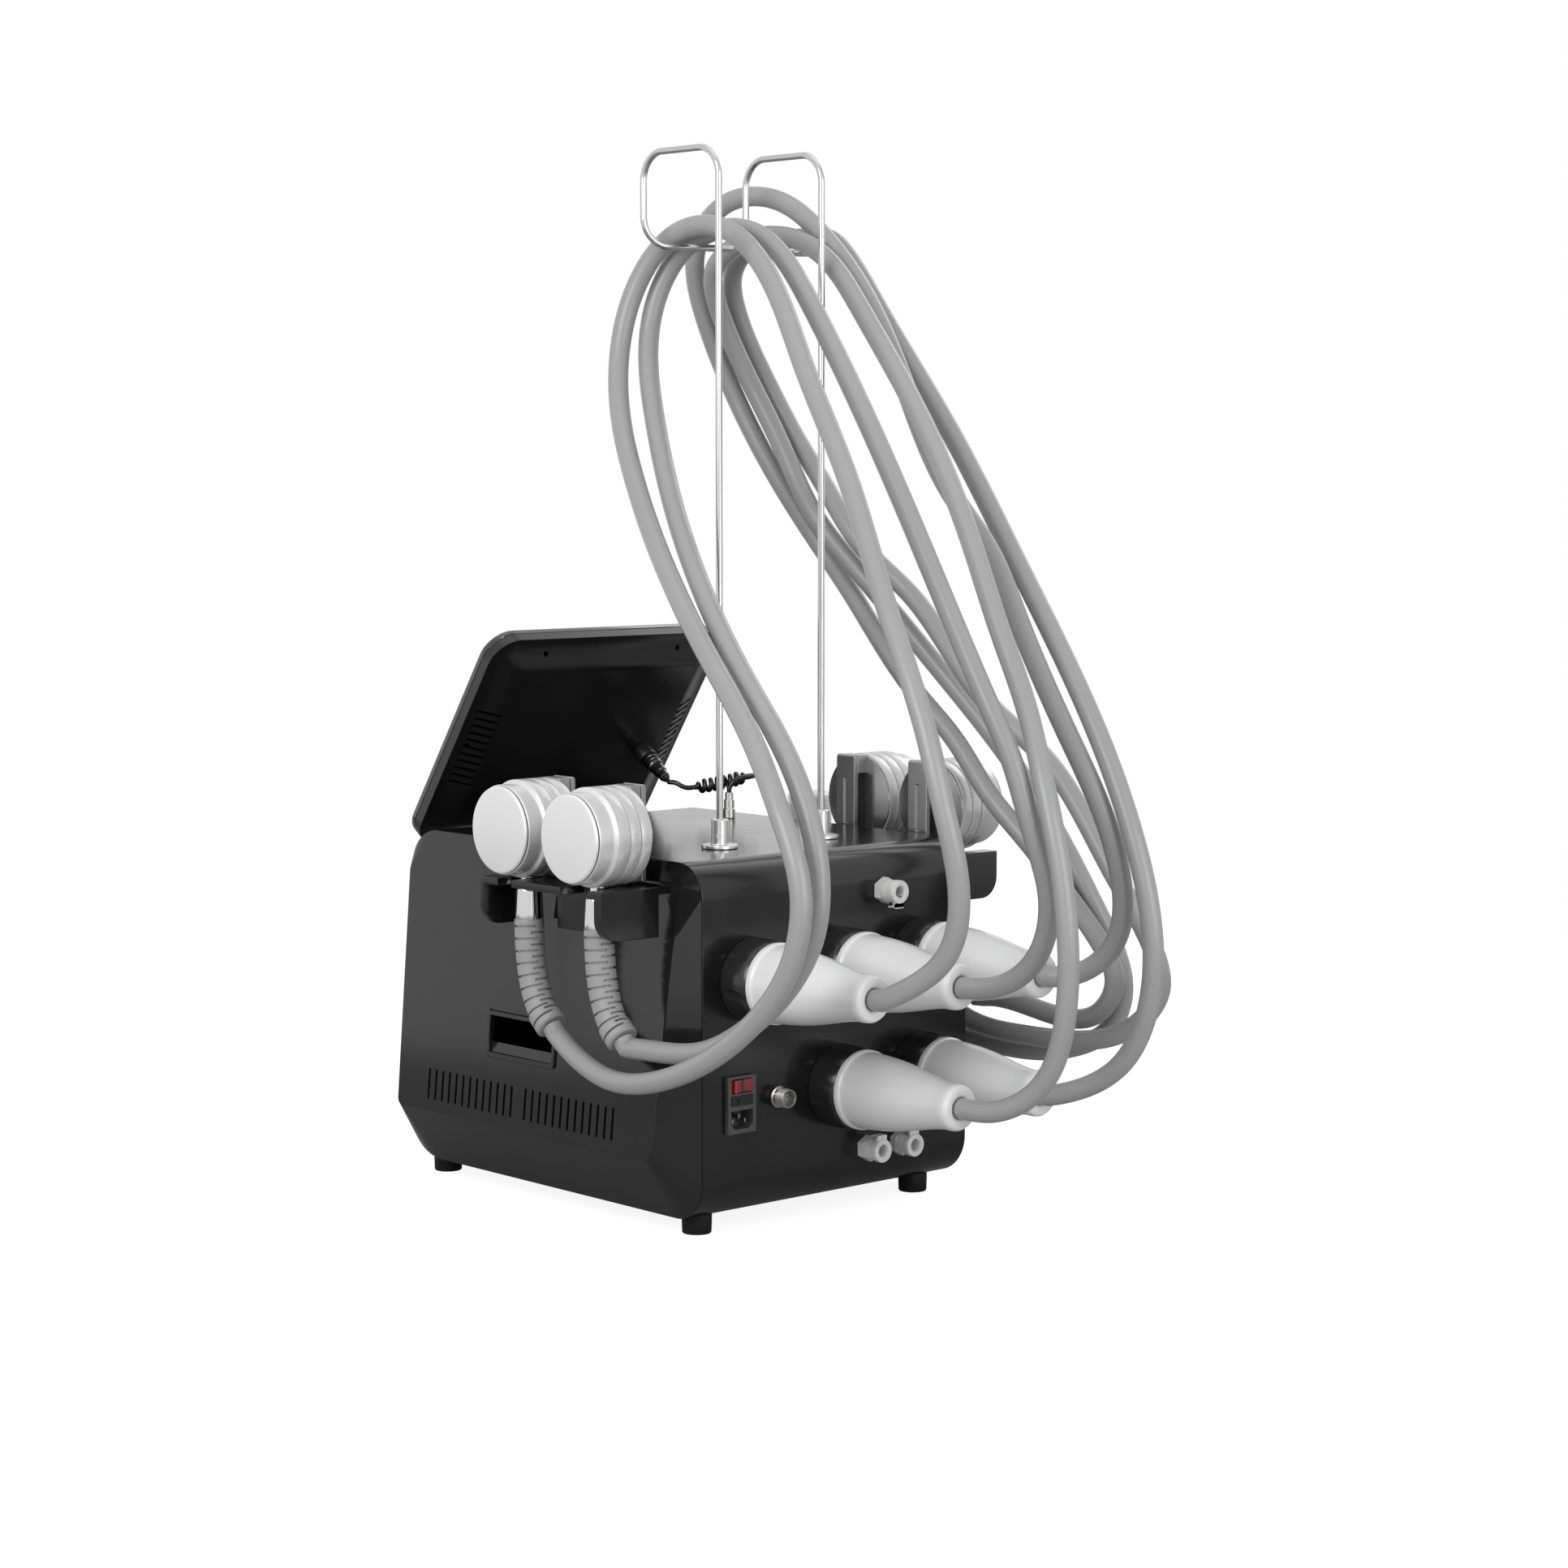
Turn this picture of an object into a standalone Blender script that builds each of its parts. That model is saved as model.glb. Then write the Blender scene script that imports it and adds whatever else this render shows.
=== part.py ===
"""Cryotherapy facial machine: a table unit with a tilting screen and five hose-fed applicators.

Metres, +Z up. The screen faces -Y, the hose sockets are on the rear at +Y, and the origin is
under the middle of the machine, on the surface that it stands on.
"""

import math

import bmesh
import bpy
import numpy as np
from mathutils import Matrix, Quaternion, Vector

MM = 0.001

# Driving dimensions of the body
BODY_HEIGHT = 303.5 * MM
BODY_LENGTH = 406.5 * MM
BODY_HALF_WIDTH = 155 * MM
BODY_BASE = 16.5 * MM
BODY_REAR = 216.5 * MM
BODY_FRONT_RAKE = 13.5 * MM
BODY_WALL = 3 * MM
FRONT_TOP_RADIUS = 38 * MM
FRONT_BASE_RADIUS = 50 * MM
REAR_BASE_RADIUS = 35 * MM
REAR_TOP_RADIUS = 30 * MM
BODY_TOP = BODY_BASE + BODY_HEIGHT
BODY_FRONT_TOP = BODY_REAR - BODY_LENGTH
BODY_FRONT_BASE = BODY_FRONT_TOP - BODY_FRONT_RAKE

# Clearance between touching pieces, and how far every cutter runs past what it cuts
GAP = 0.3 * MM
BORE_CLEARANCE = 0.6 * MM
OVERRUN = 20 * MM
WELD = 0.001 * MM

# Raised panel of each side cover, its plane leaning in towards the top
PANEL_FRONT_BASE_SETBACK = 19.5 * MM
PANEL_REAR_BASE_SETBACK = 40.5 * MM
PANEL_REAR_TOP_SETBACK = 25 * MM
PANEL_BASE_RISE = 51.5 * MM
PANEL_TOP_DROP = 24 * MM
PANEL_BASE_STANDOFF = 25 * MM
PANEL_TOP_STANDOFF = 3 * MM
PANEL_BASE_RADIUS = 6 * MM
PANEL_FRONT_TOP_RADIUS = 17 * MM
PANEL_REAR_TOP_RADIUS = 40 * MM
COVER_WALL = 3.5 * MM
PANEL_FRONT_BASE = BODY_FRONT_BASE + PANEL_FRONT_BASE_SETBACK
PANEL_FRONT_TOP = BODY_FRONT_TOP
PANEL_REAR_BASE = BODY_REAR - PANEL_REAR_BASE_SETBACK
PANEL_REAR_TOP = BODY_REAR - PANEL_REAR_TOP_SETBACK
PANEL_BASE = BODY_BASE + PANEL_BASE_RISE
PANEL_TOP = BODY_TOP - PANEL_TOP_DROP
PANEL_BASE_HALF_WIDTH = BODY_HALF_WIDTH + PANEL_BASE_STANDOFF
PANEL_TOP_HALF_WIDTH = BODY_HALF_WIDTH + PANEL_TOP_STANDOFF

# Two rows of vent slots in each side cover, and the carrying grip above them
VENT_COUNT = 13
VENT_WIDTH = 2.2 * MM
VENT_PITCH = 10.1 * MM
VENT_HEIGHT = 28.2 * MM
VENT_RISE = 10 * MM
VENT_FRONT_SETBACK = 46.5 * MM
VENT_REAR_SETBACK = 51.3 * MM
GRIP_SETBACK = 132.5 * MM
GRIP_LENGTH = 89 * MM
GRIP_RISE = 72.5 * MM
GRIP_HEIGHT = 24 * MM
GRIP_LEDGE = 8 * MM
VENT_BASE = PANEL_BASE + VENT_RISE
VENT_TOP = VENT_BASE + VENT_HEIGHT
VENT_ROW_STARTS = (PANEL_FRONT_BASE + VENT_FRONT_SETBACK,
                   PANEL_REAR_BASE - VENT_REAR_SETBACK - (VENT_COUNT - 1) * VENT_PITCH)
GRIP_FRONT = PANEL_FRONT_BASE + GRIP_SETBACK
GRIP_REAR = GRIP_FRONT + GRIP_LENGTH
GRIP_BASE = PANEL_BASE + GRIP_RISE
GRIP_TOP = GRIP_BASE + GRIP_HEIGHT

# Feet, each rising to the rounded underside
FOOT_SIDE_INSET = 27 * MM
FOOT_FRONT_INSET = 26.5 * MM
FOOT_REAR_INSET = 39.5 * MM
FOOT_BASE_RADIUS = 12 * MM
FOOT_TOP_RADIUS = 13 * MM
FOOT_ROOT_SHARE = 0.35
FOOT_X = BODY_HALF_WIDTH - FOOT_SIDE_INSET
FOOT_FRONT_Y = BODY_FRONT_BASE + FOOT_FRONT_INSET
FOOT_REAR_Y = BODY_REAR - FOOT_REAR_INSET
FOOT_ROOT = BODY_BASE + FOOT_ROOT_SHARE * FRONT_BASE_RADIUS

# Screen, in its own tilted frame: up along the glass from the hinge, and back from the glass
SCREEN_WIDTH = 271 * MM
SCREEN_HEIGHT = 236 * MM
SCREEN_CORNER_RADIUS = 27 * MM
SCREEN_TILT = math.radians(34.4)
SCREEN_RIM_DEPTH = 16 * MM
SCREEN_DEPTH = 28 * MM
SCREEN_EDGE_BEVEL = 1.5 * MM
FRONT_PANEL_THICKNESS = 6 * MM
BACK_COVER_WALL = 2.5 * MM
PLATEAU_INSET = 31 * MM
STEP_SHARES = ((0, 0), (0.3, 0.1), (0.71, 0.33), (0.87, 0.83), (1, 1))
SCREEN_VENT_COUNT = 10
SCREEN_VENT_WIDTH = 18 * MM
SCREEN_VENT_HEIGHT = 3 * MM
SCREEN_VENT_PITCH = 8 * MM
SCREEN_VENT_CUT = 10 * MM
SCREEN_VENT_INSET_SHARE = 0.79
SCREEN_VENT_DEPTH_SHARE = 0.25
PLATEAU_CORNER_SHARE = 1 / 3

# Screen hinge, carried on the rounding at the front of the top
HINGE_UP_FROM_EDGE = 30.3 * MM
HINGE_ANGLE = math.radians(136)
KNUCKLE_RADIUS = 5 * MM
KNUCKLE_OFFSET = 0.7 * MM
KNUCKLE_CLEARANCE = 0.6 * MM
LUG_HALF_WIDTH = 50 * MM
EAR_THICKNESS = 10 * MM
EAR_GAP = 0.5 * MM
EAR_FOOT_HALF_WIDTH = 10 * MM
BRACKET_THICKNESS = 2.4 * MM
BRACKET_HALF_ANGLE = math.radians(19)
PIN_RADIUS = 2.5 * MM
PIN_HEAD_RADIUS = 3.8 * MM
PIN_HEAD_LENGTH = 1.5 * MM
HINGE_REACH = FRONT_TOP_RADIUS + GAP + BRACKET_THICKNESS + KNUCKLE_RADIUS + KNUCKLE_CLEARANCE

# Applicators: where they hang over the holders, then the turned head about its centre
APPLICATOR_STANDOFF = 51.5 * MM
APPLICATOR_REAR_SETBACK = 72.9 * MM
APPLICATOR_SPACING = 10.9 * MM
HOLDER_TOP_DROP = 20.2 * MM
HEAD_RADIUS = 42 * MM
FACE_INSET = 3.5 * MM
FACE_REACH = 32.3 * MM
FACE_ROUNDING = 2 * MM
COLLAR_REACH = 14 * MM
SHOULDER_REACH = 11.5 * MM
HEAD_REAR = -23.5 * MM
HEAD_WALL = 3 * MM
FACE_RADIUS = HEAD_RADIUS - FACE_INSET
HOLDER_TOP = BODY_TOP - HOLDER_TOP_DROP
APPLICATOR_X = BODY_HALF_WIDTH + APPLICATOR_STANDOFF
APPLICATOR_REAR_Y = BODY_REAR - APPLICATOR_REAR_SETBACK
APPLICATOR_FRONT_Y = APPLICATOR_REAR_Y - 2 * HEAD_RADIUS - APPLICATOR_SPACING

# Grip on an applicator's back: a bow between two bridges on the closing disc
DISC_THICKNESS = 1.7 * MM
DISC_INSET = 1 * MM
DISC_PLUG_LENGTH = 3 * MM
BOW_REACH = 16.5 * MM
BOW_THICKNESS = 4 * MM
BOW_WIDTH = 24 * MM
BOW_BASE_INSET = 1.5 * MM
TOP_BRIDGE_HEIGHT = 18 * MM
BASE_BRIDGE_HEIGHT = 11 * MM
BOW_ROUNDING = 4 * MM
BOW_INNER_ROUNDING = 2 * MM
DISC_REAR = HEAD_REAR - GAP - DISC_THICKNESS
DISC_RADIUS = HEAD_RADIUS - DISC_INSET
BOW_OUTER = DISC_REAR - BOW_REACH
BOW_TOP = HEAD_RADIUS
BOW_BASE = BOW_BASE_INSET - HEAD_RADIUS

# Applicator stem: turned neck, then a slotted sleeve that bends back to the hose
NECK_TOP_RADIUS = 9 * MM
NECK_BASE_RADIUS = 12.5 * MM
NECK_DROP = 35.8 * MM
SPIGOT_RADIUS = 7 * MM
SPIGOT_LENGTH = 6 * MM
SLEEVE_STEP = 0.25 * MM
SLEEVE_OVERLAP = 2 * MM
CUFF_STEP = 1.25 * MM
CUFF_LENGTH = 16 * MM
SLEEVE_END_BACK = 31.5 * MM
SLEEVE_END_DROP = 125.8 * MM
NECK_PROFILE_SHARES = ((0, 0), (0.15, 0.45), (1, 1))
SLEEVE_ROUTE_SHARES = ((0.08, 0.62), (0.27, 0.34), (0.59, 0.13))
NECK_BASE = HOLDER_TOP - NECK_DROP
SLEEVE_RADIUS = NECK_BASE_RADIUS + SLEEVE_STEP
CUFF_RADIUS = SLEEVE_RADIUS + CUFF_STEP
SLEEVE_END_HEIGHT = HOLDER_TOP - SLEEVE_END_DROP

# Small fifth applicator
SMALL_SPACING = 32 * MM
SMALL_RADIUS = 21 * MM
SMALL_HEIGHT = 40 * MM
SMALL_EDGE_INSET = 4 * MM
SMALL_GROOVE_DEPTH = 1 * MM
SMALL_GROOVE_DROP = 8 * MM
SMALL_GROOVE_HEIGHT = 1.5 * MM
SMALL_EDGE_RADIUS = SMALL_RADIUS - SMALL_EDGE_INSET
SMALL_Y = APPLICATOR_FRONT_Y - HEAD_RADIUS - SMALL_SPACING - SMALL_RADIUS

# Applicator holders on the two sides
HOLDER_LIP = 26.5 * MM
HOLDER_PLATE_THICKNESS = 6.5 * MM
HOLDER_FRONT_REACH = 34.3 * MM
HOLDER_REAR_REACH = 34.9 * MM
FRONT_CHEEK_THICKNESS = 5.7 * MM
REAR_CHEEK_THICKNESS = 9 * MM
CHEEK_DROP = 42.3 * MM
CHEEK_WIDTH = 63 * MM
CHEEK_ROUNDING = 19 * MM
SEAT_CLEARANCE = 2.5 * MM
MOUTH_CLEARANCE = 1 * MM
WIDE_MOUTH = 36.8 * MM
BRACE_INSET = 10.5 * MM
BRACE_HALF_LENGTH = 22 * MM
HOLDER_HALF_SPAN = APPLICATOR_X + HOLDER_LIP
HOLDER_FRONT = APPLICATOR_FRONT_Y - HOLDER_FRONT_REACH
LONG_HOLDER_FRONT = SMALL_Y - HOLDER_FRONT_REACH
HOLDER_REAR = APPLICATOR_REAR_Y + HOLDER_REAR_REACH
CHEEK_BASE = HOLDER_TOP - CHEEK_DROP
CHEEK_INNER = HOLDER_HALF_SPAN - CHEEK_WIDTH
SEAT_RADIUS = NECK_BASE_RADIUS + SEAT_CLEARANCE
HOSE_MOUTH = 2 * NECK_TOP_RADIUS + MOUTH_CLEARANCE
BRACE_OUTER = APPLICATOR_X - BRACE_INSET

# Rear hose sockets: a nose through the wall, a coupling ring and a boot for each
SOCKET_RIGHT_X = 100 * MM
SOCKET_LEFT_X = -97 * MM
SOCKET_TOP_DROP = 101 * MM
SOCKET_ROW_PITCH = 102 * MM
NOSE_RADIUS = 27.5 * MM
NOSE_REACH = 12 * MM
SOCKET_PLATE_THICKNESS = 4 * MM
SOCKET_PLATE_MARGIN = 8 * MM
RING_WALL = 7.5 * MM
RING_LENGTH = 29.7 * MM
RING_CLEARANCE = 1 * MM
RING_LIP_LENGTH = 11 * MM
RING_LIP_CLEARANCE = 0.5 * MM
RING_NOTCH_COUNT = 7
RING_NOTCH_RADIUS = 8 * MM
RING_NOTCH_DEPTH = 1.6 * MM
RING_NOTCH_START = 6 * MM
RING_NOTCH_LENGTH = 20 * MM
BOOT_CORE_INSET = 2.5 * MM
BOOT_RIM_INSET = 1 * MM
BOOT_LENGTH = 119.7 * MM
BOOT_PROFILE_SHARES = ((0.99, 0), (0.99, 0.045), (0.925, 0.07), (0.83, 0.42), (0.64, 0.7), (0.55, 1))
SOCKET_UPPER_Z = BODY_TOP - SOCKET_TOP_DROP
SOCKET_LOWER_Z = SOCKET_UPPER_Z - SOCKET_ROW_PITCH
RING_RADIUS = NOSE_RADIUS + RING_CLEARANCE + RING_WALL
BOOT_CORE_RADIUS = NOSE_RADIUS - BOOT_CORE_INSET
BOOT_RIM_RADIUS = RING_RADIUS - BOOT_RIM_INSET

# Mains inlet: a plate with a rocker, a fuse drawer and a three-pin socket, one above another
INLET_SIDE_INSET = 40.15 * MM
INLET_RISE = 98 * MM
INLET_WIDTH = 31 * MM
INLET_HEIGHT = 48.6 * MM
INLET_PLATE_THICKNESS = 4 * MM
INLET_BODY_DEPTH = 30 * MM
INLET_BODY_MARGIN = 2 * MM
ROCKER_WIDTH = 21 * MM
ROCKER_HEIGHT = 11 * MM
ROCKER_DEPTH = 9 * MM
ROCKER_RISE = 16 * MM
ROCKER_PROUD = 1.6 * MM
ROCKER_CLEARANCE = 0.8 * MM
ROCKER_DISH = 1 * MM
ROCKER_BACK_INSET = 1.5 * MM
ROCKER_AXIS_SHARE = 0.4
ROCKER_TILT = math.radians(6)
DRAWER_WIDTH = 24 * MM
DRAWER_HEIGHT = 8 * MM
DRAWER_LENGTH = 22 * MM
DRAWER_RISE = 3.6 * MM
DRAWER_PROUD = 1 * MM
DRAWER_GRIP_WIDTH = 4 * MM
DRAWER_GRIP_DEPTH = 1.5 * MM
MAINS_SOCKET_WIDTH = 24.5 * MM
MAINS_SOCKET_HEIGHT = 16 * MM
MAINS_SOCKET_DEPTH = 15 * MM
MAINS_SOCKET_DROP = 12.6 * MM
MAINS_PIN_WIDTH = 2 * MM
MAINS_PIN_HEIGHT = 4 * MM
MAINS_PIN_LENGTH = 11 * MM
MAINS_PIN_PITCH = 7 * MM
MAINS_EARTH_RISE = 2 * MM
INLET_X = BODY_HALF_WIDTH - INLET_SIDE_INSET
INLET_Z = BODY_BASE + INLET_RISE

# Foot-switch socket
FOOT_SOCKET_SPACING = 43.85 * MM
FOOT_SOCKET_RISE = 99 * MM
FOOT_SOCKET_FLANGE_RADIUS = 9.5 * MM
FOOT_SOCKET_FLANGE_LENGTH = 2.5 * MM
FOOT_SOCKET_RADIUS = 8.25 * MM
FOOT_SOCKET_LENGTH = 15 * MM
FOOT_SOCKET_BORE = 6.5 * MM
FOOT_SOCKET_FLOOR = 4 * MM
FOOT_SOCKET_SHANK_RADIUS = 7 * MM
FOOT_SOCKET_SHANK_LENGTH = 12 * MM
FOOT_SOCKET_X = INLET_X - FOOT_SOCKET_SPACING
FOOT_SOCKET_Z = BODY_BASE + FOOT_SOCKET_RISE

# Quick couplings for overflow, draining and filling
OVERFLOW_X = -52 * MM
OVERFLOW_TOP_DROP = 37.5 * MM
DRAIN_X = -32.5 * MM
DRAIN_RISE = 41 * MM
FILL_X = -71.5 * MM
FILL_RISE = 41 * MM
COUPLING_HEX_RADIUS = 11.5 * MM
COUPLING_HEX_LENGTH = 7.2 * MM
COUPLING_BARREL_RADIUS = 8.6 * MM
COUPLING_LENGTH = 22.5 * MM
COUPLING_FACE_RADIUS = 10.2 * MM
COUPLING_FACE_LENGTH = 5.9 * MM
COUPLING_RIB_RADIUS = 9.8 * MM
COUPLING_RIB_LENGTH = 2.2 * MM
COUPLING_RIB_SHARES = (0.37, 0.5, 0.63)
COUPLING_BORE = 4.5 * MM
COUPLING_BORE_DEPTH = 14 * MM
COUPLING_SHANK_RADIUS = 6 * MM
COUPLING_SHANK_LENGTH = 14 * MM
LATCH_WIDTH = 11 * MM
LATCH_THICKNESS = 3 * MM
LATCH_SETBACK = 1.6 * MM
LATCH_INNER = 5.6 * MM
LATCH_OUTER = 14 * MM
LATCH_TAB_LENGTH = 8.5 * MM
LATCH_TAB_THICKNESS = 1.5 * MM
LATCH_TRAVEL = 1.5 * MM
COUPLING_EDGE = 1 * MM

# Hose hangers: two bent rods in screwed collars on the top
HANGER_HALF_SPAN = 59.6 * MM
HANGER_REAR_SETBACK = 87.5 * MM
HANGER_RISE = 601.5 * MM
HANGER_REACH = 100.1 * MM
HANGER_HOOK_DROP = 80.3 * MM
HANGER_ROD_RADIUS = 3 * MM
HANGER_BEND_RADIUS = 25 * MM
HANGER_ARM_LENGTH = 87 * MM
HANGER_ARM_ANGLE = math.radians(165)
FLANGE_RADIUS = 16 * MM
FLANGE_THICKNESS = 3 * MM
COLLAR_WALL = 4.25 * MM
COLLAR_HEIGHT = 25 * MM
COLLAR_FLOOR = 2 * MM
CLAMP_SCREW_RADIUS = 2.4 * MM
CLAMP_SCREW_PROUD = 1.6 * MM
CLAMP_SCREW_SHARE = 0.45
HANGER_Y = BODY_REAR - HANGER_REAR_SETBACK
HANGER_TOP = BODY_TOP + HANGER_RISE
HANGER_FRONT_Y = HANGER_Y - HANGER_REACH
HANGER_ARM_HEIGHT = HANGER_TOP - HANGER_HOOK_DROP
COLLAR_RADIUS = HANGER_ROD_RADIUS + COLLAR_WALL

# Screen cord: a curly cord from a plug on the screen's back to a plug in the top
CORD_DIAMETER = 4 * MM
CURL_OUTER_DIAMETER = 11 * MM
CURL_COUNT = 8
CURL_POINTS = 8
SCREEN_PLUG_EDGE_INSET = 53.5 * MM
SCREEN_PLUG_UP = 77 * MM
SCREEN_PLUG_ELBOW_RADIUS = 9 * MM
SCREEN_PLUG_BARREL_RADIUS = 8 * MM
SCREEN_PLUG_END_RADIUS = 5 * MM
SCREEN_PLUG_LENGTH = 46 * MM
SCREEN_PLUG_SHARES = (0.3, 0.34, 0.62, 0.66)
TOP_PLUG_SIDE_INSET = 42 * MM
TOP_PLUG_FRONT_SETBACK = 134 * MM
TOP_PLUG_FLANGE_RADIUS = 6 * MM
TOP_PLUG_BODY_RADIUS = 4.6 * MM
TOP_PLUG_END_RADIUS = 3.2 * MM
TOP_PLUG_HEIGHT = 24 * MM
TOP_PLUG_SPIGOT_RADIUS = 3.5 * MM
TOP_PLUG_SHARES = (0.16, 0.62, 0.68)
SCREEN_PLUG_X = SCREEN_PLUG_EDGE_INSET - SCREEN_WIDTH / 2
TOP_PLUG_X = TOP_PLUG_SIDE_INSET - BODY_HALF_WIDTH
TOP_PLUG_Y = BODY_FRONT_TOP + TOP_PLUG_FRONT_SETBACK

# Hoses, and the straight stub with which each meets a boot and a sleeve
HOSE_DIAMETER = 18 * MM
HOSE_STUB = 8 * MM
HOSE_POINT_SPACING = 3 * HOSE_DIAMETER
HOSE_TURN = math.radians(24)
HOSE_ROUTES = {
    "hose_1": ((95, 389, 226), (85, 435, 262), (90, 452, 318), (100, 446, 377), (101, 428, 434),
               (86, 365, 536), (60, 290, 641), (40, 215, 734), (19, 137, 824), (17, 85, 856), (23, 28, 853),
               (37, -9, 808), (54, -13, 740), (89, 48, 644), (126, 134, 567), (159, 227, 497),
               (190, 328, 418), (200, 365, 373), (201, 388, 318), (203, 379, 259), (208, 335, 204),
               (215, 231, 148), (216, 169, 141), (210, 101, 162)),
    "hose_2": ((-5, 390, 220), (-15, 431, 243), (-15, 451, 297), (-7, 439, 355), (-2, 420, 412),
               (3, 399, 455), (3, 367, 506), (-2, 300, 607), (-13, 164, 791), (-12, 77, 857), (1, 21, 845),
               (18, -5, 795), (46, 26, 695), (85, 101, 609), (149, 271, 468), (166, 349, 394),
               (175, 376, 281), (189, 311, 198), (197, 256, 172), (206, 199, 169)),
    "hose_3": ((-104, 390, 221), (-115, 434, 256), (-111, 440, 315), (-96, 395, 425), (-95, 333, 527),
               (-96, 301, 578), (-91, 262, 624), (-97, 194, 723), (-106, 121, 817), (-109, 75, 857),
               (-104, 23, 889), (-91, -33, 889), (-89, -74, 848), (-107, -85, 792), (-126, -75, 735),
               (-152, -24, 630), (-169, 4, 581), (-175, 44, 534), (-176, 131, 444), (-183, 174, 403),
               (-185, 214, 358), (-193, 257, 316), (-203, 295, 272), (-220, 326, 222), (-226, 331, 200),
               (-226, 316, 170), (-209, 199, 170)),
    "hose_4": ((-3, 391, 117), (-13, 443, 143), (-11, 474, 207), (-7, 468, 338), (-11, 448, 394),
               (-27, 411, 456), (-37, 371, 516), (-48, 332, 576), (-66, 254, 681), (-81, 157, 786),
               (-85, 115, 827), (-90, 47, 855), (-89, -27, 846), (-92, -53, 826), (-106, -62, 795),
               (-144, -23, 677), (-147, -5, 645), (-155, 9, 613), (-171, 53, 558), (-198, 140, 464),
               (-214, 240, 360), (-233, 308, 249), (-249, 320, 180), (-244, 307, 149), (-233, 280, 132),
               (-219, 222, 124), (-213, 149, 129), (-209, 80, 134), (-207, 28, 147), (-207, 8, 158)),
    "hose_5": ((-100, 390, 121), (-110, 442, 149), (-112, 475, 212), (-108, 459, 342), (-124, 304, 571),
               (-126, 225, 677), (-125, 131, 791), (-129, 88, 837), (-130, 62, 854), (-126, 28, 856),
               (-122, -42, 847), (-127, -66, 825), (-139, -73, 792), (-158, -59, 736), (-169, -24, 675),
               (-167, 20, 628), (-169, 69, 574), (-182, 111, 537), (-184, 163, 487), (-184, 215, 438),
               (-192, 273, 396), (-196, 358, 295), (-211, 390, 232), (-219, 391, 198), (-217, 372, 169),
               (-200, 249, 142), (-202, 176, 147), (-206, 104, 167)),
}
SCREEN_CORD_LEAD = ((-85, -101, 352), (-90, -94, 348))
SCREEN_CORD_CURLS = ((-98, -88, 348), (-118, -78, 351), (-130, -70, 354), (-143, -66, 357))
SCREEN_CORD_TAIL = ((-149, -60, 358), (-143, -52, 359), (-130, -50, 358), (-118, -53, 356))

# Facets on round shapes, samples along cords, and the angles that count as an edge
CORNER_STEPS = 4
BEND_STEPS = 6
FINE_SIDES = 18
ROUND_SIDES = 14
SMALL_SIDES = 10
NOTCH_SIDES = 8
HEX_SIDES = 6
TUBE_DETAIL = 2
CURL_DETAIL = 1
BEVEL_SEGMENTS = 2
SAMPLES_PER_POINT = 40
SAMPLES_PER_DIAMETER = 4
DIAMETERS_PER_STEP = 2
SHARP_ANGLE = math.radians(32)
BEVEL_ANGLE = math.radians(40)

# Colours, roughness and metal share of each material
FINISHES = {
    "black_plastic": ((0.012, 0.012, 0.014), 0.25, 0),
    "dark_panel": ((0.16, 0.165, 0.175), 0.4, 0),
    "rubber": ((0.02, 0.02, 0.02), 0.7, 0),
    "screen_glass": ((0.01, 0.01, 0.012), 0.08, 0),
    "steel": ((0.62, 0.62, 0.62), 0.2, 1),
    "chrome": ((0.8, 0.8, 0.8), 0.08, 1),
    "white_plastic": ((0.8, 0.8, 0.8), 0.3, 0),
    "grey_plastic": ((0.45, 0.46, 0.47), 0.45, 0),
    "hose_plastic": ((0.55, 0.56, 0.58), 0.35, 0),
    "cord_plastic": ((0.03, 0.03, 0.03), 0.5, 0),
    "red_plastic": ((0.6, 0.02, 0.02), 0.25, 0),
}


# Scene, materials and the frame that everything hangs on
for old in list(bpy.data.objects):
    bpy.data.objects.remove(old, do_unlink=True)

pieces = bpy.data.collections.new("cryotherapy_facial_machine")
cutters = bpy.data.collections.new("cutters")
bpy.context.scene.collection.children.link(pieces)
bpy.context.scene.collection.children.link(cutters)

materials = {}
for finish, (colour, roughness, metallic) in FINISHES.items():
    material = bpy.data.materials.new(finish)
    material.use_nodes = True
    shader = material.node_tree.nodes["Principled BSDF"]
    shader.inputs["Base Color"].default_value = (*colour, 1)
    shader.inputs["Roughness"].default_value = roughness
    shader.inputs["Metallic"].default_value = metallic
    materials[finish] = material


def empty(name, parent=None):
    """An empty in the pieces' collection."""
    frame = bpy.data.objects.new(name, None)
    pieces.objects.link(frame)
    frame.parent = parent
    return frame


machine = empty("machine_centre")


# Helpers that make one shape each
def add(name, mesh, finish, parent=None):
    """An object from a mesh; without a finish it is a cutter or a shape to be joined."""
    shape = bpy.data.objects.new(name, mesh)
    shape.parent = parent or machine
    if finish is None:
        cutters.objects.link(shape)
        shape.hide_render = True
        shape.display_type = "WIRE"
    else:
        pieces.objects.link(shape)
        mesh.materials.clear()
        mesh.materials.append(materials[finish])
        mesh.shade_smooth()
        mesh.set_sharp_from_angle(angle=SHARP_ANGLE)
    return shape


def mesh_of(bm, name):
    """The mesh of a finished bmesh, its faces turned outwards."""
    bmesh.ops.remove_doubles(bm, verts=bm.verts, dist=WELD)
    bmesh.ops.recalc_face_normals(bm, faces=bm.faces)
    mesh = bpy.data.meshes.new(name)
    bm.to_mesh(mesh)
    bm.free()
    return mesh


def evaluated_mesh(shape, name):
    """The shape with its modifiers or its curve bevel worked out, in its own coordinates."""
    bpy.context.view_layer.update()
    graph = bpy.context.evaluated_depsgraph_get()
    mesh = bpy.data.meshes.new_from_object(shape.evaluated_get(graph))
    bm = bmesh.new()
    bm.from_mesh(mesh)
    bpy.data.meshes.remove(mesh)
    return mesh_of(bm, name)


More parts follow.
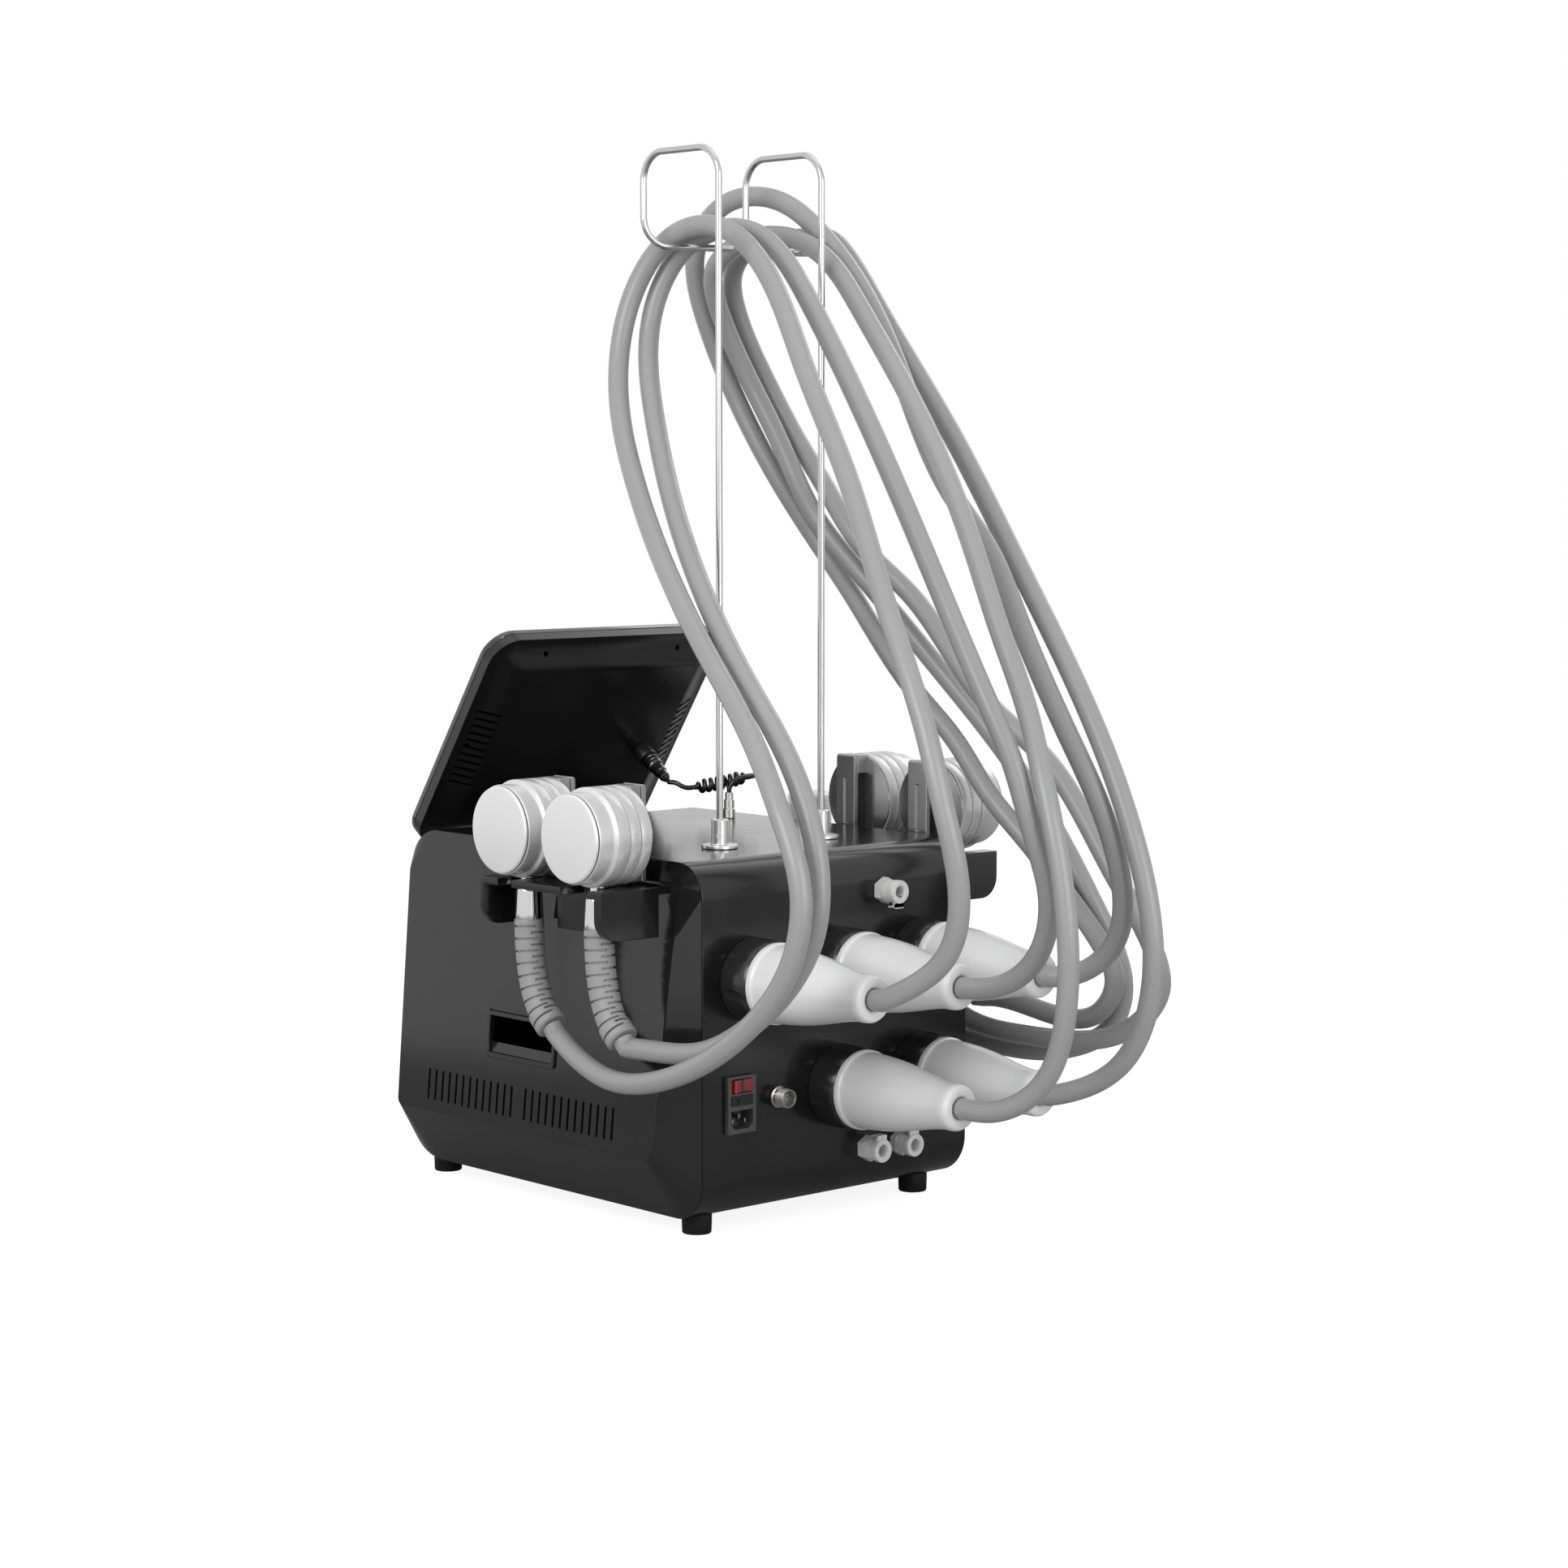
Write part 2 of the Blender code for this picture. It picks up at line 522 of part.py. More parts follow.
def swap_for_mesh(shape, name, finish, parent=None):
    """Replaces a curve or a modifier stack by its mesh, in the same place."""
    mesh = evaluated_mesh(shape, name)
    mesh.transform(shape.matrix_basis)
    bpy.data.objects.remove(shape, do_unlink=True)
    return add(name, mesh, finish, parent)


def box(name, low, high, finish=None, parent=None):
    """A block between two corners."""
    low, high = Vector(low), Vector(high)
    size = high - low
    bm = bmesh.new()
    place = Matrix.Translation((low + high) / 2) @ Matrix.Diagonal((*size, 1))
    bmesh.ops.create_cube(bm, size=1, matrix=place)
    return add(name, mesh_of(bm, name), finish, parent)


def along(start, direction):
    """The matrix that takes +Z to a direction, and the origin to a start."""
    turn = Vector((0, 0, 1)).rotation_difference(Vector(direction))
    return Matrix.Translation(Vector(start)) @ turn.to_matrix().to_4x4()


def rod(name, start, end, radius, sides=ROUND_SIDES, finish=None, parent=None, end_radius=None):
    """A cylinder or cone between two points."""
    start, end = Vector(start), Vector(end)
    bm = bmesh.new()
    place = along((start + end) / 2, end - start)
    far_radius = radius if end_radius is None else end_radius
    bmesh.ops.create_cone(bm, cap_ends=True, segments=sides, radius1=radius, radius2=far_radius,
                          depth=(end - start).length, matrix=place)
    return add(name, mesh_of(bm, name), finish, parent)


def turned(name, profile, start, direction, sides=ROUND_SIDES, finish=None, parent=None, closed=False):
    """A profile of (radius, distance from the start), far end first, turned about a direction."""
    outline = bpy.data.meshes.new(name + "_profile")
    edges = [(index, index + 1) for index in range(len(profile) - 1)]
    if closed:
        edges.append((len(profile) - 1, 0))
    outline.from_pydata([(radius, 0, height) for radius, height in profile], edges, [])
    shape = bpy.data.objects.new(name + "_profile", outline)
    cutters.objects.link(shape)
    screw = shape.modifiers.new("turn", "SCREW")
    screw.steps = screw.render_steps = sides
    screw.use_merge_vertices = True
    screw.merge_threshold = WELD
    mesh = evaluated_mesh(shape, name)
    bpy.data.objects.remove(shape, do_unlink=True)
    mesh.transform(along(start, direction))
    return add(name, mesh, finish, parent)


def corner_arc(corners, index):
    """Centre, start angle and sweep of the arc at one (a, b, radius) corner of an outline."""
    a, b, radius = corners[index]
    here = Vector((a, b))
    back = (Vector(corners[index - 1][:2]) - here).normalized()
    ahead = (Vector(corners[(index + 1) % len(corners)][:2]) - here).normalized()
    half = back.angle(ahead) / 2
    centre = here + (back + ahead).normalized() * (radius / math.sin(half))
    first = here + back * (radius / math.tan(half)) - centre
    last = here + ahead * (radius / math.tan(half)) - centre
    start = math.atan2(first.y, first.x)
    sweep = (math.atan2(last.y, last.x) - start + math.pi) % math.tau - math.pi
    return centre, start, sweep


def rounded(corners, steps=CORNER_STEPS):
    """The outline through (a, b, radius) corners, each with its arc."""
    points = []
    for index, (a, b, radius) in enumerate(corners):
        if radius == 0:
            points.append(Vector((a, b)))
            continue
        centre, start, sweep = corner_arc(corners, index)
        for step in range(steps + 1):
            angle = start + sweep * step / steps
            points.append(centre + Vector((math.cos(angle), math.sin(angle))) * radius)
    return points


def inset(corners, distance):
    """The same corners with every edge moved in by a distance, for corners that run anticlockwise."""
    moved = []
    for index, (a, b, radius) in enumerate(corners):
        here = Vector((a, b))
        before = (here - Vector(corners[index - 1][:2])).normalized()
        after = (Vector(corners[(index + 1) % len(corners)][:2]) - here).normalized()
        in_before, in_after = Vector((-before.y, before.x)), Vector((-after.y, after.x))
        shift = (in_before + in_after) * (distance / (1 + in_before.dot(in_after)))
        moved.append((*(here + shift), max(radius - distance, 0)))
    return moved


# A flat outline is drawn in the plane across its axis: (y, z) for X, (z, x) for Y, (x, y) for Z
AXES = {
    "X": Matrix(((0, 0, 1, 0), (1, 0, 0, 0), (0, 1, 0, 0), (0, 0, 0, 1))),
    "Y": Matrix(((0, 1, 0, 0), (0, 0, 1, 0), (1, 0, 0, 0), (0, 0, 0, 1))),
    "Z": Matrix.Identity(4),
}


def prism(name, outlines, axis, low, high, finish=None, parent=None):
    """Flat outlines, the second and later ones holes, with a thickness from low to high."""
    curve = bpy.data.curves.new(name, "CURVE")
    curve.dimensions = "2D"
    curve.fill_mode = "BOTH"
    curve.extrude = (high - low) / 2
    for outline in outlines:
        spline = curve.splines.new("POLY")
        spline.points.add(len(outline) - 1)
        for point, (a, b) in zip(spline.points, outline):
            point.co = (a, b, 0, 1)
        spline.use_cyclic_u = True
    shape = bpy.data.objects.new(name, curve)
    cutters.objects.link(shape)
    shape.matrix_basis = AXES[axis] @ Matrix.Translation((0, 0, (low + high) / 2))
    return swap_for_mesh(shape, name, finish, parent)


def loft(name, loops, finish=None, parent=None, wall=None):
    """A skin through loops of equally many points, closed at the last loop.

    With a wall it is a shell open at the first loop, and without one it is solid.
    """
    bm = bmesh.new()
    rows = [[bm.verts.new(point) for point in loop] for loop in loops]
    for lower, upper in zip(rows, rows[1:]):
        for index in range(len(lower)):
            after = (index + 1) % len(lower)
            bm.faces.new((lower[index], lower[after], upper[after], upper[index]))
    bm.faces.new(rows[-1])
    if wall is None:
        bm.faces.new(list(reversed(rows[0])))
    bmesh.ops.recalc_face_normals(bm, faces=bm.faces)
    mesh = bpy.data.meshes.new(name)
    bm.to_mesh(mesh)
    bm.free()
    shape = add(name, mesh, finish, parent)
    if wall is not None:
        skin = shape.modifiers.new("wall", "SOLIDIFY")
        skin.thickness = wall
        skin.offset = -1
        skin.use_even_offset = True
    return shape


def tube(name, points, diameter, detail, finish=None, parent=None):
    """A round tube through points, with flat ends square to its first and last stretch."""
    curve = bpy.data.curves.new(name, "CURVE")
    curve.dimensions = "3D"
    curve.bevel_depth = diameter / 2
    curve.bevel_resolution = detail
    curve.use_fill_caps = True
    spline = curve.splines.new("POLY")
    spline.points.add(len(points) - 1)
    for point, place in zip(spline.points, points):
        point.co = (*place, 1)
    shape = bpy.data.objects.new(name, curve)
    cutters.objects.link(shape)
    return swap_for_mesh(shape, name, finish, parent)


def change(shape, other, operation):
    """Cuts the other shape out of this one, or joins it on."""
    modifier = shape.modifiers.new(other.name, "BOOLEAN")
    modifier.operation = operation
    modifier.object = other
    modifier.solver = "EXACT"
    return shape


def cut(shape, *others):
    for other in others:
        change(shape, other, "DIFFERENCE")
    return shape


def join(shape, *others):
    for other in others:
        change(shape, other, "UNION")
    return shape


def bevel(shape, width):
    """Rounds the sharp edges of a shape."""
    modifier = shape.modifiers.new("edges", "BEVEL")
    modifier.width = width
    modifier.segments = BEVEL_SEGMENTS
    modifier.limit_method = "ANGLE"
    modifier.angle_limit = BEVEL_ANGLE
    return shape


def finished(shape, finish):
    """A worked-out mesh of a shape that several objects share, without the shapes that it was made with."""
    others = [modifier.object for modifier in shape.modifiers]
    shape = swap_for_mesh(shape, shape.name, finish)
    for other in others:
        bpy.data.objects.remove(other, do_unlink=True)
    return shape


def copy_at(source, name, place, turn=0, parent=None):
    """Another object on the same mesh."""
    shape = bpy.data.objects.new(name, source.data)
    pieces.objects.link(shape)
    shape.parent = parent or machine
    shape.location = place
    shape.rotation_euler = (0, 0, turn)
    return shape


def smooth_path(points, spacing):
    """Points evenly along a natural cubic spline through the given points, ends included."""
    places = np.array(points, float)
    chords = np.linalg.norm(np.diff(places, axis=0), axis=1)
    along_path = np.concatenate([[0], np.cumsum(chords)])
    count = len(places)
    system = np.eye(count)
    right = np.zeros_like(places)
    for index in range(1, count - 1):
        system[index, index - 1 : index + 2] = (
            chords[index - 1], 2 * (chords[index - 1] + chords[index]), chords[index])
        slopes = np.diff(places[index - 1 : index + 2], axis=0) / chords[index - 1 : index + 1, None]
        right[index] = 6 * (slopes[1] - slopes[0])
    bends = np.linalg.solve(system, right)

    def at(distance):
        piece = min(int(np.searchsorted(along_path, distance, side="right")) - 1, count - 2)
        whole = chords[piece]
        after, before = distance - along_path[piece], along_path[piece + 1] - distance
        return ((bends[piece] * before**3 + bends[piece + 1] * after**3) / (6 * whole)
                + (places[piece] / whole - bends[piece] * whole / 6) * before
                + (places[piece + 1] / whole - bends[piece + 1] * whole / 6) * after)

    fine = np.array([at(distance) for distance in np.linspace(0, along_path[-1], SAMPLES_PER_POINT * count)])
    run = np.concatenate([[0], np.cumsum(np.linalg.norm(np.diff(fine, axis=0), axis=1))])
    steps = max(round(run[-1] / spacing), 1)
    marks = np.linspace(0, run[-1], steps + 1)
    return np.column_stack([np.interp(marks, run, fine[:, axis]) for axis in range(3)])


def thinned(points, spacing, turn):
    """The points of a fine path that are a spacing apart, or nearer where it bends by the turn."""
    kept = [points[0]]
    heading = points[1] - points[0]
    for before, here, after in zip(points, points[1:], points[2:]):
        if (here - kept[-1]).length >= spacing or (after - here).angle(heading) >= turn:
            kept.append(here)
            heading = after - here
    return kept + [points[-1]]


def path_length(points):
    return float(np.linalg.norm(np.diff(np.array(points), axis=0), axis=1).sum())


# Body: the wrap, with its inside, and the surfaces that other pieces follow
BODY_CORNERS = (
    (BODY_FRONT_TOP, BODY_TOP, FRONT_TOP_RADIUS),
    (BODY_FRONT_BASE, BODY_BASE, FRONT_BASE_RADIUS),
    (BODY_REAR, BODY_BASE, REAR_BASE_RADIUS),
    (BODY_REAR, BODY_TOP, REAR_TOP_RADIUS),
)
housing = prism("main_housing", [rounded(BODY_CORNERS), rounded(inset(BODY_CORNERS, BODY_WALL))],
                "X", -BODY_HALF_WIDTH, BODY_HALF_WIDTH, "black_plastic")


def panel_half_width(height):
    """Half width of the machine at the side panels' plane, at a height."""
    share = (height - PANEL_BASE) / (PANEL_TOP - PANEL_BASE)
    return PANEL_BASE_HALF_WIDTH + share * (PANEL_TOP_HALF_WIDTH - PANEL_BASE_HALF_WIDTH)


def rear_hole(name, x, z, radius, sides=ROUND_SIDES):
    """Cuts a round hole through the rear wall."""
    cut(housing, rod(name, (x, BODY_REAR - OVERRUN, z), (x, BODY_REAR + OVERRUN, z), radius, sides))


# Side covers: a shell from the wrap's edge out to the leaning panel, with vents and the carrying grip
PANEL_CORNERS = (
    (PANEL_FRONT_TOP, PANEL_TOP, PANEL_FRONT_TOP_RADIUS),
    (PANEL_FRONT_BASE, PANEL_BASE, PANEL_BASE_RADIUS),
    (PANEL_REAR_BASE, PANEL_BASE, PANEL_BASE_RADIUS),
    (PANEL_REAR_TOP, PANEL_TOP, PANEL_REAR_TOP_RADIUS),
)


def side_cover(name, side):
    """One side cover; side is 1 for +X and -1 for -X."""
    edge = BODY_HALF_WIDTH + GAP
    rim = [(side * edge, y, z) for y, z in rounded(BODY_CORNERS)]
    panel = [(side * panel_half_width(z), y, z) for y, z in rounded(PANEL_CORNERS)]
    cover = loft(name, [rim, panel], "dark_panel")
    mouth = rounded(inset(BODY_CORNERS, COVER_WALL))
    floor = rounded(inset(PANEL_CORNERS, COVER_WALL))
    hollow = [[(side * (edge - OVERRUN), y, z) for y, z in mouth], [(side * edge, y, z) for y, z in mouth],
              [(side * (panel_half_width(z) - COVER_WALL), y, z) for y, z in floor]]
    cut(cover, loft(name + "_hollow", hollow))
    reach = sorted((side * edge, side * (PANEL_BASE_HALF_WIDTH + OVERRUN)))
    slots = bmesh.new()
    for row_start in VENT_ROW_STARTS:
        for slot in range(VENT_COUNT):
            centre = Vector((sum(reach) / 2, row_start + slot * VENT_PITCH, (VENT_BASE + VENT_TOP) / 2))
            size = (reach[1] - reach[0], VENT_WIDTH, VENT_TOP - VENT_BASE, 1)
            bmesh.ops.create_cube(slots, size=1, matrix=Matrix.Translation(centre) @ Matrix.Diagonal(size))
    cut(cover, add(name + "_vents", mesh_of(slots, name + "_vents"), None))
    outer = panel_half_width(GRIP_BASE)
    inner = outer - 2 * COVER_WALL
    past = outer + OVERRUN
    ledge_slope = GRIP_LEDGE / COVER_WALL
    opening = [(GRIP_TOP, side * inner), (GRIP_BASE, side * inner), (GRIP_BASE, side * (outer - COVER_WALL)),
               (GRIP_BASE - GRIP_LEDGE - ledge_slope * GAP, side * (outer + GAP)),
               (GRIP_BASE - GRIP_LEDGE - ledge_slope * GAP, side * past), (GRIP_TOP, side * past)]
    cut(cover, prism(name + "_grip", [opening], "Y", GRIP_FRONT, GRIP_REAR))
    return cover


side_cover("right_side_cover", 1)
side_cover("left_side_cover", -1)

# Feet, their tops following the rounded underside
below = rounded(inset(BODY_CORNERS, -GAP))
for row, y in (("front", FOOT_FRONT_Y), ("rear", FOOT_REAR_Y)):
    for side, x in (("right", FOOT_X), ("left", -FOOT_X)):
        foot = rod(f"foot_{row}_{side}", (x, y, 0), (x, y, BODY_BASE), FOOT_BASE_RADIUS, ROUND_SIDES,
                   "rubber", end_radius=FOOT_TOP_RADIUS)
        join(foot, rod("foot_root", (x, y, BODY_BASE - GAP), (x, y, FOOT_ROOT), FOOT_TOP_RADIUS))
        cut(foot, prism("foot_underside", [below], "X", x - OVERRUN, x + OVERRUN))

# Screen hinge: its axis stands off the arc at the front of the top
ARC_CENTRE = Vector((0, *corner_arc(BODY_CORNERS, 0)[0]))
HINGE_OUT = Vector((0, math.cos(HINGE_ANGLE), math.sin(HINGE_ANGLE)))
HINGE_SIDE = Vector((0, -math.sin(HINGE_ANGLE), math.cos(HINGE_ANGLE)))
HINGE_AXIS = ARC_CENTRE + HINGE_OUT * HINGE_REACH
EAR_INNER = LUG_HALF_WIDTH + EAR_GAP
EAR_OUTER = EAR_INNER + EAR_THICKNESS
PIN_BORE = PIN_RADIUS + BORE_CLEARANCE


def bracket_arc(radius):
    """Points of an arc about the body's rounding, seen along X."""
    points = []
    for step in range(BEND_STEPS + 1):
        angle = HINGE_ANGLE + BRACKET_HALF_ANGLE * (2 * step / BEND_STEPS - 1)
        points.append((ARC_CENTRE.y + radius * math.cos(angle), ARC_CENTRE.z + radius * math.sin(angle)))
    return points


bracket_inner = FRONT_TOP_RADIUS + GAP
bracket_band = bracket_arc(bracket_inner) + bracket_arc(bracket_inner + BRACKET_THICKNESS)[::-1]
bracket = prism("screen_hinge_bracket", [bracket_band], "X", -EAR_OUTER, EAR_OUTER, "black_plastic")
ear_corners = []
for out, sideways, radius in ((bracket_inner + GAP, EAR_FOOT_HALF_WIDTH, 0),
                              (bracket_inner + GAP, -EAR_FOOT_HALF_WIDTH, 0),
                              (HINGE_REACH + KNUCKLE_RADIUS, -KNUCKLE_RADIUS, KNUCKLE_RADIUS - GAP),
                              (HINGE_REACH + KNUCKLE_RADIUS, KNUCKLE_RADIUS, KNUCKLE_RADIUS - GAP)):
    corner = ARC_CENTRE + HINGE_OUT * out + HINGE_SIDE * sideways
    ear_corners.append((corner.y, corner.z, radius))
for side, low in (("right", EAR_INNER), ("left", -EAR_OUTER)):
    join(bracket, prism(f"bracket_ear_{side}", [rounded(ear_corners)], "X", low, low + EAR_THICKNESS))
pin_reach = EAR_OUTER + OVERRUN
bore_reach = Vector((pin_reach, 0, 0))
cut(bracket, rod("bracket_bore", HINGE_AXIS - bore_reach, HINGE_AXIS + bore_reach, PIN_BORE, SMALL_SIDES))
pin_end = EAR_OUTER + GAP + PIN_HEAD_LENGTH
pin_far_head = 2 * pin_end - PIN_HEAD_LENGTH
pin_profile = [(0, 2 * pin_end), (PIN_HEAD_RADIUS, 2 * pin_end), (PIN_HEAD_RADIUS, pin_far_head),
               (PIN_RADIUS, pin_far_head), (PIN_RADIUS, PIN_HEAD_LENGTH),
               (PIN_HEAD_RADIUS, PIN_HEAD_LENGTH), (PIN_HEAD_RADIUS, 0), (0, 0)]
turned("screen_hinge_pin", pin_profile, HINGE_AXIS - Vector((pin_end, 0, 0)), (1, 0, 0), SMALL_SIDES, "steel")

# Screen: glass panel and back cover, in a frame on the hinge axis that leans back
screen = empty("screen_tilt", machine)
screen.location = HINGE_AXIS
screen.rotation_euler = (-SCREEN_TILT, 0, 0)
GLASS_Y = -(SCREEN_DEPTH + KNUCKLE_RADIUS + KNUCKLE_OFFSET)
SCREEN_BASE = -HINGE_UP_FROM_EDGE
SCREEN_TOP = SCREEN_BASE + SCREEN_HEIGHT
SCREEN_CORNERS = (
    (SCREEN_BASE, -SCREEN_WIDTH / 2, SCREEN_CORNER_RADIUS),
    (SCREEN_TOP, -SCREEN_WIDTH / 2, SCREEN_CORNER_RADIUS),
    (SCREEN_TOP, SCREEN_WIDTH / 2, SCREEN_CORNER_RADIUS),
    (SCREEN_BASE, SCREEN_WIDTH / 2, SCREEN_CORNER_RADIUS),
)
glass_back = GLASS_Y + FRONT_PANEL_THICKNESS
glass = prism("screen_front_panel", [rounded(SCREEN_CORNERS)], "Y", GLASS_Y, glass_back, "screen_glass",
              screen)
bevel(glass, SCREEN_EDGE_BEVEL)

cover_loops = [[(x, glass_back + GAP, z) for z, x in rounded(SCREEN_CORNERS)]]
step_depth = SCREEN_DEPTH - SCREEN_RIM_DEPTH
for inset_share, depth_share in STEP_SHARES:
    corners = inset(SCREEN_CORNERS, PLATEAU_INSET * inset_share)
    corners = [(a, b, max(radius, SCREEN_CORNER_RADIUS * PLATEAU_CORNER_SHARE)) for a, b, radius in corners]
    depth = GLASS_Y + SCREEN_RIM_DEPTH + step_depth * depth_share
    cover_loops.append([(x, depth, z) for z, x in rounded(corners)])
back_cover = loft("screen_back_cover", cover_loops, "black_plastic", screen, wall=BACK_COVER_WALL)
lug_foot = -(KNUCKLE_RADIUS + KNUCKLE_OFFSET) - BACK_COVER_WALL / 2
lug_corners = [(lug_foot, -KNUCKLE_RADIUS, 0), (KNUCKLE_RADIUS, -KNUCKLE_RADIUS, KNUCKLE_RADIUS - GAP),
               (KNUCKLE_RADIUS, KNUCKLE_RADIUS, KNUCKLE_RADIUS - GAP), (lug_foot, KNUCKLE_RADIUS, 0)]
join(back_cover, prism("screen_lug", [rounded(lug_corners)], "X", -LUG_HALF_WIDTH, LUG_HALF_WIDTH,
                       parent=screen))
cut(back_cover, rod("screen_lug_bore", (-pin_reach, 0, 0), (pin_reach, 0, 0), PIN_BORE, SMALL_SIDES,
                    parent=screen))
vents = bmesh.new()
vent_middle = (SCREEN_BASE + SCREEN_TOP) / 2
vent_x = SCREEN_WIDTH / 2 - PLATEAU_INSET * SCREEN_VENT_INSET_SHARE
vent_y = GLASS_Y + SCREEN_DEPTH - step_depth * SCREEN_VENT_DEPTH_SHARE
for side in (1, -1):
    for slot in range(SCREEN_VENT_COUNT):
        rise = (slot - (SCREEN_VENT_COUNT - 1) / 2) * SCREEN_VENT_PITCH
        size = (SCREEN_VENT_WIDTH, SCREEN_VENT_CUT, SCREEN_VENT_HEIGHT, 1)
        place = Matrix.Translation((side * vent_x, vent_y, vent_middle + rise)) @ Matrix.Diagonal(size)
        bmesh.ops.create_cube(vents, size=1, matrix=place)
cut(back_cover, add("screen_vents", mesh_of(vents, "screen_vents"), None, screen))

# Applicators: the head, grip and stem in a frame at the head's centre, with the face at +X
HEAD_Z = HOLDER_TOP + GAP + HEAD_RADIUS
head_bore = HEAD_RADIUS - HEAD_WALL
head_profile = [(0, FACE_REACH), (FACE_RADIUS - FACE_ROUNDING, FACE_REACH),
                (FACE_RADIUS, FACE_REACH - FACE_ROUNDING), (FACE_RADIUS, COLLAR_REACH),
                (HEAD_RADIUS, SHOULDER_REACH), (HEAD_RADIUS, HEAD_REAR), (head_bore, HEAD_REAR),
                (head_bore, SHOULDER_REACH - HEAD_WALL),
                (FACE_RADIUS - HEAD_WALL, FACE_REACH - HEAD_WALL), (0, FACE_REACH - HEAD_WALL)]
head = turned("applicator_1_head", head_profile, (0, 0, 0), (1, 0, 0), FINE_SIDES)
cut(head, rod("spigot_hole", (0, 0, -HEAD_RADIUS - OVERRUN), (0, 0, -HEAD_RADIUS + SPIGOT_LENGTH + HEAD_WALL),
              SPIGOT_RADIUS + BORE_CLEARANCE))
head = finished(head, "white_plastic")

disc_front = HEAD_REAR + DISC_PLUG_LENGTH
disc_profile = [(0, disc_front), (head_bore - GAP, disc_front), (head_bore - GAP, HEAD_REAR - GAP),
                (DISC_RADIUS, HEAD_REAR - GAP), (DISC_RADIUS, DISC_REAR), (0, DISC_REAR)]
grip = turned("applicator_1_grip", disc_profile, (0, 0, 0), (1, 0, 0), FINE_SIDES)
bow_inner = BOW_OUTER + BOW_THICKNESS
bow_root = (DISC_REAR + HEAD_REAR - GAP) / 2
bow_corners = [(BOW_BASE, bow_root, 0), (BOW_BASE, BOW_OUTER, BOW_ROUNDING),
               (BOW_TOP, BOW_OUTER, BOW_ROUNDING), (BOW_TOP, bow_root, 0),
               (BOW_TOP - TOP_BRIDGE_HEIGHT, bow_root, 0),
               (BOW_TOP - TOP_BRIDGE_HEIGHT, bow_inner, BOW_INNER_ROUNDING),
               (BOW_BASE + BASE_BRIDGE_HEIGHT, bow_inner, BOW_INNER_ROUNDING),
               (BOW_BASE + BASE_BRIDGE_HEIGHT, bow_root, 0)]
join(grip, prism("bow", [rounded(bow_corners, CORNER_STEPS // 2)], "Y", -BOW_WIDTH / 2, BOW_WIDTH / 2))
grip = finished(grip, "black_plastic")

neck_top = -(HEAD_RADIUS + GAP)
neck_base = NECK_BASE - HEAD_Z
sleeve_end = Vector((0, SLEEVE_END_BACK, SLEEVE_END_HEIGHT - HEAD_Z))
neck_profile = [(0, neck_top + SPIGOT_LENGTH), (SPIGOT_RADIUS, neck_top + SPIGOT_LENGTH),
                (SPIGOT_RADIUS, neck_top)]
for radius_share, drop_share in NECK_PROFILE_SHARES:
    neck_profile.append((NECK_TOP_RADIUS + radius_share * (NECK_BASE_RADIUS - NECK_TOP_RADIUS),
                         neck_top + drop_share * (neck_base - neck_top)))
neck_profile.append((0, neck_base))
stem = turned("applicator_1_stem", neck_profile, (0, 0, 0), (0, 0, 1))
sleeve_route = [(0, 0, neck_base + SLEEVE_OVERLAP)]
sleeve_drop = neck_base - sleeve_end.z
for back_share, height_share in SLEEVE_ROUTE_SHARES:
    sleeve_route.append((0, back_share * sleeve_end.y, sleeve_end.z + height_share * sleeve_drop))
sleeve_route.append(sleeve_end)
sleeve_path = [Vector(point) for point in smooth_path(sleeve_route, 2 * SLEEVE_RADIUS)]
SLEEVE_OUT = (sleeve_path[-1] - sleeve_path[-2]).normalized()
sleeve_path[-1] = sleeve_end - SLEEVE_OUT * SLEEVE_OVERLAP
join(stem, tube("sleeve", sleeve_path, 2 * SLEEVE_RADIUS, TUBE_DETAIL),
     rod("sleeve_cuff", sleeve_end - SLEEVE_OUT * CUFF_LENGTH, sleeve_end, CUFF_RADIUS))
stem = finished(stem, "grey_plastic")

APPLICATOR_PLACES = ((1, APPLICATOR_FRONT_Y), (1, APPLICATOR_REAR_Y), (-1, APPLICATOR_FRONT_Y),
                     (-1, APPLICATOR_REAR_Y))
for number, (side, y) in enumerate(APPLICATOR_PLACES, 1):
    place = (side * APPLICATOR_X, y, HEAD_Z)
    turn = 0 if side > 0 else math.pi
    if number == 1:
        for shape in (head, grip, stem):
            shape.location = place
        continue
    copy_at(head, f"applicator_{number}_head", place, turn)
    copy_at(grip, f"applicator_{number}_grip", place, turn)
    copy_at(stem, f"applicator_{number}_stem", place)

small_base = HOLDER_TOP + GAP
small_spigot_top = HEAD_Z + neck_top + SPIGOT_LENGTH
groove_top = SMALL_HEIGHT - SMALL_GROOVE_DROP
groove_base = groove_top - SMALL_GROOVE_HEIGHT
groove_radius = SMALL_RADIUS - SMALL_GROOVE_DEPTH
small_profile = [(0, SMALL_HEIGHT), (SMALL_EDGE_RADIUS, SMALL_HEIGHT),
                 (SMALL_RADIUS, SMALL_HEIGHT - SMALL_EDGE_INSET), (SMALL_RADIUS, groove_top),
                 (groove_radius, groove_top), (groove_radius, groove_base), (SMALL_RADIUS, groove_base),
                 (SMALL_RADIUS, SMALL_EDGE_INSET), (SMALL_EDGE_RADIUS, 0), (0, 0)]
small_head = turned("small_applicator_head", small_profile, (-APPLICATOR_X, SMALL_Y, small_base), (0, 0, 1),
                    ROUND_SIDES, "white_plastic")
cut(small_head, rod("small_spigot_hole", (-APPLICATOR_X, SMALL_Y, small_base - OVERRUN),
                    (-APPLICATOR_X, SMALL_Y, small_spigot_top + GAP), SPIGOT_RADIUS + BORE_CLEARANCE))
copy_at(stem, "small_applicator_stem", (-APPLICATOR_X, SMALL_Y, HEAD_Z))


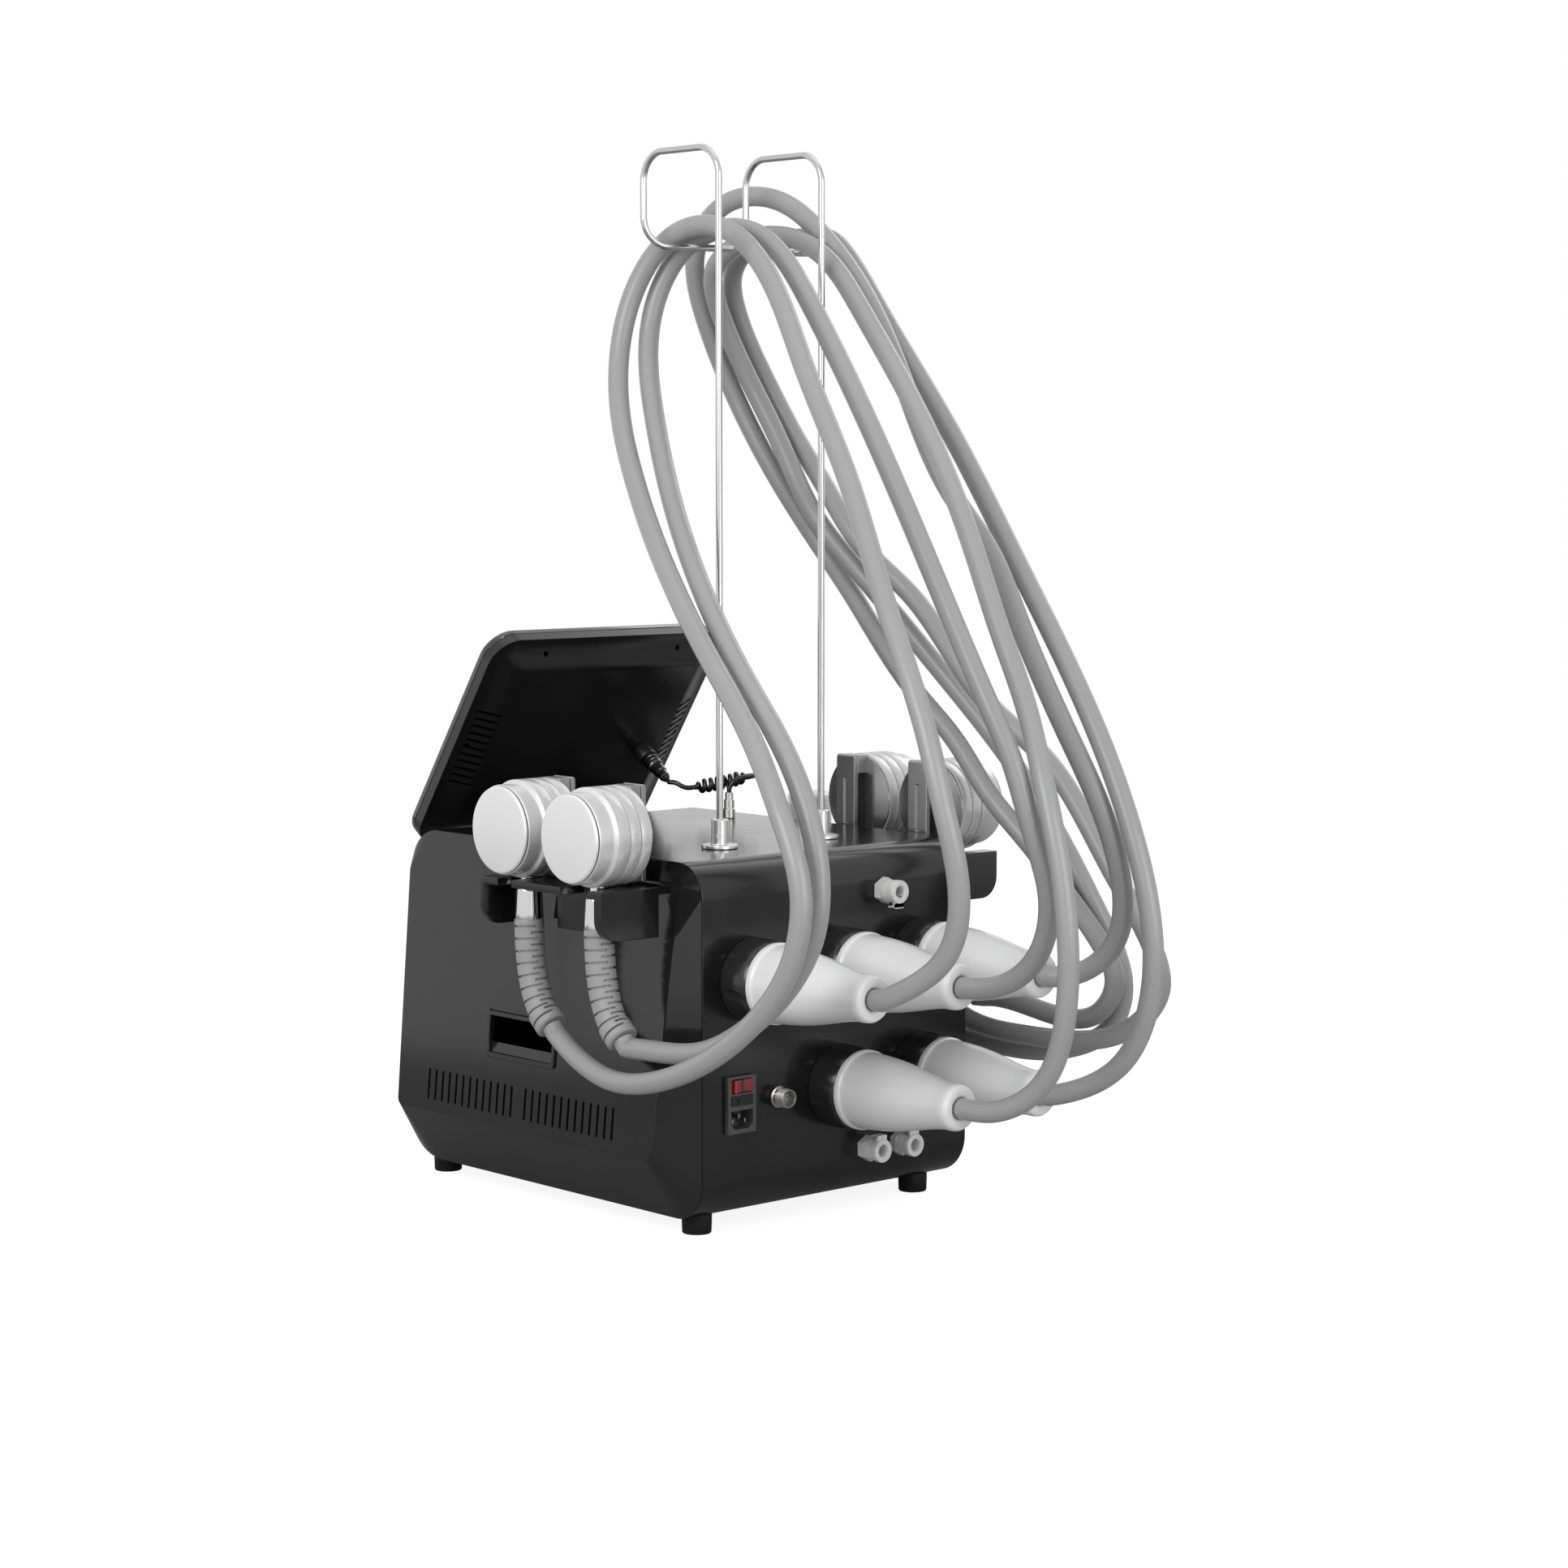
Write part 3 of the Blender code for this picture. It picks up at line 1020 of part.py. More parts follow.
# Holders: a slotted plate on cheeks and a brace, standing off the leaning side panel
def holder(name, side, front, seats):
    """One holder; each seat is the y of a neck and the width of its mouth."""
    root = PANEL_TOP_HALF_WIDTH - OVERRUN
    plate_base = HOLDER_TOP - HOLDER_PLATE_THICKNESS
    plate_middle = (HOLDER_TOP + plate_base) / 2
    plate = [(side * root, front), (side * HOLDER_HALF_SPAN, front), (side * HOLDER_HALF_SPAN, HOLDER_REAR),
             (side * root, HOLDER_REAR)]
    body = prism(name, [plate], "Z", plate_base, HOLDER_TOP, "black_plastic")
    cheek = rounded([(CHEEK_BASE, side * CHEEK_INNER, 0), (plate_middle, side * CHEEK_INNER, 0),
                     (plate_middle, side * HOLDER_HALF_SPAN, 0),
                     (CHEEK_BASE, side * HOLDER_HALF_SPAN, CHEEK_ROUNDING)])
    join(body, prism(name + "_front_cheek", [cheek], "Y", front, front + FRONT_CHEEK_THICKNESS),
         prism(name + "_rear_cheek", [cheek], "Y", HOLDER_REAR - REAR_CHEEK_THICKNESS, HOLDER_REAR))
    brace_y = (APPLICATOR_FRONT_Y + APPLICATOR_REAR_Y) / 2
    brace_x = sorted((side * root, side * BRACE_OUTER))
    join(body, box(name + "_brace", (brace_x[0], brace_y - BRACE_HALF_LENGTH, CHEEK_BASE),
                   (brace_x[1], brace_y + BRACE_HALF_LENGTH, plate_middle)))
    for y, mouth in seats:
        across = sorted((side * APPLICATOR_X, side * (HOLDER_HALF_SPAN + OVERRUN)))
        cut(body, rod(f"{name}_seat", (side * APPLICATOR_X, y, plate_base - OVERRUN),
                      (side * APPLICATOR_X, y, HOLDER_TOP + OVERRUN), SEAT_RADIUS),
            box(f"{name}_mouth", (across[0], y - mouth / 2, plate_base - OVERRUN),
                (across[1], y + mouth / 2, HOLDER_TOP + OVERRUN)))
    side_face = [(PANEL_BASE, 0), (PANEL_BASE, side * (panel_half_width(PANEL_BASE) + GAP)),
                 (PANEL_TOP, side * (PANEL_TOP_HALF_WIDTH + GAP)),
                 (BODY_TOP, side * (BODY_HALF_WIDTH + 2 * GAP)), (BODY_TOP, 0)]
    cut(body, prism(name + "_side_face", [side_face], "Y", front - OVERRUN, HOLDER_REAR + OVERRUN))
    return body


PAIR_SEATS = ((APPLICATOR_FRONT_Y, HOSE_MOUTH), (APPLICATOR_REAR_Y, WIDE_MOUTH))
holder("right_holder", 1, HOLDER_FRONT, PAIR_SEATS)
holder("left_holder", -1, LONG_HOLDER_FRONT, ((SMALL_Y, HOSE_MOUTH),) + PAIR_SEATS)

# Rear hose sockets: one plate inside the rear wall carries the five noses
SOCKETS = ((SOCKET_RIGHT_X, SOCKET_UPPER_Z), (0, SOCKET_UPPER_Z), (SOCKET_LEFT_X, SOCKET_UPPER_Z),
           (0, SOCKET_LOWER_Z), (SOCKET_LEFT_X, SOCKET_LOWER_Z))
REAR_INSIDE = BODY_REAR - BODY_WALL
REAR_OUTSIDE = BODY_REAR + GAP
socket_edge = NOSE_RADIUS + SOCKET_PLATE_MARGIN
plate_front, plate_rear = REAR_INSIDE - GAP - SOCKET_PLATE_THICKNESS, REAR_INSIDE - GAP
socket_plate = [(SOCKET_LOWER_Z - socket_edge, SOCKET_LEFT_X - socket_edge),
                (SOCKET_UPPER_Z + socket_edge, SOCKET_LEFT_X - socket_edge),
                (SOCKET_UPPER_Z + socket_edge, SOCKET_RIGHT_X + socket_edge),
                (SOCKET_UPPER_Z - socket_edge, SOCKET_RIGHT_X + socket_edge),
                (SOCKET_UPPER_Z - socket_edge, socket_edge), (SOCKET_LOWER_Z - socket_edge, socket_edge)]
socket_block = prism("hose_socket_block", [socket_plate], "Y", plate_front, plate_rear, "grey_plastic")
for x, z in SOCKETS:
    join(socket_block, rod("socket_nose", (x, plate_rear - GAP, z), (x, BODY_REAR + NOSE_REACH, z),
                           NOSE_RADIUS))
    rear_hole("socket_hole", x, z, NOSE_RADIUS + BORE_CLEARANCE)

# Coupling rings: each turns on its nose and holds its boot by a lip; the notches are finger grips
lip_start = RING_LENGTH - RING_LIP_LENGTH
ring_profile = [(RING_RADIUS, RING_LENGTH), (RING_RADIUS, 0),
                (NOSE_RADIUS + RING_CLEARANCE, 0), (NOSE_RADIUS + RING_CLEARANCE, lip_start),
                (BOOT_CORE_RADIUS + RING_LIP_CLEARANCE, lip_start),
                (BOOT_CORE_RADIUS + RING_LIP_CLEARANCE, RING_LENGTH)]
ring = turned("coupling_ring_1", ring_profile, (0, 0, 0), (0, 1, 0), FINE_SIDES, closed=True)
notches = bmesh.new()
for notch in range(RING_NOTCH_COUNT):
    angle = math.pi / 2 + math.tau * notch / RING_NOTCH_COUNT
    off = RING_RADIUS + RING_NOTCH_RADIUS - RING_NOTCH_DEPTH
    middle = Vector((off * math.cos(angle), RING_NOTCH_START + RING_NOTCH_LENGTH / 2, off * math.sin(angle)))
    bmesh.ops.create_cone(notches, cap_ends=True, segments=NOTCH_SIDES, radius1=RING_NOTCH_RADIUS,
                          radius2=RING_NOTCH_RADIUS, depth=RING_NOTCH_LENGTH, matrix=along(middle, (0, 1, 0)))
cut(ring, add("ring_notches", mesh_of(notches, "ring_notches"), None))
ring = finished(ring, "black_plastic")

core_length = RING_LENGTH + GAP - NOSE_REACH
boot_profile = [(0, BOOT_LENGTH)]
for radius_share, length_share in reversed(BOOT_PROFILE_SHARES):
    boot_profile.append((BOOT_RIM_RADIUS * radius_share, BOOT_LENGTH * length_share))
boot_profile += [(BOOT_CORE_RADIUS, 0), (BOOT_CORE_RADIUS, -core_length), (0, -core_length)]
boot = turned("hose_boot_1", boot_profile, (0, 0, 0), (0, 1, 0), FINE_SIDES, "white_plastic")
BOOT_BASE = REAR_OUTSIDE + RING_LENGTH + GAP
BOOT_END = BOOT_BASE + BOOT_LENGTH
for number, (x, z) in enumerate(SOCKETS, 1):
    if number == 1:
        ring.location = (x, REAR_OUTSIDE, z)
        boot.location = (x, BOOT_BASE, z)
        continue
    copy_at(ring, f"coupling_ring_{number}", (x, REAR_OUTSIDE, z))
    copy_at(boot, f"hose_boot_{number}", (x, BOOT_BASE, z))

# Mains inlet with its rocker and fuse drawer
INLET_FRONT = REAR_OUTSIDE + INLET_PLATE_THICKNESS


def inlet_block(name, width, height, rise, low, high, finish=None):
    """A block on the inlet's centre line, between two depths."""
    return box(name, (INLET_X - width / 2, low, INLET_Z + rise - height / 2),
               (INLET_X + width / 2, high, INLET_Z + rise + height / 2), finish)


inlet = inlet_block("mains_inlet", INLET_WIDTH, INLET_HEIGHT, 0, REAR_OUTSIDE, INLET_FRONT, "black_plastic")
inside_width = INLET_WIDTH - 2 * INLET_BODY_MARGIN
inside_height = INLET_HEIGHT - 2 * INLET_BODY_MARGIN
join(inlet, inlet_block("inlet_body", inside_width, inside_height, 0, BODY_REAR - INLET_BODY_DEPTH,
                        REAR_OUTSIDE + GAP))
cut(housing, inlet_block("inlet_hole", inside_width + 2 * GAP, inside_height + 2 * GAP, 0,
                         BODY_REAR - OVERRUN, BODY_REAR + OVERRUN))
aperture = 2 * ROCKER_CLEARANCE
cut(inlet, inlet_block("rocker_aperture", ROCKER_WIDTH + aperture, ROCKER_HEIGHT + aperture, ROCKER_RISE,
                       INLET_FRONT - ROCKER_DEPTH - aperture, INLET_FRONT + OVERRUN),
    inlet_block("drawer_pocket", DRAWER_WIDTH + 2 * GAP, DRAWER_HEIGHT + 2 * GAP, DRAWER_RISE,
                INLET_FRONT + DRAWER_PROUD - DRAWER_LENGTH - GAP, INLET_FRONT + OVERRUN),
    inlet_block("mains_recess", MAINS_SOCKET_WIDTH, MAINS_SOCKET_HEIGHT, -MAINS_SOCKET_DROP,
                INLET_FRONT - MAINS_SOCKET_DEPTH, INLET_FRONT + OVERRUN))
for place_x, rise in ((-MAINS_PIN_PITCH, -MAINS_EARTH_RISE), (0, MAINS_EARTH_RISE),
                      (MAINS_PIN_PITCH, -MAINS_EARTH_RISE)):
    pin_x, pin_z = INLET_X + place_x, INLET_Z - MAINS_SOCKET_DROP + rise
    pin_floor = INLET_FRONT - MAINS_SOCKET_DEPTH
    half_width, half_height = MAINS_PIN_WIDTH / 2, MAINS_PIN_HEIGHT / 2
    join(inlet, box("mains_pin", (pin_x - half_width, pin_floor - GAP, pin_z - half_height),
                    (pin_x + half_width, pin_floor + MAINS_PIN_LENGTH, pin_z + half_height)))

rocker_axis_y = INLET_FRONT - ROCKER_DEPTH * ROCKER_AXIS_SHARE
rocker_front = INLET_FRONT + ROCKER_PROUD - rocker_axis_y
rocker_back = rocker_front - ROCKER_DEPTH
rocker_side, rocker_heel = ROCKER_WIDTH / 2, ROCKER_WIDTH / 2 - ROCKER_BACK_INSET
rocker_outline = [(-rocker_side, rocker_front), (0, rocker_front - ROCKER_DISH), (rocker_side, rocker_front),
                  (rocker_heel, rocker_back), (-rocker_heel, rocker_back)]
rocker = prism("mains_rocker", [rocker_outline], "Z", -ROCKER_HEIGHT / 2, ROCKER_HEIGHT / 2, "red_plastic")
rocker.location = (INLET_X, rocker_axis_y, INLET_Z + ROCKER_RISE)
rocker.rotation_euler = (0, 0, ROCKER_TILT)

drawer_front = INLET_FRONT + DRAWER_PROUD
drawer = inlet_block("fuse_drawer", DRAWER_WIDTH, DRAWER_HEIGHT, DRAWER_RISE, drawer_front - DRAWER_LENGTH,
                     drawer_front, "black_plastic")
grip_edge = INLET_X + DRAWER_WIDTH / 2 - DRAWER_GRIP_WIDTH
cut(drawer, box("drawer_grip", (grip_edge - DRAWER_GRIP_WIDTH, drawer_front - DRAWER_GRIP_DEPTH,
                                INLET_Z + DRAWER_RISE - DRAWER_GRIP_WIDTH / 2),
                (grip_edge, drawer_front + OVERRUN, INLET_Z + DRAWER_RISE + DRAWER_GRIP_WIDTH / 2)))

# Foot-switch socket
foot_profile = [(0, FOOT_SOCKET_FLOOR), (FOOT_SOCKET_BORE, FOOT_SOCKET_FLOOR),
                (FOOT_SOCKET_BORE, FOOT_SOCKET_LENGTH), (FOOT_SOCKET_RADIUS, FOOT_SOCKET_LENGTH),
                (FOOT_SOCKET_RADIUS, FOOT_SOCKET_FLANGE_LENGTH),
                (FOOT_SOCKET_FLANGE_RADIUS, FOOT_SOCKET_FLANGE_LENGTH), (FOOT_SOCKET_FLANGE_RADIUS, 0),
                (FOOT_SOCKET_SHANK_RADIUS, 0), (FOOT_SOCKET_SHANK_RADIUS, -FOOT_SOCKET_SHANK_LENGTH),
                (0, -FOOT_SOCKET_SHANK_LENGTH)]
turned("foot_switch_socket", foot_profile, (FOOT_SOCKET_X, REAR_OUTSIDE, FOOT_SOCKET_Z), (0, 1, 0),
       SMALL_SIDES, "steel")
rear_hole("foot_socket_hole", FOOT_SOCKET_X, FOOT_SOCKET_Z, FOOT_SOCKET_SHANK_RADIUS + BORE_CLEARANCE,
          SMALL_SIDES)

# Quick couplings, with the thumb latch above or below: x, z and which way the latch points
COUPLINGS = ((OVERFLOW_X, BODY_TOP - OVERFLOW_TOP_DROP, -1), (DRAIN_X, BODY_BASE + DRAIN_RISE, 1),
             (FILL_X, BODY_BASE + FILL_RISE, 1))
coupling_floor = COUPLING_LENGTH - COUPLING_BORE_DEPTH
coupling_profile = [(0, coupling_floor), (COUPLING_BORE, coupling_floor), (COUPLING_BORE, COUPLING_LENGTH),
                    (COUPLING_FACE_RADIUS - COUPLING_EDGE, COUPLING_LENGTH),
                    (COUPLING_FACE_RADIUS, COUPLING_LENGTH - COUPLING_EDGE),
                    (COUPLING_FACE_RADIUS, COUPLING_LENGTH - COUPLING_FACE_LENGTH),
                    (COUPLING_BARREL_RADIUS, COUPLING_LENGTH - COUPLING_FACE_LENGTH)]
for share in reversed(COUPLING_RIB_SHARES):
    rib = COUPLING_LENGTH * share
    coupling_profile += [(COUPLING_BARREL_RADIUS, rib + COUPLING_RIB_LENGTH),
                         (COUPLING_RIB_RADIUS, rib + COUPLING_RIB_LENGTH / 2), (COUPLING_BARREL_RADIUS, rib)]
coupling_profile += [(COUPLING_BARREL_RADIUS, 0), (COUPLING_SHANK_RADIUS, 0),
                     (COUPLING_SHANK_RADIUS, -COUPLING_SHANK_LENGTH), (0, -COUPLING_SHANK_LENGTH)]
latch_high = COUPLING_LENGTH - LATCH_SETBACK
latch_low = latch_high - LATCH_THICKNESS
for number, (x, z, up) in enumerate(COUPLINGS, 1):
    coupling = turned(f"quick_coupling_{number}", coupling_profile, (x, REAR_OUTSIDE, z), (0, 1, 0),
                      SMALL_SIDES, "white_plastic")
    join(coupling, rod("coupling_hex", (x, REAR_OUTSIDE, z), (x, REAR_OUTSIDE + COUPLING_HEX_LENGTH, z),
                       COUPLING_HEX_RADIUS, HEX_SIDES))
    slot_z = sorted((z + up * (LATCH_INNER - LATCH_TRAVEL - GAP), z + up * (LATCH_OUTER + OVERRUN)))
    cut(coupling, box("latch_slot", (x - LATCH_WIDTH / 2 - GAP, REAR_OUTSIDE + latch_low - GAP, slot_z[0]),
                      (x + LATCH_WIDTH / 2 + GAP, REAR_OUTSIDE + latch_high + GAP, slot_z[1])))
    latch_z = sorted((z + up * LATCH_INNER, z + up * LATCH_OUTER))
    latch = box(f"quick_coupling_{number}_latch", (x - LATCH_WIDTH / 2, REAR_OUTSIDE + latch_low, latch_z[0]),
                (x + LATCH_WIDTH / 2, REAR_OUTSIDE + latch_high, latch_z[1]), "white_plastic")
    tab_z = sorted((z + up * (LATCH_OUTER - LATCH_TAB_THICKNESS), z + up * LATCH_OUTER))
    join(latch, box("latch_tab", (x - LATCH_WIDTH / 2, REAR_OUTSIDE + latch_high - LATCH_TAB_LENGTH, tab_z[0]),
                    (x + LATCH_WIDTH / 2, REAR_OUTSIDE + latch_high, tab_z[1])))
    rear_hole("coupling_hole", x, z, COUPLING_SHANK_RADIUS + BORE_CLEARANCE, SMALL_SIDES)


# Hose hangers on the top
def bent(corners, radius, steps):
    """A path through 3-D corners with an arc at each inner one."""
    path = [Vector(corners[0])]
    for before, here, after in zip(corners, corners[1:], corners[2:]):
        here = Vector(here)
        back, ahead = (Vector(before) - here).normalized(), (Vector(after) - here).normalized()
        half = back.angle(ahead) / 2
        centre = here + (back + ahead).normalized() * (radius / math.sin(half))
        first = here + back * (radius / math.tan(half)) - centre
        last = here + ahead * (radius / math.tan(half)) - centre
        turn = first.rotation_difference(last)
        for step in range(steps + 1):
            path.append(centre + Quaternion(turn.axis, turn.angle * step / steps) @ first)
    path.append(Vector(corners[-1]))
    return path


ROD_BORE = HANGER_ROD_RADIUS + BORE_CLEARANCE
collar_profile = [(0, COLLAR_FLOOR), (ROD_BORE, COLLAR_FLOOR), (ROD_BORE, COLLAR_HEIGHT),
                  (COLLAR_RADIUS, COLLAR_HEIGHT), (COLLAR_RADIUS, FLANGE_THICKNESS),
                  (FLANGE_RADIUS, FLANGE_THICKNESS), (FLANGE_RADIUS, 0), (0, 0)]
hanger_base = BODY_TOP + GAP
screw_out = Vector((1, 1, 0)).normalized()
for name, x in (("right", HANGER_HALF_SPAN), ("left", -HANGER_HALF_SPAN)):
    foot = Vector((x, HANGER_Y, hanger_base))
    collar = turned(f"hanger_collar_{name}", collar_profile, foot, (0, 0, 1), ROUND_SIDES, "steel")
    screw_root = foot + Vector((0, 0, COLLAR_HEIGHT * CLAMP_SCREW_SHARE))
    screw_start = screw_root + screw_out * (COLLAR_RADIUS - CLAMP_SCREW_PROUD)
    join(collar, rod("clamp_screw", screw_start, screw_start + screw_out * 2 * CLAMP_SCREW_PROUD,
                     CLAMP_SCREW_RADIUS, SMALL_SIDES))
    arm_root = Vector((x, HANGER_FRONT_Y, HANGER_ARM_HEIGHT))
    arm = Vector((math.cos(HANGER_ARM_ANGLE), math.sin(HANGER_ARM_ANGLE), 0)) * HANGER_ARM_LENGTH
    corners = [foot + Vector((0, 0, COLLAR_FLOOR + GAP)), Vector((x, HANGER_Y, HANGER_TOP)),
               Vector((x, HANGER_FRONT_Y, HANGER_TOP)), arm_root, arm_root + arm]
    tube(f"hanger_rod_{name}", bent(corners, HANGER_BEND_RADIUS, BEND_STEPS), 2 * HANGER_ROD_RADIUS,
         TUBE_DETAIL, "steel")

# Plugs of the screen cord: one square on the screen's back, one in the top
plateau = GLASS_Y + SCREEN_DEPTH
plug_foot = Vector((SCREEN_PLUG_X, plateau + GAP, SCREEN_PLUG_UP))
plug_marks = [SCREEN_PLUG_LENGTH * share for share in SCREEN_PLUG_SHARES]
elbow_end, barrel_start, barrel_end, taper_start = plug_marks
screen_plug_profile = [(0, SCREEN_PLUG_LENGTH), (SCREEN_PLUG_END_RADIUS, SCREEN_PLUG_LENGTH),
                       (SCREEN_PLUG_END_RADIUS, taper_start), (SCREEN_PLUG_BARREL_RADIUS, barrel_end),
                       (SCREEN_PLUG_BARREL_RADIUS, barrel_start), (SCREEN_PLUG_ELBOW_RADIUS, elbow_end),
                       (SCREEN_PLUG_ELBOW_RADIUS, 0), (0, 0)]
turned("screen_cord_screen_plug", screen_plug_profile, plug_foot, (0, 1, 0), SMALL_SIDES, "black_plastic",
       screen)
flange_end, body_end, nut_start = (TOP_PLUG_HEIGHT * share for share in TOP_PLUG_SHARES)
top_plug_profile = [(0, TOP_PLUG_HEIGHT), (TOP_PLUG_END_RADIUS, TOP_PLUG_HEIGHT),
                    (TOP_PLUG_END_RADIUS, nut_start), (TOP_PLUG_BODY_RADIUS, body_end),
                    (TOP_PLUG_BODY_RADIUS, flange_end), (TOP_PLUG_FLANGE_RADIUS, flange_end),
                    (TOP_PLUG_FLANGE_RADIUS, 0), (TOP_PLUG_SPIGOT_RADIUS, 0),
                    (TOP_PLUG_SPIGOT_RADIUS, -BODY_WALL), (0, -BODY_WALL)]
top_plug_foot = Vector((TOP_PLUG_X, TOP_PLUG_Y, BODY_TOP + GAP))
turned("screen_cord_top_plug", top_plug_profile, top_plug_foot, (0, 0, 1), SMALL_SIDES, "steel")
plug_hole_reach = Vector((0, 0, OVERRUN))
cut(housing, rod("top_plug_hole", top_plug_foot - plug_hole_reach, top_plug_foot + plug_hole_reach,
                 TOP_PLUG_SPIGOT_RADIUS + BORE_CLEARANCE, SMALL_SIDES))


# Cords: each leaves its ends square, by a straight stub
def cord_route(start, start_out, end, end_out, stub, middle):
    """Stub, route and stub; the directions point away from what the cord meets."""
    start_out, end_out = Vector(start_out).normalized(), Vector(end_out).normalized()
    first, last = Vector(start) + start_out * GAP, Vector(end) + end_out * GAP
    route = [Vector(point) * MM for point in middle]
    return first, [first + start_out * stub, *route, last + end_out * stub], last


HOSE_ENDS = ((1, APPLICATOR_FRONT_Y), (1, APPLICATOR_REAR_Y), (-1, APPLICATOR_REAR_Y), (-1, SMALL_Y),
             (-1, APPLICATOR_FRONT_Y))
for (name, route), (x, z), (side, y) in zip(HOSE_ROUTES.items(), SOCKETS, HOSE_ENDS):
    sleeve_face = Vector((side * APPLICATOR_X, y, HEAD_Z)) + sleeve_end
    first, middle, last = cord_route((x, BOOT_END, z), (0, 1, 0), sleeve_face, SLEEVE_OUT, HOSE_STUB, route)
    fine = [Vector(point) for point in smooth_path(middle, HOSE_DIAMETER / SAMPLES_PER_DIAMETER)]
    path = [first, *thinned(fine, HOSE_POINT_SPACING, HOSE_TURN), last]
    tube(name, path, HOSE_DIAMETER, TUBE_DETAIL, "hose_plastic")
    print(f"{name}: {len(path)} points, {path_length(path):.3f} m")


def curl(centre, first, last):
    """The curly stretch between two marks on a fine centre line, as points of one helix."""
    steps = CURL_COUNT * CURL_POINTS
    radius = (CURL_OUTER_DIAMETER - CORD_DIAMETER) / 2
    points = []
    for step in range(steps + 1):
        place = first + (last - first) * step / steps
        index = min(int(place), len(centre) - 2)
        middle = centre[index].lerp(centre[index + 1], place - index)
        ahead = (centre[index + 1] - centre[index]).normalized()
        sideways = ahead.cross(Vector((0, 0, 1))).normalized()
        upward = sideways.cross(ahead)
        turn = math.tau * step / CURL_POINTS
        reach = radius * min(1, step / CURL_POINTS, (steps - step) / CURL_POINTS)
        points.append(middle + (sideways * math.sin(turn) - upward * math.cos(turn)) * reach)
    return points


def nearest_mark(centre, point):
    return min(range(len(centre)), key=lambda index: (centre[index] - Vector(point) * MM).length)


def least_self_gap(points, diameter):
    """Least gap between stretches of a tube that are over one turn's length apart, from its points."""
    places = np.array(points)
    run = np.concatenate([[0], np.cumsum(np.linalg.norm(np.diff(places, axis=0), axis=1))])
    apart = np.linalg.norm(places[:, None] - places[None], axis=2)
    distant = np.abs(run[:, None] - run[None]) > math.pi * diameter
    return float(apart[distant].min() - diameter)


lean = Matrix.Translation(HINGE_AXIS) @ Matrix.Rotation(-SCREEN_TILT, 4, "X")
plug_end = lean @ (plug_foot + Vector((0, SCREEN_PLUG_LENGTH, 0)))
plug_out = lean.to_3x3() @ Vector((0, 1, 0))
top_plug_end = top_plug_foot + Vector((0, 0, TOP_PLUG_HEIGHT))
first, middle, last = cord_route(plug_end, plug_out, top_plug_end, (0, 0, 1), CORD_DIAMETER,
                                 SCREEN_CORD_LEAD + SCREEN_CORD_CURLS + SCREEN_CORD_TAIL)
centre = [Vector(point) for point in smooth_path(middle, CORD_DIAMETER / SAMPLES_PER_DIAMETER)]
curl_start, curl_end = nearest_mark(centre, SCREEN_CORD_CURLS[0]), nearest_mark(centre, SCREEN_CORD_CURLS[-1])
plain_step = DIAMETERS_PER_STEP * SAMPLES_PER_DIAMETER
cord_path = [first, *centre[:curl_start:plain_step], *curl(centre, curl_start, curl_end),
             *centre[curl_end + plain_step::plain_step][:-1], centre[-1], last]
tube("screen_cord", cord_path, CORD_DIAMETER, CURL_DETAIL, "cord_plastic")
print(f"screen_cord: {len(cord_path)} points, {path_length(cord_path):.3f} m, least gap to itself "
      f"{least_self_gap(cord_path, CORD_DIAMETER) / MM:.2f} mm")

# The origin goes under the middle of the machine without its free cords and their plugs
CORD_PIECES = (*HOSE_ROUTES, "screen_cord", "screen_cord_screen_plug", "screen_cord_top_plug")
bpy.context.view_layer.update()
graph = bpy.context.evaluated_depsgraph_get()
reach = []
for shape in pieces.objects:
    if shape.type == "MESH" and shape.name not in CORD_PIECES:
        evaluated = shape.evaluated_get(graph)
        reach += [(evaluated.matrix_world @ vertex.co).y for vertex in evaluated.data.vertices]
machine.location.y = -(min(reach) + max(reach)) / 2
print(f"machine_centre at y {machine.location.y:.5f} m")
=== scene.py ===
"""Looks of a cryotherapy facial machine with five cooled applicators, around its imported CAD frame."""
import math

import bmesh
import bpy
import numpy as np
from mathutils import Matrix, Quaternion, Vector


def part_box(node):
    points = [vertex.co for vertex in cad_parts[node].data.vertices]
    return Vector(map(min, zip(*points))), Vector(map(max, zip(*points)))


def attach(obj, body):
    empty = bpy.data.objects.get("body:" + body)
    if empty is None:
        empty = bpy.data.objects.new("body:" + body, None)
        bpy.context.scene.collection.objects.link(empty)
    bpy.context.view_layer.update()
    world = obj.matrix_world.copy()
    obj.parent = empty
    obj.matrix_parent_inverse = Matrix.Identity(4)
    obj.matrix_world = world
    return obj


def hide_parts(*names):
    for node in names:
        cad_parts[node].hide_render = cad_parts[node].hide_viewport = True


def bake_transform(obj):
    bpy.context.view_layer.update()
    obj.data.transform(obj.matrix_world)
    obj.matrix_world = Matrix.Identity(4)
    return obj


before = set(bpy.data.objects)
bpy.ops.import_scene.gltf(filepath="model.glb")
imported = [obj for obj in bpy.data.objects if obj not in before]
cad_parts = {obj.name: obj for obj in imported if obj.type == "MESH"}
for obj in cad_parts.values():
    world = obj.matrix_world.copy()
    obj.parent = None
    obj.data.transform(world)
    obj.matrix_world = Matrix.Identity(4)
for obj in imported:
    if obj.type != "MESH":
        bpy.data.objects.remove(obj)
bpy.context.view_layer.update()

# Camera, where the photographer stood: behind the machine on its right, a little above its top.
# Sizes below are in millimetres from the middle of the machine's width, its own zero, and the bench.
MM = 0.001
REAR = 216.5
OWN_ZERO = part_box("main_housing")[1].y - REAR * MM
CAMERA_PLACE = Vector((2.0021, 2.2966, 0.6524))
CAMERA_AIM = Vector((-0.6671, -0.7391, -0.0930))
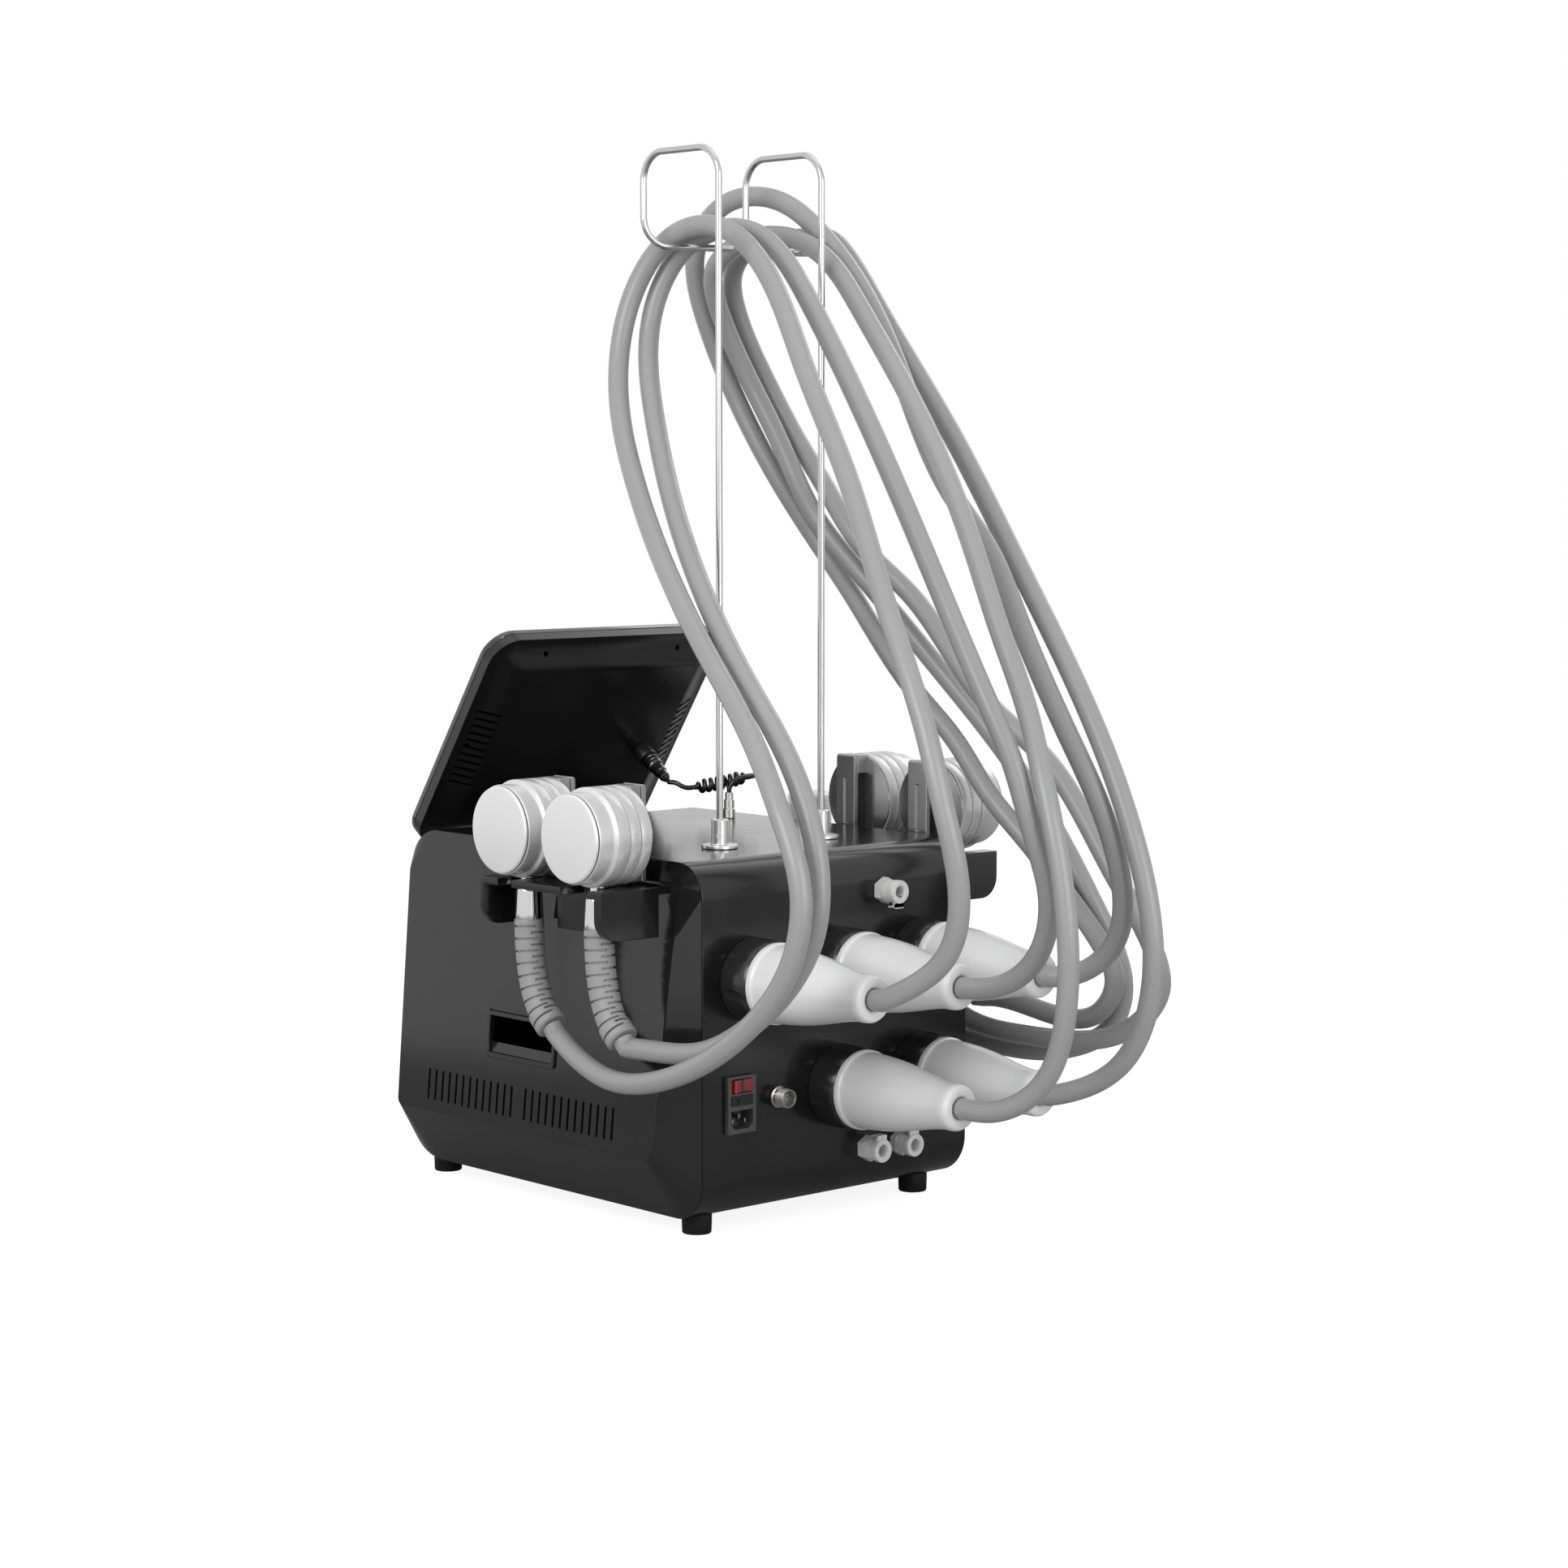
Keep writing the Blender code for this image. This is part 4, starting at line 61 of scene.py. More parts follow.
CAMERA_LENS, CAMERA_SENSOR = 78.9, 36
camera = bpy.data.objects.new("camera", bpy.data.cameras.new("camera"))
camera.data.lens = CAMERA_LENS
camera.data.sensor_width = CAMERA_SENSOR
camera.location = CAMERA_PLACE
camera.rotation_euler = CAMERA_AIM.to_track_quat("-Z", "Y").to_euler()
bpy.context.scene.collection.objects.link(camera)
bpy.context.scene.camera = camera
bpy.context.scene.view_settings.view_transform = "Standard"


def at(x, y, z):
    """A place on the machine, given in its own millimetres."""
    return Vector((x * MM, y * MM + OWN_ZERO, z * MM))


# Hoses: soft light grey PVC tubes, 18 mm across, that carry the coolant and the wires to the
# applicators. Each runs from a boot on the rear over the hangers and back down to its applicator,
# so both of its ends show and its length is the length of its route.
HOSE_DIAMETER = 18
HOSE_SIDES = 28
HOSE_STEP = 6
SPLINE_MARKS = 40
HOSE_COLOUR = (0.365, 0.365, 0.37)
CORD_GAP = 0.3
HOSE_STUB = 8
BOOT_END = 366.5
APPLICATOR_X = 206.5
FRONT_SEAT_Y, REAR_SEAT_Y, SMALL_SEAT_Y = 48.7, 143.6, -46.3
SLEEVE_MARK_STEP = 25.5
SLEEVE_ROUTE = ((0, 0, 266), (0, 2.52, 229.8), (0, 8.505, 204.6), (0, 18.585, 185.7), (0, 31.5, 174))
SOCKETS = ((100, 219), (0, 219), (-97, 219), (0, 117), (-97, 117))
HOSE_ENDS = ((1, FRONT_SEAT_Y), (1, REAR_SEAT_Y), (-1, REAR_SEAT_Y), (-1, SMALL_SEAT_Y), (-1, FRONT_SEAT_Y))
HOSE_ROUTES = {
    "hose_1": ((95, 389, 226), (85, 435, 262), (90, 452, 318), (100, 446, 377), (101, 428, 434),
               (86, 365, 536), (60, 290, 641), (40, 215, 734), (19, 137, 824), (17, 85, 856), (23, 28, 853),
               (37, -9, 808), (54, -13, 740), (89, 48, 644), (126, 134, 567), (159, 227, 497),
               (190, 328, 418), (200, 365, 373), (201, 388, 318), (203, 379, 259), (208, 335, 204),
               (215, 231, 148), (216, 169, 141), (210, 101, 162)),
    "hose_2": ((-5, 390, 220), (-15, 431, 243), (-15, 451, 297), (-7, 439, 355), (-2, 420, 412),
               (3, 399, 455), (3, 367, 506), (-2, 300, 607), (-13, 164, 791), (-12, 77, 857), (1, 21, 845),
               (18, -5, 795), (46, 26, 695), (85, 101, 609), (149, 271, 468), (166, 349, 394),
               (175, 376, 281), (189, 311, 198), (197, 256, 172), (206, 199, 169)),
    "hose_3": ((-104, 390, 221), (-115, 434, 256), (-111, 440, 315), (-96, 395, 425), (-95, 333, 527),
               (-96, 301, 578), (-91, 262, 624), (-97, 194, 723), (-106, 121, 817), (-109, 75, 857),
               (-104, 23, 889), (-91, -33, 889), (-89, -74, 848), (-107, -85, 792), (-126, -75, 735),
               (-152, -24, 630), (-169, 4, 581), (-175, 44, 534), (-176, 131, 444), (-183, 174, 403),
               (-185, 214, 358), (-193, 257, 316), (-203, 295, 272), (-220, 326, 222), (-226, 331, 200),
               (-226, 316, 170), (-209, 199, 170)),
    "hose_4": ((-3, 391, 117), (-13, 443, 143), (-11, 474, 207), (-7, 468, 338), (-11, 448, 394),
               (-27, 411, 456), (-37, 371, 516), (-48, 332, 576), (-66, 254, 681), (-81, 157, 786),
               (-85, 115, 827), (-90, 47, 855), (-89, -27, 846), (-92, -53, 826), (-106, -62, 795),
               (-144, -23, 677), (-147, -5, 645), (-155, 9, 613), (-171, 53, 558), (-198, 140, 464),
               (-214, 240, 360), (-233, 308, 249), (-249, 320, 180), (-244, 307, 149), (-233, 280, 132),
               (-219, 222, 124), (-213, 149, 129), (-209, 80, 134), (-207, 28, 147), (-207, 8, 158)),
    "hose_5": ((-100, 390, 121), (-110, 442, 149), (-112, 475, 212), (-108, 459, 342), (-124, 304, 571),
               (-126, 225, 677), (-125, 131, 791), (-129, 88, 837), (-130, 62, 854), (-126, 28, 856),
               (-122, -42, 847), (-127, -66, 825), (-139, -73, 792), (-158, -59, 736), (-169, -24, 675),
               (-167, 20, 628), (-169, 69, 574), (-182, 111, 537), (-184, 163, 487), (-184, 215, 438),
               (-192, 273, 396), (-196, 358, 295), (-211, 390, 232), (-219, 391, 198), (-217, 372, 169),
               (-200, 249, 142), (-202, 176, 147), (-206, 104, 167)),
}


def smooth_path(points, spacing):
    """Points evenly along a natural cubic spline through the given points, ends included."""
    places = np.array(points, float)
    chords = np.linalg.norm(np.diff(places, axis=0), axis=1)
    along_path = np.concatenate([[0], np.cumsum(chords)])
    count = len(places)
    system = np.eye(count)
    right = np.zeros_like(places)
    for index in range(1, count - 1):
        system[index, index - 1 : index + 2] = (
            chords[index - 1], 2 * (chords[index - 1] + chords[index]), chords[index])
        slopes = np.diff(places[index - 1 : index + 2], axis=0) / chords[index - 1 : index + 1, None]
        right[index] = 6 * (slopes[1] - slopes[0])
    bends = np.linalg.solve(system, right)

    def place_at(distance):
        piece = min(int(np.searchsorted(along_path, distance, side="right")) - 1, count - 2)
        whole = chords[piece]
        after, before = distance - along_path[piece], along_path[piece + 1] - distance
        return ((bends[piece] * before**3 + bends[piece + 1] * after**3) / (6 * whole)
                + (places[piece] / whole - bends[piece] * whole / 6) * before
                + (places[piece + 1] / whole - bends[piece + 1] * whole / 6) * after)

    fine = np.array([place_at(distance)
                     for distance in np.linspace(0, along_path[-1], SPLINE_MARKS * count)])
    run = np.concatenate([[0], np.cumsum(np.linalg.norm(np.diff(fine, axis=0), axis=1))])
    marks = np.linspace(0, run[-1], max(round(run[-1] / spacing), 1) + 1)
    return np.column_stack([np.interp(marks, run, fine[:, axis]) for axis in range(3)])


def cord_route(start, start_out, end, end_out, stub, middle):
    """First point, route from stub to stub, and last point of a cord that ends a small gap away from
    each of the two places that it meets; the directions point away from those."""
    first, last = start + start_out * CORD_GAP * MM, end + end_out * CORD_GAP * MM
    return first, [first + start_out * stub * MM, *(at(*point) for point in middle),
                   last + end_out * stub * MM], last


def wire(tree, kind, values=None, **settings):
    """A node of a tree, with its settings, its own values and the sockets that feed it."""
    made = tree.nodes.new(kind)
    for key, value in settings.items():
        setattr(made, key, value)
    for socket, value in (values or {}).items():
        if isinstance(value, bpy.types.NodeSocket):
            tree.links.new(value, made.inputs[socket])
        else:
            made.inputs[socket].default_value = value
    return made


def finish(name, colour, roughness, metal=0.0, coat=0.0, coat_roughness=0.1, specular=0.5,
           grain=1500.0, depth=0.1, drift=0.08, cloud=14.0, stretch=(1, 1, 1), wear=0.15):
    """A finish whose colour drifts, whose gloss varies and whose surface has a fine grain."""
    made = bpy.data.materials.new(name)
    made.use_nodes = True
    tree = made.node_tree
    shader = tree.nodes["Principled BSDF"]
    place = wire(tree, "ShaderNodeTexCoord").outputs["Object"]
    along = wire(tree, "ShaderNodeMapping", {"Vector": place, "Scale": stretch}).outputs[0]
    clouds = wire(tree, "ShaderNodeTexNoise",
                  {"Vector": place, "Scale": cloud, "Detail": 3.0}).outputs["Fac"]
    fine = wire(tree, "ShaderNodeTexNoise",
                {"Vector": along, "Scale": grain, "Detail": 2.0}).outputs["Fac"]
    level = wire(tree, "ShaderNodeMapRange", {"Value": clouds, "From Min": 0.3, "From Max": 0.7,
                                              "To Min": 1 - drift, "To Max": 1 + drift}).outputs[0]
    tone = wire(tree, "ShaderNodeVectorMath", {0: colour, "Scale": level}, operation="SCALE").outputs[0]
    tree.links.new(tone, shader.inputs["Base Color"])
    rubbed = wire(tree, "ShaderNodeMath", {0: clouds, 1: fine}, operation="ADD").outputs[0]
    gloss = wire(tree, "ShaderNodeMapRange", {"Value": rubbed, "From Min": 0.6, "From Max": 1.4,
                                              "To Min": roughness * (1 - wear),
                                              "To Max": roughness * (1 + wear)}).outputs[0]
    tree.links.new(gloss, shader.inputs["Roughness"])
    bump = wire(tree, "ShaderNodeBump", {"Height": fine, "Strength": depth, "Distance": 0.1 * MM})
    tree.links.new(bump.outputs[0], shader.inputs["Normal"])
    for socket, value in (("Metallic", metal), ("Coat Weight", coat), ("Coat Roughness", coat_roughness),
                          ("Specular IOR Level", specular)):
        shader.inputs[socket].default_value = value
    return made


def settle(name, bm, material, angle=32):
    """A new object from a finished bmesh: doubles merged, faces outwards, smooth up to an angle."""
    bmesh.ops.remove_doubles(bm, verts=bm.verts, dist=0.001 * MM)
    bmesh.ops.recalc_face_normals(bm, faces=bm.faces)
    mesh = bpy.data.meshes.new(name)
    bm.to_mesh(mesh)
    bm.free()
    mesh.materials.append(material)
    mesh.shade_smooth()
    mesh.set_sharp_from_angle(angle=math.radians(angle))
    shape = bpy.data.objects.new(name, mesh)
    bpy.context.scene.collection.objects.link(shape)
    return shape


def fit(shape, body, slot, *nodes):
    """Fixes a finished piece to its body, for the CAD nodes that it stands for."""
    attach(shape, body)
    if nodes:
        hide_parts(*nodes)
    return shape


def hose_skin(name, path, diameter, sides, material):
    """A round tube swept along a path, its ends capped, with a UV map around and along it."""
    bm = bmesh.new()
    layer = bm.loops.layers.uv.new("around_and_along")
    heading = (path[1] - path[0]).normalized()
    side = heading.orthogonal().normalized()
    rings, run = [], [0.0]
    for index, point in enumerate(path):
        before, after = path[max(index - 1, 0)], path[min(index + 1, len(path) - 1)]
        ahead = (after - before).normalized()
        side = heading.rotation_difference(ahead) @ side
        side = (side - ahead * side.dot(ahead)).normalized()
        heading = ahead
        up = ahead.cross(side)
        ring = []
        for step in range(sides):
            turn = math.tau * step / sides
            ring.append(bm.verts.new(point + (side * math.cos(turn) + up * math.sin(turn)) * diameter / 2))
        rings.append(ring)
        if index:
            run.append(run[-1] + (point - path[index - 1]).length)
    for index, (lower, upper) in enumerate(zip(rings, rings[1:])):
        for step in range(sides):
            after = (step + 1) % sides
            face = bm.faces.new((lower[step], lower[after], upper[after], upper[step]))
            for loop, (around, along) in zip(face.loops, ((step, index), (step + 1, index),
                                                          (step + 1, index + 1), (step, index + 1))):
                loop[layer].uv = (around / sides, run[along])
    bm.faces.new(rings[0])
    bm.faces.new(rings[-1])
    return settle(name, bm, material, 50)


def hose_pvc():
    """Soft extruded PVC with a slightly waxy surface, and faint lines of painted reflection along the tube.
    """
    made = finish("hose_pvc", HOSE_COLOUR, 0.31, grain=700, depth=0.04, drift=0.04, cloud=5)
    tree = made.node_tree
    shader = tree.nodes["Principled BSDF"]
    uv = wire(tree, "ShaderNodeUVMap", uv_map="around_and_along").outputs[0]
    # Painted reflection: faint lines along the tube that lighten and darken its colour.
    reflection_line_place = wire(tree, "ShaderNodeMapping", {"Vector": uv, "Scale": (26, 0.8, 1)}).outputs[0]
    painted_reflection_lines = wire(tree, "ShaderNodeTexNoise",
                   {"Vector": reflection_line_place, "Scale": 1.0, "Detail": 2.0}).outputs["Fac"]
    level = wire(tree, "ShaderNodeMapRange", {"Value": painted_reflection_lines, "From Min": 0.3, "From Max": 0.7,
                                              "To Min": 0.965, "To Max": 1.03}).outputs[0]
    tone = wire(tree, "ShaderNodeVectorMath", {0: shader.inputs["Base Color"].links[0].from_socket,
                                               "Scale": level}, operation="SCALE").outputs[0]
    tree.links.new(tone, shader.inputs["Base Color"])
    return made


hose_finish = hose_pvc()
sleeve_middle = [Vector(point) for point in smooth_path(SLEEVE_ROUTE, SLEEVE_MARK_STEP)]
SLEEVE_OUT = (sleeve_middle[-1] - sleeve_middle[-2]).normalized()
SLEEVE_END = Vector(SLEEVE_ROUTE[-1])
for (name, route), (x, z), (side, y) in zip(HOSE_ROUTES.items(), SOCKETS, HOSE_ENDS):
    sleeve_face = at(side * APPLICATOR_X, y + SLEEVE_END.y, SLEEVE_END.z)
    first, middle, last = cord_route(at(x, BOOT_END, z), Vector((0, 1, 0)), sleeve_face, SLEEVE_OUT,
                                     HOSE_STUB, route)
    path = [first, *(Vector(point) for point in smooth_path(middle, HOSE_STEP * MM)), last]
    hose = hose_skin(f"{name}_tube", path, HOSE_DIAMETER * MM, HOSE_SIDES, hose_finish)
    fit(hose, "machine", "hose_plastic", name)

# Housing: one sheet of glossy black ABS, 3 mm thick, wrapped round from the front's foot over the
# top and down the rear, with its long edges broken and round holes punched through the rear wall.
HALF_WIDTH = 155
HOUSING_WALL = 3
HOUSING_EDGE = 0.9
HOUSING_EDGE_MIDDLE = HOUSING_EDGE * 0.3
HOUSING_BASE, HOUSING_TOP = 16.5, 320
HOUSING_CORNERS = ((-190, HOUSING_TOP, 38), (-203.5, HOUSING_BASE, 50), (REAR, HOUSING_BASE, 35),
                   (REAR, HOUSING_TOP, 30))
HOUSING_STEPS = 24
REAR_FACE, TOP_FACE = 216.8, 320.3
FOOT_SOCKET_PLACE = (71, 115.5)
COUPLING_PLACES = ((-52, 282.5), (-32.5, 57.5), (-71.5, 57.5))
SOCKET_HOLE, FOOT_SOCKET_HOLE, COUPLING_HOLE = 28.1, 7.6, 6.6
REAR_HOLES = (*((*place, SOCKET_HOLE) for place in SOCKETS), (*FOOT_SOCKET_PLACE, FOOT_SOCKET_HOLE),
              *((*place, COUPLING_HOLE) for place in COUPLING_PLACES))
INLET_HOLE = ((101, 91.9), (128.7, 137.1))
TOP_HOLE_PLACE, TOP_HOLE_RADIUS = (-113, -56), 4.1
REAR_DRILL_REACH, TOP_DRILL_REACH, DRILL_SIDES = 12, 20, 56


def corner_arc(corners, index):
    """Centre, start angle and sweep of the arc at one (a, b, radius) corner of an outline."""
    a, b, radius = corners[index]
    here = Vector((a, b))
    back = (Vector(corners[index - 1][:2]) - here).normalized()
    ahead = (Vector(corners[(index + 1) % len(corners)][:2]) - here).normalized()
    half = back.angle(ahead) / 2
    middle = here + (back + ahead).normalized() * (radius / math.sin(half))
    first = here + back * (radius / math.tan(half)) - middle
    last = here + ahead * (radius / math.tan(half)) - middle
    start = math.atan2(first.y, first.x)
    sweep = (math.atan2(last.y, last.x) - start + math.pi) % math.tau - math.pi
    return middle, start, sweep


def rounded(corners, steps=16):
    """The outline through (a, b, radius) corners, each with its arc."""
    points = []
    for index, (a, b, radius) in enumerate(corners):
        if radius == 0:
            points.append(Vector((a, b)))
            continue
        middle, start, sweep = corner_arc(corners, index)
        for step in range(steps + 1):
            angle = start + sweep * step / steps
            points.append(middle + Vector((math.cos(angle), math.sin(angle))) * radius)
    return points


def inset(corners, distance, least=0):
    """The same corners with every edge moved in by a distance, for corners that run anticlockwise."""
    moved = []
    for index, (a, b, radius) in enumerate(corners):
        here = Vector((a, b))
        before = (here - Vector(corners[index - 1][:2])).normalized()
        after = (Vector(corners[(index + 1) % len(corners)][:2]) - here).normalized()
        in_before, in_after = Vector((-before.y, before.x)), Vector((-after.y, after.x))
        shift = (in_before + in_after) * (distance / (1 + in_before.dot(in_after)))
        moved.append((*(here + shift), max(radius - distance, least)))
    return moved


def skin(bm, loops, joined=False):
    """Quads between loops of equally many points; joined closes the last loop on the first."""
    rows = [[bm.verts.new(point) for point in loop] for loop in loops]
    pairs = list(zip(rows, rows[1:])) + ([(rows[-1], rows[0])] if joined else [])
    for lower, upper in pairs:
        for index in range(len(lower)):
            after = (index + 1) % len(lower)
            bm.faces.new((lower[index], lower[after], upper[after], upper[index]))
    return rows


def solid(name, loops, material, angle=32, joined=False):
    """A closed piece through loops of points, capped at both ends or joined into a ring."""
    bm = bmesh.new()
    rows = skin(bm, loops, joined)
    if not joined:
        bm.faces.new(rows[0])
        bm.faces.new(rows[-1])
    return settle(name, bm, material, angle)


def along(start, direction):
    """The matrix that takes +Z to a direction, and the origin to a start."""
    turn = Vector((0, 0, 1)).rotation_difference(Vector(direction))
    return Matrix.Translation(Vector(start)) @ turn.to_matrix().to_4x4()


def round_bar(start, end, radius, sides=40):
    """A bmesh of a cylinder between two places, to drill or to join with."""
    bm = bmesh.new()
    bmesh.ops.create_cone(bm, cap_ends=True, segments=sides, radius1=radius * MM, radius2=radius * MM,
                          depth=(end - start).length, matrix=along((start + end) / 2, end - start))
    return bm


def block(first, last):
    """A bmesh of a block between two opposite corners."""
    low, high = Vector(map(min, first, last)), Vector(map(max, first, last))
    bm = bmesh.new()
    place = Matrix.Translation((low + high) / 2) @ Matrix.Diagonal((*(high - low), 1))
    bmesh.ops.create_cube(bm, size=1, matrix=place)
    return bm


def worked(shape, cutters=(), joined=(), edge=0.0, segments=2, edge_angle=35, smooth=32):
    """The shape with others joined on and cut out and its sharp edges broken, as one plain mesh."""
    for others, operation in ((joined, "UNION"), (cutters, "DIFFERENCE")):
        for other in others:
            change = shape.modifiers.new(other.name, "BOOLEAN")
            change.operation, change.solver, change.object = operation, "EXACT", other
    if edge:
        broken = shape.modifiers.new("edge", "BEVEL")
        broken.width, broken.segments = edge * MM, segments
        broken.limit_method, broken.angle_limit = "ANGLE", math.radians(edge_angle)
    bpy.context.view_layer.update()
    mesh = bpy.data.meshes.new_from_object(shape.evaluated_get(bpy.context.evaluated_depsgraph_get()))
    shape.modifiers.clear()
    bm = bmesh.new()
    bm.from_mesh(mesh)
    bmesh.ops.remove_doubles(bm, verts=bm.verts, dist=0.002 * MM)
    bmesh.ops.dissolve_degenerate(bm, edges=bm.edges, dist=0.002 * MM)
    bm.to_mesh(mesh)
    bm.free()
    finish_kept = shape.data.materials[0]
    shape.data = mesh
    mesh.materials.clear()
    mesh.materials.append(finish_kept)
    mesh.polygons.foreach_set("material_index", [0] * len(mesh.polygons))
    mesh.shade_smooth()
    mesh.set_sharp_from_angle(angle=math.radians(smooth))
    firm = shape.modifiers.new("flats", "WEIGHTED_NORMAL")
    firm.keep_sharp = True
    firmed = bpy.data.meshes.new_from_object(shape.evaluated_get(bpy.context.evaluated_depsgraph_get()))
    shape.modifiers.clear()
    shape.data = firmed
    for other in (*joined, *cutters):
        bpy.data.objects.remove(other, do_unlink=True)
    return shape


def gloss_black(name, grain=1100, depth=0.03, roughness=0.18, base=0.008):
    """Glossy black ABS straight from a polished mould, with the faint cloudiness of handling."""
    return finish(name, (base, base, base * 1.04), roughness, grain=grain, depth=depth, drift=0.15,
                  wear=0.2)


housing_abs = gloss_black("housing_gloss_black")
outer, edged, lined, inner = [rounded(inset(HOUSING_CORNERS, inward), HOUSING_STEPS)
                              for inward in (0, HOUSING_EDGE_MIDDLE, HOUSING_EDGE, HOUSING_WALL)]
wrap_loops = []
for outline, x in ((outer, -HALF_WIDTH + HOUSING_EDGE), (outer, HALF_WIDTH - HOUSING_EDGE),
                   (edged, HALF_WIDTH - HOUSING_EDGE_MIDDLE), (lined, HALF_WIDTH), (inner, HALF_WIDTH),
                   (inner, -HALF_WIDTH), (lined, -HALF_WIDTH), (edged, -HALF_WIDTH + HOUSING_EDGE_MIDDLE)):
    wrap_loops.append([at(x, *point) for point in outline])
housing = solid("housing_wrap", wrap_loops, housing_abs, joined=True)
drills = []
for index, (x, z, radius) in enumerate(REAR_HOLES):
    bar = round_bar(at(x, REAR - REAR_DRILL_REACH, z), at(x, REAR + REAR_DRILL_REACH, z), radius,
                    DRILL_SIDES)
    drills.append(settle(f"rear_drill_{index}", bar, housing_abs))
saw_ends = [at(x, REAR + reach, z)
            for (x, z), reach in zip(INLET_HOLE, (-REAR_DRILL_REACH, REAR_DRILL_REACH))]
drills.append(settle("inlet_saw", block(*saw_ends), housing_abs))
drill_ends = [at(*TOP_HOLE_PLACE, HOUSING_TOP + reach) for reach in (-TOP_DRILL_REACH, TOP_DRILL_REACH)]
drills.append(settle("top_drill", round_bar(*drill_ends, TOP_HOLE_RADIUS), housing_abs))
fit(worked(housing, drills), "machine", "black_plastic", "main_housing")

# Side covers: glossy black ABS mouldings that close the two ends of the wrap. Each slopes out from
# the wrap's edge to a flat leaning panel, with two rows of vent slots and a framed carrying grip.
COVER_EDGE = 155.3
COVER_WALL = 3.5
COVER_ROUNDING = 1.4
PANEL_CORNERS = ((-190, 296, 17), (-184, 68, 6), (176, 68, 6), (191.5, 296, 40))
PANEL_BASE, PANEL_TOP = 68, 296
PANEL_BASE_HALF_WIDTH, PANEL_TOP_HALF_WIDTH = 180, 158
VENT_COUNT, VENT_PITCH, VENT_WIDTH = 13, 10.1, 3.0
VENT_BASE, VENT_TOP = 78, 106.2
VENT_ROW_STARTS = (-137.5, 3.5)
VENT_CUT_INNER, VENT_CUT_DEPTH = 150, 50
GRIP_FRONT, GRIP_REAR, GRIP_BASE, GRIP_TOP = -51.5, 37.5, 140.5, 164.5
GRIP_FRAME = 4.4
GRIP_FRAME_PROUD, GRIP_GROOVE = 2.0, 1.2
GRIP_LEDGE, GRIP_LEDGE_PROUD = 8, 0.3
GRIP_DEPTH, GRIP_CUT_REACH = 7, 20
GRIP_LEAST_RADIUS, GRIP_FRAME_EDGE, GRIP_FRAME_SEAT = 0.8, 0.5, 0.05
GRIP_FRAME_CORNERS = ((GRIP_FRONT - GRIP_FRAME, GRIP_TOP + GRIP_FRAME, 3.5),
                      (GRIP_FRONT - GRIP_FRAME, GRIP_BASE - GRIP_LEDGE - GRIP_FRAME, 3.5),
                      (GRIP_REAR + GRIP_FRAME, GRIP_BASE - GRIP_LEDGE - GRIP_FRAME, 3.5),
                      (GRIP_REAR + GRIP_FRAME, GRIP_TOP + GRIP_FRAME, 3.5))


def panel_half_width(height):
    """Half width of the machine at the side panels' plane, at a height."""
    share = (height - PANEL_BASE) / (PANEL_TOP - PANEL_BASE)
    return PANEL_BASE_HALF_WIDTH + share * (PANEL_TOP_HALF_WIDTH - PANEL_BASE_HALF_WIDTH)


def sized_tree(name, sizes):
    """A Geometry Nodes tree whose named inputs are its sizes, their sockets, and its output node."""
    tree = bpy.data.node_groups.new(name, "GeometryNodeTree")
    kinds = {int: "NodeSocketInt", float: "NodeSocketFloat"}
    for size, value in sizes.items():
        tree.interface.new_socket(size, in_out="INPUT", socket_type=kinds[type(value)])
    tree.interface.new_socket("Finish", in_out="INPUT", socket_type="NodeSocketMaterial")
    tree.interface.new_socket("Geometry", in_out="OUTPUT", socket_type="NodeSocketGeometry")
    return tree, wire(tree, "NodeGroupInput").outputs, wire(tree, "NodeGroupOutput")


def close_tree(tree, sizes, output, instances):
    """Ends a tree: real geometry with its finish on it."""
    real = wire(tree, "GeometryNodeRealizeInstances", {"Geometry": instances}).outputs[0]
    finished = wire(tree, "GeometryNodeSetMaterial", {"Geometry": real, "Material": sizes["Finish"]})
    tree.links.new(finished.outputs[0], output.inputs["Geometry"])


def grown(name, tree, sizes, material, place=Matrix.Identity(4), path=()):
    """What a tree makes at these sizes, along a path if it takes one, as a plain object put in place."""
    line = bpy.data.meshes.new(name)
    line.from_pydata(path, [(index, index + 1) for index in range(len(path) - 1)], [])
    seed = bpy.data.objects.new(name, line)
    bpy.context.scene.collection.objects.link(seed)
    growing = seed.modifiers.new("growing", "NODES")
    growing.node_group = tree
    for item in tree.interface.items_tree:
        if item.item_type == "SOCKET" and item.in_out == "INPUT" and item.name != "Path":
            growing[item.identifier] = material if item.name == "Finish" else sizes[item.name]
    bpy.context.view_layer.update()
    mesh = bpy.data.meshes.new_from_object(seed.evaluated_get(bpy.context.evaluated_depsgraph_get()))
    bpy.data.objects.remove(seed, do_unlink=True)
    bm = bmesh.new()
    bm.from_mesh(mesh)
    bpy.data.meshes.remove(mesh)
    bm.transform(place)
    return settle(name, bm, material)


